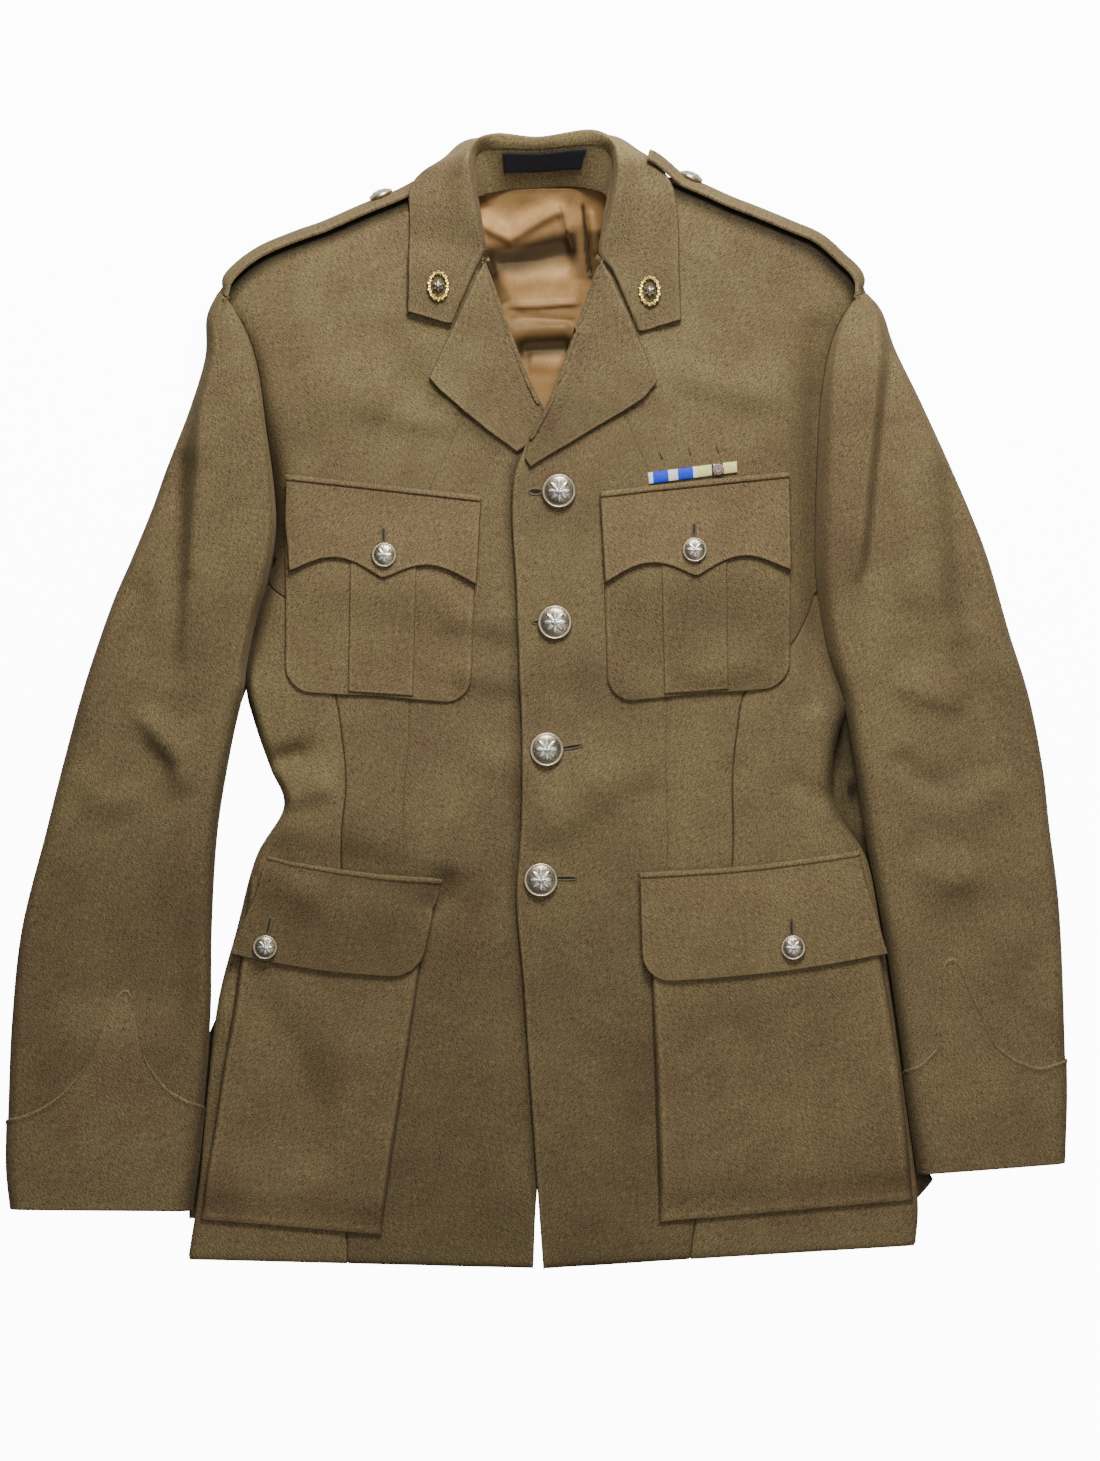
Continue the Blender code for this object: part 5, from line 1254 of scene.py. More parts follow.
def side_panel(side, half):
    """Side body: rolled round the side edge, flat across to the long seam."""
    rows = even_rows(half, 0, half.at[SEAM_END_ROW], STEP)
    width = half.width(rows)
    end = half.seam_share(rows) - SEAM / 2 / width
    rows = rows[end * width > 2.0]
    width = half.width(rows)[:, None]
    end = half.seam_share(rows)[:, None] - SEAM / 2 / width
    edge = half.line(0, rows)
    height = body_height(edge[:, :1], edge[:, 1:])
    first = np.arccos(-2 * SIDE_REACH / height)
    angles = first + (np.radians(9) - first) * np.linspace(0, 1, 14)
    roll = SIDE_ROLL * (1 - np.sin(angles)) / width
    roll = roll * np.minimum(1, 0.6 * end / roll[:, -1:])
    flat = roll[:, -1:] + (end - roll[:, -1:]) * pinched(80, STEP)[1:]
    shares = np.concatenate([roll, flat], axis=1)
    grid = half.surface(shares, np.broadcast_to(rows[:, None], shares.shape))
    below = np.pad(angles > np.pi / 2, ((0, 0), (0, flat.shape[1])))
    grid[..., 2] = np.where(below, np.minimum(height - grid[..., 2], grid[:, 1:2, 2] - 1.6),
                            grid[..., 2])
    to_seam = (end - shares) * width
    grid[..., 2] -= groove(to_seam, 0.7, 0.4)
    grid, away = folded(grid, 1.2, ("first_row",))
    cloth(f"side_body_{side}", grid, BARATHEA, inside="satin",
          marks={"seam": np.maximum(bell(to_seam, 0.6),
                                    half.hollow_shade(shares * width, grid[..., 1])),
                 "edge": wear_and_highlight(away)})


def back_panel(side, half):
    """Back half: flat on the surface, rolled up to the side seam and up to the shoulder."""
    out = OUTWARD[side]
    rows = even_rows(half, 0, 1, 6.0)
    v = rows[:, None]
    width = half.width(rows)[:, None]
    rolled = half.rolled(v)
    edge_xy = half.line(0, v)
    height = body_height(edge_xy[..., 0], edge_xy[..., 1])
    first = under_angle(height)
    angles = first + (np.pi - first) * np.linspace(0, 1, 12)
    in_by = SIDE_ROLL * (1 - np.sin(angles))
    edge_share = (in_by - (1 - rolled) * in_by[:, :1] + SEAM / 2) / width
    flat = edge_share[:, -1:] + (1 - edge_share[:, -1:]) * np.linspace(0, 1, 34)[1:]
    shares = np.concatenate([edge_share, flat], axis=1)
    y = np.minimum(half.line(2, v)[..., 1], NECK[side][-1][1])
    inner = np.stack([out * straight(VENT, y), y], axis=-1)
    top = np.concatenate([half.edge_top, np.array(NECK[side], float)])
    xy = half.plan(shares, np.broadcast_to(v, shares.shape), top, inner)
    z = np.concatenate([height / 2 * (1 + np.cos(angles)) * rolled, np.zeros(flat.shape)], axis=1)
    panel = np.concatenate([xy, z[..., None]], axis=-1)
    steps = 16
    lip = run_along(BACK_LIP, steps)
    neck_from = lengths(top)[len(half.edge_top) - 1]
    on_neck = ease(shares[-1], neck_from - NECK_BLEND[0], neck_from + NECK_BLEND[1])
    reach = 1 + (NECK_LIP[0] - 1) * on_neck
    rise = 1 + (NECK_LIP[1] - 1) * on_neck
    up = half.shoulder(np.repeat(shares[-1:], steps, axis=0), lip[:, :1] * reach,
                       lip[:, 1:] * rise, top)
    cloth(f"back_{side}", np.concatenate([panel, up]), BARATHEA, facing=(0, 0, -1),
          inside="satin")


# ---------------------------------------------------------------- sleeves

def sleeve_rows(sleeve):
    """Length shares of a sleeve's rows, about a step apart and close together at the mouth."""
    fine, run, tall = measured(sleeve)
    return np.interp(pinched(tall, STEP), run, fine)


# turn from one column of the allowance to the next where it goes on round the roll
TUCK_TURN = 0.17


def tucked(sleeve, rows, seam):
    """Columns of seam allowance past a top sleeve's inner edge: in under the front where it is
    sewn to the armhole, on round the roll inside the under sleeve further down."""
    inner, across, _, rolled, in_roll, _ = sleeve.breadth(rows)
    columns = []
    for k, (reach, drop) in reversed(list(enumerate(TUCK, start=1))):
        sewn = seam - np.concatenate([across * reach, np.full((len(rows), 1), drop)], axis=1)
        angle = np.pi / 2 + TUCK_TURN * k
        xy = inner + across * (in_roll * (1 - np.sin(angle)) + BARATHEA / 2)[:, None]
        z = by_column(ARM_HEIGHT, rows) / 2 * (1 + np.cos(angle))
        turned = np.concatenate([xy, z[:, None]], axis=1)
        columns.append(sewn + (turned - sewn) * rolled[:, None])
    return np.stack(columns, axis=1)


def sleeve_panels(side, sleeve):
    """Top sleeve and under sleeve, sewn to the armhole and open at the mouth."""
    rows = CAP_START + sleeve_rows(sleeve) * (0.998 - CAP_START)
    stations = np.concatenate([np.linspace(0, 1, 11), 1 + pinched(110, STEP)[1:-1],
                               np.linspace(2, 3, 12)])
    grid = sleeve.section(stations, rows[:, None])
    inner = sleeve.inner(rows)[:, None]
    to_seam = norm(grid[..., :2] - inner, axis=-1)
    sewn = 1 - ease(rows, CAP_SHARE - 0.02, CAP_SHARE + 0.03)[:, None]
    grid[..., 2] -= groove(to_seam, 0.6, 0.5) * sewn
    seam = 0.7 * bell(to_seam, 0.7) * sewn
    # painted shade along the rolled inner edge, in creases, and on the right sleeve by length
    seam = np.maximum(seam, 0.85 * bell(to_seam, 8.0) * (1 - sewn))
    seam = np.maximum(seam, swell_height(grid[..., 0], grid[..., 1], ARM_SHADES))
    seam = np.maximum(seam, straight(ARM_PAINTED_SHADE[side], rows)[:, None])
    grid = np.concatenate([tucked(sleeve, rows, grid[:, 0]), grid], axis=1)
    back = grid[:1, :, :2] - grid[3:4, :, :2]
    back *= HEAD_TUCK[0] / norm(back, axis=-1, keepdims=True)
    head = grid[:1] + np.concatenate([back, np.full((1, grid.shape[1], 1), -HEAD_TUCK[1])], axis=2)
    grid = np.concatenate([head, grid])
    # painted shade over the tucked allowance and the head row
    seam = np.pad(seam, ((1, 0), (len(TUCK), 0)), constant_values=0.8)
    grid[..., 2] = np.maximum(grid[..., 2], BARATHEA + CLEAR)
    cloth(f"top_sleeve_{side}", grid, BARATHEA,
          marks={"seam": seam, "edge": 0 * seam})
    stations = np.concatenate([np.linspace(0, 1, 9), np.linspace(1, 2, 24)[1:-1],
                               np.linspace(2, 3, 9)])
    rows = np.linspace(rows[0], rows[-1], 70)
    grid = sleeve.under(stations, rows[:, None])
    cloth(f"under_sleeve_{side}", grid, BARATHEA, facing=(0, 0, -1))


def cuff(side, sleeve):
    """Pointed cuff over the end of the sleeve, with a fine ridge along its sewn edge."""
    stations = np.concatenate([np.linspace(0, 1, 9), np.linspace(1, 2, 70)[1:-1],
                               np.linspace(2, 2 + CUFF_WRAP, 16)])
    share = sum(part * np.clip(stations - k, 0, 1)
                for k, part in enumerate((CUFF_EDGE, 1 - 2 * CUFF_EDGE, CUFF_EDGE)))
    deep = by_column(CUFF_LINE[side], share)
    fine, run, tall = measured(sleeve)
    top = np.interp(1 - deep / tall, run, fine)
    down = pinched(100, STEP)[:, None]
    grid = sleeve.section(stations, top + (1 - top) * down)
    away = edge_distance(grid, ("first_row",))
    lift = 1.1 + 0.7 * bell(away - 1.6, 1.2)
    to_inner = norm(grid[..., :2] - sleeve.inner(top + (1 - top) * down), axis=-1)
    grid = moved_out(grid, lift - roll_off(away, 1.3))
    grid, _ = folded(grid, 1.2, ("last_row",))
    # painted shade along the sewn edge, in a line beside it and along the inner edge, and a painted
    # highlight along the ridge
    cloth(f"cuff_{side}", grid, POCKET_CLOTH,
          uv=grid[..., :2],
          marks={"seam": np.maximum(0.5 * bell(away, 0.5)
                                    + 0.3 * bell(away - 4.0, 0.9),
                                    0.85 * bell(to_inner, 8.0)),
                 "edge": 2.5 * bell(away - 1.4, 0.9)})


# ---------------------------------------------------------------- pockets

PUFF = 0.7


def laid(half, xy, lift):
    """Plan points laid on a half, moved out by a lift."""
    return half.over(xy[..., 0], xy[..., 1], lift)


def puffed(s, t):
    """Slight fullness of a pocket's middle, none at its edges."""
    return PUFF * np.sin(np.pi * s) * np.sin(np.pi * t)


def corners_to_grid(corners, s, t):
    """Bilinear plan point: s from the outer to the inner side, t from top to bottom."""
    top_outer, top_inner, low_inner, low_outer = np.array(corners, float)
    s, t = s[..., None], t[..., None]
    return ((1 - t) * ((1 - s) * top_outer + s * top_inner)
            + t * ((1 - s) * low_outer + s * low_inner))


def patch_shares(corners, radius, outer=True):
    """Grid shares of a patch with rounded bottom corners (only the inner one if not outer)."""
    _, top_inner, low_inner, low_outer = np.array(corners, float)
    tall = norm(low_inner - top_inner)
    wide = norm(low_inner - low_outer)
    turn = np.linspace(0, np.pi / 2, 14)
    above = tall - radius
    flat = pinched(above, STEP)
    flat = flat[flat < 1 - 3 / above] * above / tall
    t = np.concatenate([flat, 1 - radius / tall * (1 - np.sin(turn))])
    below = np.clip(t * tall - above, 0, radius)
    inset = (radius - np.sqrt(np.maximum(radius**2 - below**2, 0))) / wide
    start = inset if outer else np.zeros_like(inset)
    across = pinched(wide, STEP)
    s = start[:, None] + (1 - inset - start)[:, None] * across
    return s, np.repeat(t[:, None], len(across), axis=1)


def breast_pocket(side, half):
    """Patch pocket with a box pleat, a three-point flap, a welt and a button."""
    bag = BREAST_BAG[side]
    s, t = patch_shares(bag, BAG_CORNER)
    lift = CLEAR + POCKET_CLOTH + puffed(s, t)
    grid, away = folded(laid(half, corners_to_grid(bag, s, t), lift), 1.7, ALL_EDGES[1:])
    # dark line along the bag's edge, and painted shade over the whole bag on one side
    cloth(f"breast_pocket_{side}", grid, POCKET_CLOTH, "pocket_barathea",
          marks={"seam": np.maximum(0.6 * bell(away, 0.6), BAG_PAINTED_SHADE[side]),
                 "edge": wear_and_highlight(away - 0.6)},
          edge=0.2)

    s, t = np.meshgrid(pinched(46, STEP), pinched(90, STEP))
    s, t = PLEAT[0] + (PLEAT[1] - PLEAT[0]) * s, PLEAT_DROP[0] + (PLEAT_DROP[1] - PLEAT_DROP[0]) * t
    lift = CLEAR + POCKET_CLOTH + SEAM + PLEAT_CLOTH + puffed(s, t)
    grid, away = folded(laid(half, corners_to_grid(bag, s, t), lift), 1.2, ALL_EDGES[1:])
    # dark lines along the pleat's edges, and the bag's painted shade
    cloth(f"pocket_pleat_{side}", grid, PLEAT_CLOTH, "pocket_barathea",
          marks={"seam": np.maximum(0.8 * bell(away, 0.5), BAG_PAINTED_SHADE[side]),
                 "edge": wear_and_highlight(away)})

    flap = BREAST_FLAP[side]
    tall = norm(np.subtract(flap[0], flap[3]))
    s, down = np.meshgrid(pinched(136, 2.2), pinched(tall, 2.6))
    scallop = np.abs(np.sin(2 * np.pi * s)) ** SCALLOP_POWER
    t = down * (1 - FLAP_SCALLOP / tall * scallop)
    base = CLEAR * 2 + POCKET_CLOTH * 2
    lift = base + (SEAM + PLEAT_CLOTH) * ease(t, 0.1, 0.55) + 0.9 * down**3 * (1 - scallop)
    grid, away = folded(laid(half, corners_to_grid(flap, s, t), lift), 1.3, ALL_EDGES[1:])
    # painted shade along the flap's turned rim
    cloth(f"breast_flap_{side}", grid, POCKET_CLOTH, "pocket_barathea",
          marks={"seam": painted_rim_shade(away), "edge": wear_and_highlight(away)})
    welt(f"breast_welt_{side}", half, flap, 0.0, base + BREAST_WELT_RISE)
    x, y = BREAST_BUTTONS[side]
    button(f"breast_button_{side}", half, x, y, base + SEAM + PLEAT_CLOTH, SMALL_BUTTON)


def welt(name, half, flap, sag, lift):
    """Raised strip sewn along the top of a flap: a low half round with both edges sewn down."""
    top_outer, top_inner, _, low_outer = np.array(flap, float)
    up = (top_outer - low_outer) / norm(top_outer - low_outer)
    wide = norm(top_inner - top_outer)
    s, rise = np.meshgrid(pinched(wide, STEP), np.linspace(0, 1, 11))
    xy = corners_to_grid(flap, s, np.zeros_like(s))
    xy = xy + up * (SEAM + (WELT_WIDTH - SEAM) * rise)[..., None]
    xy[..., 1] -= sag * np.sin(np.pi * s)
    lift = lift + 0.5 * np.sin(np.pi * rise)
    grid, away = folded(laid(half, xy, lift), 1.3)
    cloth(name, grid, 2.0, "pocket_barathea",
          marks={"seam": bell(away, 0.5), "edge": wear_and_highlight(away - 0.4)})


# depth of a bellows pocket along its bottom edge, and its extra depth along its sides
LOW_DEPTH = 1.6
SIDE_FULLNESS = 2.6


def lower_pocket(side, half):
    """Bellows pocket on a gusset, with a flap with one rounded corner, a welt and a button."""
    bag = LOWER_BAG[side]
    corner = np.array(bag, float)
    wide, tall = norm(corner[1] - corner[0]), norm(corner[2] - corner[1])
    s, t = np.meshgrid(pinched(wide, STEP), pinched(tall, STEP))
    to_side = np.minimum(s, 1 - s) * wide
    from_low = (1 - t) * tall
    to_edge = np.minimum(to_side, from_low)
    rise = ease(to_edge, -0.4, 2.6) * ease(t, -0.35, 0.28)
    depth = BAG_DEPTH + SIDE_FULLNESS * bell(to_side, 26.0) * ease(t, 0.25, 0.8)
    depth = LOW_DEPTH + (depth - LOW_DEPTH) * ease(from_low, 0, 30)
    lift = CLEAR + POCKET_CLOTH + (depth - CLEAR - POCKET_CLOTH) * rise
    lift = lift + 0.9 * bell(to_edge, 9.0) * rise
    lift = lift - 0.35 * bell(from_low - 28, 3.0) * rise
    xy = corners_to_grid(bag, s, t)
    xy[..., 0] += LOWER_BOW[side] * (1 - s) * np.sin(np.pi * t)
    grid = laid(half, xy, lift)
    # painted shade in the gusset along the sides, a dark line along the bottom, and painted shade
    # over the whole bag on one side
    cloth(f"lower_pocket_{side}", grid, POCKET_CLOTH, "pocket_barathea",
          marks={"seam": np.maximum(bell(to_side, 1.7) - LOWER_PAINTED_SHADE[side],
                                    0.35 * bell(from_low, 0.7)) + LOWER_PAINTED_SHADE[side],
                 "edge": wear_and_highlight(to_edge - 2.4)},
          edge=0.2)

    flap = LOWER_FLAP[side]
    s, t = patch_shares(flap, FLAP_CORNER, outer=False)
    xy = corners_to_grid(flap, s, t)
    xy[..., 1] -= FLAP_SAG * np.sin(np.pi * s)
    low, high = LOWER_FLAP_LIFT
    lift = low + (high - low) * ease(t, 0.0, 0.35)
    grid, away = folded(laid(half, xy, lift), 1.3, ALL_EDGES[1:])
    # painted shade along the flap's rim and over the whole flap on one side
    cloth(f"lower_flap_{side}", grid, POCKET_CLOTH, "pocket_barathea",
          marks={"seam": np.maximum(painted_rim_shade(away), FLAP_PAINTED_SHADE[side]), "edge": wear_and_highlight(away)})
    welt(f"lower_welt_{side}", half, flap, FLAP_SAG, low + LOWER_WELT_RISE)
    x, y = LOWER_BUTTONS[side]
    button(f"lower_button_{side}", half, x, y, high, SMALL_BUTTON)


# ---------------------------------------------------------------- buttons and buttonholes

def framed(points, place, axis):
    """Local points set with their Z along an axis and their origin at a place."""
    up = np.array(axis, float)
    up /= norm(up)
    side = np.cross((0.0, 1.0, 0.0), up)
    side /= norm(side)
    ahead = np.cross(up, side)
    return points @ np.stack([side, ahead, up]) + place


def spot_on(half, x, y, lift):
    """Point of the half moved out by lift, and the direction it faces there."""
    around = np.array([[-PROBE, 0.0, PROBE]] * 3)
    spot = half.over(x + around, y + around.T, lift)
    normal = np.cross(spot[1, 2] - spot[1, 0], spot[2, 1] - spot[0, 1])
    return spot[1, 1], normal * np.sign(normal[2])


def disc(profile, around, relief):
    """Closed turned form: rings of a profile from its top pole to its back pole, each ring
    raised by relief(share of the radius, angle) where it faces up."""
    turn = around_once(around)
    radius, height, face = profile
    reach = radius.max()
    share = np.repeat((radius / reach)[:, None], around, axis=1)
    raised = relief(share, np.broadcast_to(turn, share.shape)) * face[:, None]
    ring = np.stack([radius[:, None] * np.cos(turn), radius[:, None] * np.sin(turn),
                     height[:, None] + raised], axis=-1)
    faces = grid_faces(*ring.shape[:2], wrap=True)[:, ::-1]
    top, back = len(ring.reshape(-1, 3)), len(ring.reshape(-1, 3)) + 1
    k = np.arange(around)
    after = (k + 1) % around
    last = (len(ring) - 1) * around
    caps = np.concatenate([np.stack([np.full(around, top), k, after], -1),
                           np.stack([np.full(around, back), last + after, last + k], -1)])
    middle = [[0, 0, ring[0, :, 2].mean()], [0, 0, height[-1]]]
    points = np.concatenate([ring.reshape(-1, 3), middle])
    worth = np.concatenate([raised.ravel(), [raised[0].mean(), 0]])
    return points, faces.tolist() + caps.tolist(), worth


def crest(share, turn):
    """Generic relief of a button: a rayed star with a boss, in a plain field and a roped rim."""
    ray = np.cos(8 * turn) * 0.5 + 0.5
    fine = np.cos(24 * turn) * 0.5 + 0.5
    star = (0.35 + 0.65 * ray) * (1 - ease(share, 0.28 + 0.34 * ray, 0.34 + 0.36 * ray))
    boss = half_round(share / 0.2)
    rope = (0.6 + 0.4 * np.cos(56 * turn + 30 * share)) * bell(share - 0.92, 0.045)
    bead = (0.5 + 0.5 * np.cos(40 * turn)) * bell(share - 0.78, 0.035)
    return 0.4 * star * (0.8 + 0.2 * fine) + 0.35 * boss + 0.5 * rope + 0.2 * bead


def button(name, half, x, y, lift, size):
    """Button seated on a half at a plan point, square to the cloth."""
    spot, normal = spot_on(half, x, y, lift + CLEAR)
    metal_button(name, spot, normal, size)


# rim of a button from its face to its back: share of radius, share of height, share of relief
BUTTON_RIM = np.array(((0.865, 0.42, 1), (0.885, 0.44, 1), (0.905, 0.5, 1), (0.93, 0.52, 1),
                       (0.955, 0.5, 1), (0.98, 0.42, 1), (1.0, 0.3, 0.3), (0.99, 0.16, 0),
                       (0.93, 0.02, 0), (0.6, 0.0, 0), (0.2, 0.0, 0)))
BUTTON_RINGS = 26


def metal_button(name, spot, normal, size):
    """Domed button turned from a quarter ellipse and a roped rim, with the crest raised on it."""
    across, tall = size
    front = np.linspace(0.04, 0.84, BUTTON_RINGS)
    top = 0.42 + 0.55 * half_round(front / 0.88)
    rows = np.concatenate([np.stack([front, top, np.ones(BUTTON_RINGS)], axis=1), BUTTON_RIM])
    radius, height, face = rows[:, 0] * across / 2, rows[:, 1] * tall, rows[:, 2]
    points, faces, worth = disc((radius, height, face), ROUND_STEPS,
                                lambda share, turn: crest(share, turn) * tall / 6)
    thing = make_object(name + "_metal", framed(points, spot, normal), faces, "button_metal",
                        marks={"raised": worth / worth.max()})
    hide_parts(name)


# section of a buttonhole's worked lip, outward from its slit and upward; points round it
LIP_OUT = np.array((0.05, 0.35, 0.6, 0.9, 1.25, 1.6, 1.85, 2.0))
LIP_RISE = np.array((-0.5, -0.35, 0.3, 0.62, 0.7, 0.5, 0.05, -0.5))
LIP_STEPS = 96


def buttonhole(name, half, start, end, lift, open_by):
    """Worked buttonhole: thread lips laid round a slit, the section a low half round that
    stands off the slit's centre line and drops into it."""
    start, end = np.array(start, float), np.array(end, float)
    along = norm(end - start)
    ahead = (end - start) / along
    beside = np.array((-ahead[1], ahead[0]))
    turn = around_once(LIP_STEPS)
    line = np.clip(np.cos(turn) * 1.6, -1, 1) * along / 2
    middle = (start + end) / 2 + line[:, None] * ahead
    gape = open_by * half_round(2 * line / along)
    direction = np.stack([np.cos(turn), np.sin(turn)], -1)
    apart = np.stack([0 * turn, np.sign(np.sin(turn)) * gape], -1)
    reach = LIP_OUT[:, None, None] * direction + apart
    xy = middle + reach[..., :1] * ahead + reach[..., 1:] * beside
    points = laid(half, xy, lift + LIP_RISE[:, None])
    corner = points.reshape(-1, 3)
    faces = faced(corner, grid_faces(*points.shape[:2], wrap=True))
    run, out = np.meshgrid(np.arange(LIP_STEPS) / LIP_STEPS * 2 * (along + 6), LIP_OUT)
    uv = np.stack([run, out], -1).reshape(-1, 2)
    # painted shade on the lips where they turn down into the slit
    dark = 1 - ease(out, 0.2, 0.75)
    make_object(name, corner, faces, "thread", uv, {"seam": dark})
    # painted shadow: a near-black floor laid in the slit
    s, t = np.meshgrid(np.linspace(0, 1, 14), np.linspace(-1, 1, 5))
    wide = (open_by + 0.4) * half_round(2 * s - 1, 0.02)
    xy = start + s[..., None] * (end - start) + (t * wide)[..., None] * beside
    floor = laid(half, xy, lift + 0.15 + 0 * s)
    flat_piece(name + "_slit", floor, "slit", 0.3)


def flat_piece(name, grid, look, thick, marks=None):
    """Small laid piece over a grid, thickened downwards."""
    points = grid.reshape(-1, 3)
    faces = faced(points, grid_faces(*grid.shape[:2]))
    thing = make_object(name, points, faces, look, cloth_map(grid).reshape(-1, 2), marks)
    thickened(thing, thick)
    return thing


def tube(name, path, radius, look, around=10):
    """Round thread along a path, closed with a point at each end."""
    ahead = np.gradient(path, axis=0)
    ahead /= norm(ahead, axis=1, keepdims=True)
    side = np.cross(ahead, (0.0, 0.0, 1.0))
    side /= norm(side, axis=1, keepdims=True)
    up = np.cross(side, ahead)
    turn = around_once(around)[None, :, None]
    size = radius * np.sqrt(np.maximum(1 - np.linspace(-1, 1, len(path)) ** 6, 0.0004))
    rings = path[:, None] + size[:, None, None] * (side[:, None] * np.cos(turn)
                                                   + up[:, None] * np.sin(turn))
    faces = grid_faces(len(path), around, wrap=True)
    run = np.repeat(np.linspace(0, 1, len(path))[:, None], around, axis=1)
    uv = np.stack([run * 10, np.repeat(np.linspace(0, 2, around)[None], len(path), 0)], -1)
    caps = [list(range(around)), list(range((len(path) - 1) * around, len(path) * around))[::-1]]
    return make_object(name, rings.reshape(-1, 3), faces.tolist() + caps, look,
                       uv.reshape(-1, 2))


# ---------------------------------------------------------------- lapels and collar

ROLL_RADIUS = 3.0
# rise of a lapel at the gorge, to meet the collar
GORGE_LIFT = 2.8


def painted_rim_shade(away):
    """Painted shade along the turned-under rim of a piece, seen as a fine dark line round it."""
    return 1.15 * bell(away, 0.85)


def lapel(side, half):
    """Lapel folded back over the chest: rolled round at its roll line, pressed at its edge."""
    rows = np.array(LAPEL[side], float)
    tall = norm(rows[-1, :2] - rows[0, :2])
    wide = norm(rows[:, 2:] - rows[:, :2], axis=1).max()
    at = np.linspace(0, 1, len(rows))
    down = np.unique(np.concatenate([pinched(tall, 2.2), at]).round(4))
    v, share = np.meshgrid(down, pinched(wide, 2.4), indexing="ij")
    roll = through(at, rows[:, :2], v)
    outer = np.stack([np.interp(v, at, rows[:, 2]), np.interp(v, at, rows[:, 3])], axis=-1)
    xy = roll + share[..., None] * (outer - roll)
    from_roll = norm(xy - roll, axis=-1)
    risen = ease(v, *LAPEL_RISES) - ease(v, *LAPEL_SETTLES)
    lift = LAPEL_CLEAR + BARATHEA + LAPEL_RISE * ease(from_roll, 0, LAPEL_EASE) * risen
    lift = lift + 1.1 * bell(from_roll - 7, 6.0) * np.sin(np.pi * v)
    lift = lift + GORGE_LIFT * (1 - ease(v, 0.2, 0.42)) * ease(share, 0.1, 0.7)
    grid = laid(half, xy, lift)
    grid = moved_out(grid, -roll_off(edge_distance(grid, ("first_column",)), ROLL_RADIUS))
    grid, away = folded(grid, 1.2, ALL_EDGES[:2] + ALL_EDGES[3:])
    # painted shade along the lapel's rim and over the whole lapel
    cloth(f"lapel_{side}", grid, BARATHEA,
          marks={"seam": np.maximum(painted_rim_shade(away), LAPEL_PAINTED_SHADE[side]), "edge": wear_and_highlight(away)})


def collar_lines():
    """Outer edge, crest and stand seam of the collar at each station, with the heights of its
    lying ends taken from the chest."""
    rows = np.array(COLLAR, float)
    for k, row in enumerate(rows):
        for start in (0, 3, 6):
            if row[start + 2] == 0:
                x, y = row[start:start + 2]
                rows[k, start + 2] = body_height(x, y) + COLLAR_LIFT - COLLAR_DROP
    upright = slice(*STAND_ROWS)
    crest_xy = rows[upright, 3:5]
    rows[upright, 6:8] = crest_xy + STAND_STEEP * (rows[upright, 6:8] - crest_xy)
    return rows


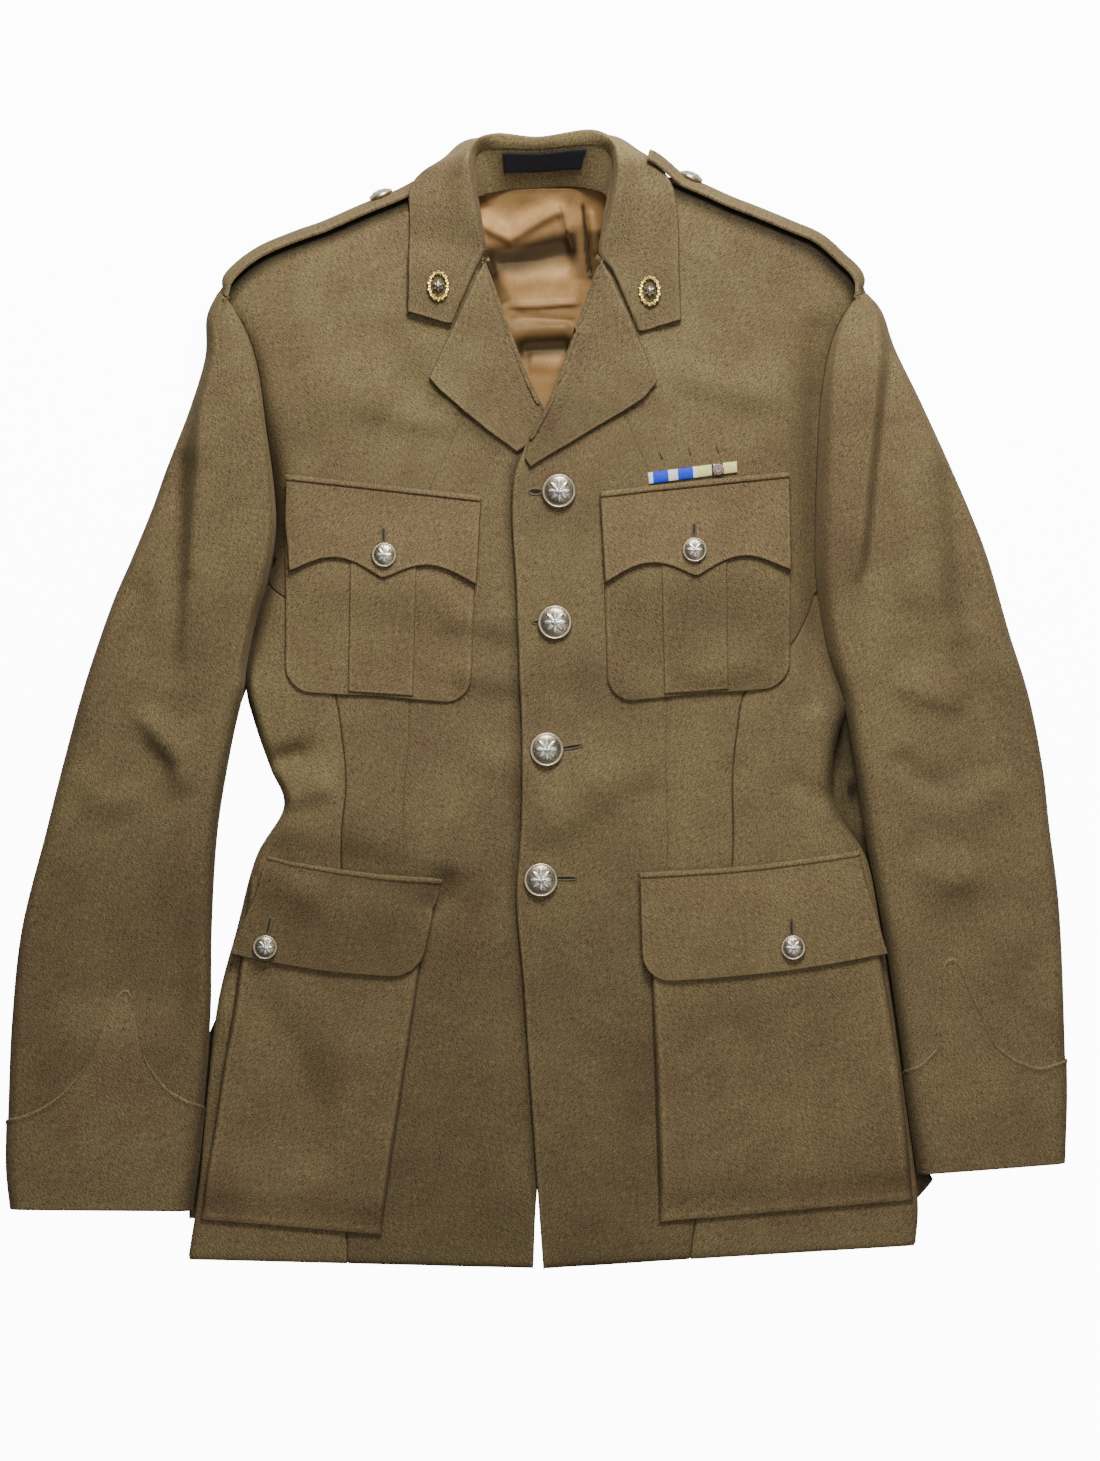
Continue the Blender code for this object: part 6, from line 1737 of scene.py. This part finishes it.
def collar():
    """Turned-down collar from gorge to gorge, and the stand and label inside the neck."""
    rows = collar_lines()
    at = np.arange(len(rows), dtype=float)
    coarse = np.linspace(0, len(rows) - 1, COLLAR_STEPS)
    fine = np.interp(pinched(600, 3.0), np.linspace(0, 1, COLLAR_STEPS), coarse)
    outer, crest_line, seam = (through(at, rows[:, k:k + 3], fine) for k in (0, 3, 6))
    middle = outer + LEAF_MIDDLE * (crest_line - outer)
    width = norm((crest_line - outer)[:, :2], axis=-1)
    wide = ease(width, LEAF_WIDE - 12, LEAF_WIDE + 8)
    middle[:, 2] += LEAF_BULGE[0] + (LEAF_BULGE[1] - LEAF_BULGE[0]) * wide
    inside = (crest_line + seam) / 2
    inside[:, 2] += ROLL_BULGE
    runs = np.stack([outer, middle, crest_line, inside, seam])
    across = np.concatenate([pinched(46, 2.4) * 0.86, np.linspace(0.86, 1, 9)[1:]])
    grid = np.moveaxis(through(LEAF_KNOTS, runs, across), 0, 1)
    grid, away = folded(grid, 1.1, ALL_EDGES[:3])
    low = np.array(NECK_SEAM, float)
    first, last = STAND_ROWS
    share = np.clip((fine - first) / (last - first), 0, 1)
    down = through(low[:, 0], low[:, 1:], share) - seam
    down /= norm(down, axis=-1, keepdims=True)
    out = seam[:, :2] - NECK_CENTRE
    out /= norm(out, axis=-1, keepdims=True)
    behind = seam + down * (2.0 + STAND_TUCK * np.abs(2 * share - 1))[:, None]
    behind[:, :2] += out * 1.8
    # painted shade along the rim and over the collar, taken off at the back neck, where a painted
    # highlight lightens the roll
    lit_nape = ease(grid[..., 1], 376, 392)
    painted_shade_mark = np.maximum(painted_rim_shade(away), COLLAR_PAINTED_SHADE) * (1 - 0.9 * lit_nape)
    painted_shade_mark = np.pad(painted_shade_mark, ((0, 0), (0, 1)), mode="edge")
    edge_mark = np.pad(np.maximum(wear_and_highlight(away), 2.4 * lit_nape), ((0, 0), (0, 1)), mode="edge")
    grid = np.concatenate([grid, behind[:, None]], axis=1)
    cloth("collar_leaf", grid, BARATHEA, marks={"seam": painted_shade_mark, "edge": edge_mark})

    stations = np.linspace(first, last, 110)
    share = (stations - first) / (last - first)
    upper = through(at, rows[:, 6:9], stations)
    lower = through(low[:, 0], low[:, 1:], share)
    down = (lower - upper) / norm(lower - upper, axis=-1, keepdims=True)
    upper = upper + down * (SEAM + STAND_TUCK * np.abs(2 * share - 1)[:, None])
    t = pinched(30, 2.0)[None, :, None]
    grid = upper[:, None] * (1 - t) + lower[:, None] * t
    away = edge_distance(grid, ("first_column", "last_column"))
    cloth("collar_stand", grid, BARATHEA, marks={"seam": 0.8 * bell(away, 0.7),
                                                 "edge": 0 * away})

    s, t = np.meshgrid(np.linspace(*LABEL_SPAN, 60), np.linspace(*LABEL_RISE, 14))
    face = through(at, rows[:, 6:9], first + s * (last - first)) * (1 - t[..., None])
    face = face + through(low[:, 0], low[:, 1:], s) * t[..., None]
    normal = np.cross(face[0, -1] - face[0, 0], face[-1, 0] - face[0, 0])
    normal *= np.sign(normal[2]) / norm(normal)
    away = edge_distance(face, ALL_EDGES)
    face = face + normal * (CLEAR + SEAM + LINING_CLOTH - 0.5 * roll_off(away, 1.0)[..., None])
    cloth("neck_label", face, LINING_CLOTH, "label", facing=normal,
          marks={"seam": bell(away - 1.6, 0.35), "edge": 0 * away})


# Folds of the satin lining in the neck: width to the left and to the right of a path, height,
# then the path.
SATIN_FOLDS = ((6, 4, 4.6, -44, 346, -34, 338, -20, 331, -2, 342, 12, 350, 24, 352),
               (6, 6, -3.0, -36, 318, 0, 321, 25, 327), (2.6, 2.6, 2.0, -20, 283, 31, 285.5),
               (3, 3, -1.6, -18, 277, 29, 272), (7, 7, 2.4, -30, 300, 28, 304),
               (5, 5, 2.4, -24, 264, 26, 268), (5, 5, -2.6, -14, 254, 24, 256),
               (6, 6, 2.4, -8, 242, 20, 240), (2.2, 2.2, 2.0, 15, 356, 20, 340, 26, 320),
               (2.2, 2.2, -2.8, 32, 358, 35, 330, 38, 304), (2.4, 2.4, 2.0, 37, 354, 42, 318),
               (3, 3, 1.6, -46, 345, -30, 300))
# Bands where the satin turns from the light, and (negative) where it catches it: the same.
SATIN_BANDS = ((10, 12, 1.0, -46, 318, -33, 318, -16.5, 317, 0, 323, 13.5, 327.5, 32, 328),
               (1.6, 1.6, 1.0, 32, 360, 34, 340, 36, 320, 38.5, 300),
               (1.1, 1.1, 0.6, 15, 358, 20, 340, 26, 322), (7, 7, 0.5, 30, 344, 30, 300),
               (8, 8, 0.7, 42, 340, 44, 300), (6, 6, 0.8, -36, 312, -29, 296, -22, 284),
               (8, 8, 1.0, -20, 253, -2, 254, 32, 257),
               (1.1, 1.1, 0.6, -24, 281.5, 0, 281, 34, 284), (0.8, 0.8, 0.4, -22, 276, 30, 274),
               (5, 7, 0.55, -50, 366, -42, 362, -38, 352), (2, 2, 0.3, -34, 365, 40, 367),
               (7, 7, -0.6, -46, 350, -20, 340, -2, 352, 24, 358),
               (11, 11, -0.5, -30, 297, 32, 300),
               (4, 4, 0.3, -22, 267, 28, 269), (6, 6, 0.3, 44, 356, 50, 330),
               (6, 6, -0.3, -10, 236, 16, 236))


# where the lining ends at the top, and the least it lies above the back
LINING_TOP = 367.5
LINING_LOW = 3.4


def neck_lining():
    """Satin lining laid down the inside of the back, risen to the neck seam, in soft folds."""
    rows = np.array(LINING, float)
    y = np.linspace(rows[0, 0], LINING_TOP, 150)
    left, right, height = (through(rows[:, 0], rows[:, k], y) for k in (1, 2, 3))
    share = np.linspace(0, 1, 90)
    x = left[:, None] + share[None, :] * (right - left)[:, None]
    ys = np.repeat(y[:, None], len(share), axis=1)
    bowl = 3.5 * ease(ys, 352, 368) + 7.0 * ease(np.abs(x - 2), 30, 52) * ease(ys, 320, 352)
    z = height[:, None] + bowl + swell_height(x, ys, SATIN_FOLDS, 0.15)
    z = np.maximum(z, LINING_LOW)
    # the seam mark carries the satin's painted bands of shade and reflection
    cloth("neck_lining", np.stack([x, ys, z], axis=-1), LINING_CLOTH, "satin",
          marks={"seam": np.clip(swell_height(x, ys, SATIN_BANDS, 0.12, 4), -1, 1)})


# ---------------------------------------------------------------- straps and trim

def strap(side, half):
    """Shoulder strap standing on the shoulder's edge, with a sewn line round it."""
    section = np.array(STRAP_SECTION)
    steps = 22
    line = run_along(section, steps)
    start, end = STRAP_SPAN[side]
    f = np.repeat((start + (end - start) * pinched(190, 3.0))[None, :], steps, axis=0)
    keep, over = STRAP_TAPER
    past = line[:, :1] * (1 - keep * bell(f, over))
    past = past + STRAP_STRAY[side] * ease(f, *STRAP_STRAYS)
    height = np.repeat(line[:, 1:], f.shape[1], axis=1)
    grid = half.shoulder(f, past, height)
    away = edge_distance(grid, ALL_EDGES)
    near = bell(away - 4.2, 0.5)
    cloth(f"shoulder_strap_{side}", grid, STRAP_CLOTH, facing=(0, 1, 0.3),
          marks={"seam": 0.5 * near, "edge": wear_and_highlight(away)})

    at = STRAP_BUTTON_AT[side] + np.array([[-0.01, 0.01]] * 2)
    past, height = np.repeat(section[[1, 3]].T[..., None], 2, axis=2)
    ends = half.shoulder(at, past, height)
    normal = np.cross(ends[0, 1] - ends[0, 0], ends[1, 0] - ends[0, 0])
    normal *= np.sign(normal[1]) / norm(normal)
    centre = ends.mean(axis=(0, 1)) + normal * (CLEAR + STRAP_BUTTON_GAP)
    metal_button(f"strap_button_{side}", centre, normal, SMALL_BUTTON)


# leaves on each side of a wreath; its band's section by shares across and of its height
LEAVES = 14
BAND_OUT = np.array((0, 0.06, 0.18, 0.34, 0.5, 0.66, 0.82, 0.94, 1.0, 0.9, 0.1))
BAND_TOP = np.array((0, 0.45, 0.75, 0.92, 1.0, 0.92, 0.75, 0.45, 0, -0.05, -0.05))
# points round a button or star, rings on its face, and share of the radius of a star's boss
ROUND_STEPS = 144
STAR_RINGS = 16
STAR_BOSS = 0.3


def badge(side):
    """Oval wreath of overlapping leaves round a small rayed star, flat on the collar leaf."""
    x, y = BADGES[side]
    tilt = BADGE_TILT * OUTWARD[side]
    z = body_height(x, y) + COLLAR_LIFT - BADGE_SINK + CLEAR
    loop = around_once(240)[:, None]
    out = BAND_OUT[None, :]
    from_top = np.abs(np.mod(loop + np.pi, 2 * np.pi) - np.pi)
    leaf = np.mod(from_top * LEAVES / np.pi + 0.9 * np.abs(out - 0.5), 1.0)
    swell = 0.55 + 0.45 * np.sin(np.pi * leaf) ** 0.6
    rib = 1 - 0.35 * bell(out - 0.5, 0.08)
    wave = 1 + WREATH_WAVE * np.cos(LEAVES * from_top)
    tie = 1 + 0.25 * bell(from_top - np.pi, 0.16)
    ring_x = (WREATH_HALF[0] * wave - WREATH_BAND * (1 - out)) * np.sin(loop)
    ring_y = (WREATH_HALF[1] * wave - WREATH_BAND * (1 - out)) * np.cos(loop)
    raised = BAND_TOP * swell * rib * tie
    ring_z = z + raised * BADGE_THICK + tilt * ring_x
    points = np.stack([x + ring_x, y + ring_y, ring_z], axis=-1)
    corner = np.arange(points.size // 3).reshape(points.shape[:2])
    ahead, beside = np.roll(corner, -1, axis=0), np.roll(corner, -1, axis=1)
    faces = np.stack([corner, ahead, np.roll(ahead, -1, axis=1), beside], -1).reshape(-1, 4)
    thing = make_object(f"badge_wreath_{side}_metal", points.reshape(-1, 3), faces, "gilt",
                        marks={"raised": np.clip(raised, 0, 1)})
    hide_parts(f"badge_wreath_{side}")

    back, edge, middle = STAR_HEIGHTS
    front = np.linspace(0.03, 1, STAR_RINGS)
    share = np.append(front, (1.0, 0.9, 0.3))
    height = np.append(middle + (edge - middle) * front, (back, back, back))
    face = np.append(np.ones(STAR_RINGS), np.zeros(3))

    def rays(part, turn):
        ridge = np.abs(np.cos(STAR_POINTS * turn))
        boss = half_round(part / STAR_BOSS)
        return 0.5 * ridge * part * (1 - part) * 3 + 0.6 * boss

    points, faces, worth = disc((share * STAR_RADIUS, height, face), ROUND_STEPS, rays)
    turn = np.arctan2(points[:, 1], points[:, 0])
    pull = 1 - (1 - STAR_WAIST) * (np.abs(np.mod(turn * STAR_POINTS / np.pi, 2) - 1))
    points[:, :2] *= pull[:, None]
    points[:, 2] += z + tilt * points[:, 0]
    points[:, :2] += (x, y)
    thing = make_object(f"badge_star_{side}_metal", points, faces, "silver",
                        marks={"raised": np.clip(worth / 0.6, 0, 1)})
    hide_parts(f"badge_star_{side}")


# rosette: rings on its face, points round it, height at shares of its radius
ROSETTE_RINGS = 20
ROSETTE_STEPS = 84
ROSETTE_DOME = ((0, 1.8), (0.6, 1.6), (1, 0.7))
# thread loops above the ribbons: top x, y and foot x, y
THREAD_LOOPS = (((86.7, 178.2), (89.6, 172.2)), ((108.3, 181.7), (109.3, 175.0)),
                ((127.8, 183.9), (129.3, 177.2)))


def ribbons(half):
    """Two medal ribbons side by side on one bar, the rosette on the outer one, and the three
    thread loops sewn above them."""
    spans = {"ribbon_inner": (0, RIBBON_SPLIT - RIBBON_GAP),
             "ribbon_outer": (RIBBON_SPLIT + RIBBON_GAP, 1)}
    for name, (start, end) in spans.items():
        s, t = np.meshgrid(start + (end - start) * pinched(32, 0.8), pinched(8.5, 0.6))
        xy = corners_to_grid(RIBBON_BAR, s, t)
        grid = laid(half, xy, CLEAR + RIBBON_THICK)
        grid, away = folded(grid, 0.5)
        cloth(name, grid, RIBBON_THICK, name,
              marks={"stripe": (s - start) / (end - start), "edge": 0 * away})
    x, y, radius = ROSETTE
    spot, _ = spot_on(half, x, y, 2 * CLEAR + RIBBON_THICK)
    front = np.linspace(0.05, 1, ROSETTE_RINGS)
    share = np.append(front, (0.97, 0.5))
    height = np.append(straight(ROSETTE_DOME, front), (0, 0))
    face = np.append(np.ones(ROSETTE_RINGS), np.zeros(2))

    def petals(part, turn):
        return 0.35 * np.abs(np.sin(7 * turn)) * part - 0.5 * bell(part, 0.2)

    points, faces, _ = disc((share * radius, height, face), ROSETTE_STEPS, petals)
    thing = make_object("ribbon_rosette_silk", points + spot, faces, "rosette",
                        marks={"raised": np.append(np.repeat(share, ROSETTE_STEPS), (0, 0))})
    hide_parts("ribbon_rosette")
    for k, (top, foot) in enumerate(THREAD_LOOPS, start=1):
        s = np.linspace(0, 1, 20)[:, None]
        xy = np.array(top) + s * (np.array(foot) - np.array(top))
        lift = -0.5 + 1.6 * np.sqrt(np.maximum(1 - (2 * s[:, 0] - 1) ** 4, 0))
        tube(f"ribbon_loop_{k}", laid(half, xy, lift), 0.55, "thread")


# ---------------------------------------------------------------- folds beside the body

# Folds of the back showing between each side and the sleeve: y, inner x, outer x, height of the
# inner and of the outer edge, depth of painted shade.
SIDE_FOLD = {
    "left": ((-2, 215, 219, 6, 8, 1.3), (-24, 211, 224, 4, 8, 1.3),
             (-42, 207, 229.5, 3, 6.5, 1.15), (-54, 207.5, 230.5, 3, 6, 0.8),
             (-68, 208, 231.5, 3, 6, 0.85), (-92, 214, 236, 3, 5, 0.8),
             (-106, 224, 239, 2.4, 3, 1.3), (-112, 226, 239.5, 2.4, 3, 1.5),
             (-160, 239, 249, 2.4, 2.4, 1.5), (-220, 249, 259, 2.4, 2.4, 1.5),
             (-280, 257, 267, 2.4, 2.4, 1.5), (-325, 264, 274, 2.4, 2.4, 1.5),
             (-338, 266, 281, 2.4, 1.8, 1.4), (-344, 267, 284.5, 2.4, 1.8, 0.9),
             (-350, 267, 280, 2.4, 1.8, 0.8), (-357, 267, 273.5, 2.4, 1.8, 0.7)),
    "right": ((-228, -228, -231, 2.4, 2.4, 1.5), (-240, -229, -236.5, 2.4, 2.4, 1.5),
              (-270, -231, -240.5, 2.4, 2.4, 1.5), (-305, -234, -244.5, 2.4, 2.4, 1.5),
              (-345, -237, -249.5, 2.4, 2.4, 1.5), (-364, -239, -250.5, 2.4, 2.4, 1.3),
              (-372, -240, -250.5, 2.4, 2.4, 0.9)),
}
# painted shade of a dark hollow in the left fold: x, y, half width, half height
FOLD_HOLE = (226.0, -64.0, 5.0, 9.0)


def side_fold(side):
    """Fold of the back panel pushed out under the sleeve, with painted shade, a painted dark hollow
    and a painted dark slit.
    """
    table = np.array(SIDE_FOLD[side], float)[::-1]
    y = np.linspace(table[0, 0], table[-1, 0], 200)
    inner, outer, low, high, shade = (np.interp(y, table[:, 0], table[:, k])[:, None]
                                      for k in range(1, 6))
    share = np.linspace(0, 1, 14)[None, :]
    x = inner + (outer - inner) * share
    crease = 2.0 * bell(share - 0.62 - 0.001 * y[:, None], 0.16)
    z = low + (high - low) * share + crease * ease(y[:, None], -104, -84)
    grid = np.stack([x, np.broadcast_to(y[:, None], x.shape), z], axis=-1)
    hole_x, hole_y, wide, tall = FOLD_HOLE
    hole = np.exp(-((y[:, None] - hole_y) / tall) ** 2 - ((x - hole_x) / wide) ** 2)
    # painted shadow as a black slit along the outer edge of the lower part
    slit = 1.5 * ease(share, 0.6, 0.95) * (1 - ease(y[:, None], -92, -76)) * (shade > 1.0)
    mark = np.clip(np.maximum(shade + 0.8 * hole, slit), 0, 1.55)
    thing = flat_piece(f"side_fold_{side}", grid, "barathea", 1.6, {"seam": mark, "edge": 0 * x})
    area = quad_area(grid) * MM**2
    tall = (y[-1] - y[0]) * MM


# ---------------------------------------------------------------- floor, light and camera

FLOOR_HALF = 2.2
FLOOR_BELOW = 0.0005
FLOOR_PALE = (0.72, 0.72, 0.71, 1)
# how bright the floor is to the camera alone, and the strength of the surround
FLOOR_GLOW = 12.0
SKY_STRENGTH = 0.34
# surround by height: grey below, dark round the horizon, bright overhead
SKY = ((0.0, (0.5, 0.5, 0.5)), (0.35, (0.05, 0.05, 0.055)), (0.7, (0.2, 0.205, 0.22)),
       (0.9, (0.5, 0.51, 0.54)), (0.97, (1.8, 1.8, 1.8)))
CAMERA_AT = (0.00895, -0.0215)
CAMERA_HIGH = 5.0
CHEST_HIGH = 0.02
FRAME_TALL = 1.046
SENSOR = 36.0
LIGHTS = (
    # name, place, aimed at, size, power, colour
    ("key", (0.12, 1.1, 0.9), (0.0, 0.12, 0.0), 0.55, 23.0, (1.0, 0.985, 0.95)),
    ("top", (0.1, 0.35, 2.6), (0.0, 0.0, 0.0), 0.7, 5.0, (1.0, 1.0, 1.0)),
    ("fill", (0.75, -0.7, 1.9), (0.05, -0.25, 0.0), 1.2, 4.6, (0.99, 0.985, 0.97)),
)


def floor_and_light():
    """Plain pale floor, three soft lights and a pale surround, and the camera overhead."""
    s, t = np.meshgrid(np.linspace(-1, 1, 3), np.linspace(-1, 1, 3))
    points = np.stack([s * FLOOR_HALF, t * FLOOR_HALF, 0 * s - FLOOR_BELOW], -1).reshape(-1, 3)
    mesh = bpy.data.meshes.new("floor")
    mesh.from_pydata(points.tolist(), [], grid_faces(3, 3).tolist())
    made, web, shader = make_material("pale_floor")
    seen = web.add("LightPath").outputs["Is Camera Ray"]
    fed(web, shader, Base_Color=FLOOR_PALE, Roughness=0.9,
        Emission_Color=(1, 1, 1, 1), Emission_Strength=web.math("MULTIPLY", seen, FLOOR_GLOW))
    mesh.materials.append(made)
    floor = bpy.data.objects.new("floor", mesh)
    bpy.context.scene.collection.objects.link(floor)

    for name, place, aim, size, power, colour in LIGHTS:
        data = bpy.data.lights.new(name, "AREA")
        data.shape, data.size, data.energy, data.color = "DISK", size, power, colour
        lamp = bpy.data.objects.new(name, data)
        lamp.location = place
        away = Vector(place) - Vector(aim)
        lamp.rotation_euler = away.to_track_quat("Z", "Y").to_euler()
        bpy.context.scene.collection.objects.link(lamp)

    world = bpy.data.worlds.new("studio")
    world.use_nodes = True
    web = Web(world.node_tree)
    up = web.split(web.add("TexCoord").outputs["Generated"])[2]
    back = world.node_tree.nodes["Background"]
    web.set_inputs(back, {"Color": web.ramp(up, SKY), "Strength": SKY_STRENGTH})
    bpy.context.scene.world = world

    data = bpy.data.cameras.new("camera")
    data.sensor_fit = "VERTICAL"
    data.sensor_height = SENSOR
    data.lens = SENSOR * (CAMERA_HIGH - CHEST_HIGH) / FRAME_TALL
    camera = bpy.data.objects.new("camera", data)
    camera.location = (*CAMERA_AT, CAMERA_HIGH)
    bpy.context.scene.collection.objects.link(camera)
    bpy.context.scene.camera = camera


# ---------------------------------------------------------------- the whole tunic

# Buttonholes: start x, y; end x, y; how far they gape.
FRONT_HOLES = (((-5, 148.9), (2.5, 148.9), 0.9), ((-2.4, 55.8), (1.2, 55.8), 0.2),
               ((18, -34.3), (30.5, -32.3), 0.15), ((13.5, -127.2), (27, -127.2), 0.15))
POCKET_HOLES = {
    "breast_hole_right": ((-109.8, 121.3), (-109.6, 112.5), 5.8),
    "breast_hole_left": ((111.8, 124.8), (111.6, 117.5), 5.8),
    "lower_hole_right": ((-191.0, -156.1), (-193.5, -166.5), 8.1),
    "lower_hole_left": ((181.3, -157.9), (181.6, -168.0), 8.1),
}


def main():
    """Both halves with their sleeves, pockets and trim, then what is made once."""
    halves = {side: Half(side) for side in SIDES}
    for side, half in halves.items():
        sleeve = Sleeve(side, half)
        front_panel(side, half)
        side_panel(side, half)
        back_panel(side, half)
        sleeve_panels(side, sleeve)
        cuff(side, sleeve)
        breast_pocket(side, half)
        lower_pocket(side, half)
        lapel(side, half)
        strap(side, half)
        badge(side)
        side_fold(side)
    collar()
    neck_lining()
    ribbons(halves["left"])
    for k, (x, y) in enumerate(FRONT_BUTTONS, start=1):
        button(f"front_button_{k}", halves["left"], x, y, 0.0, BIG_BUTTON)
    for k, (start, end, gape) in enumerate(FRONT_HOLES, start=1):
        buttonhole(f"front_hole_{k}", halves["left"], start, end, 0.0, gape)
    for name, (start, end, lift) in POCKET_HOLES.items():
        buttonhole(name, halves[name.split("_")[2]], start, end, lift, 0.1)
    floor_and_light()


main()
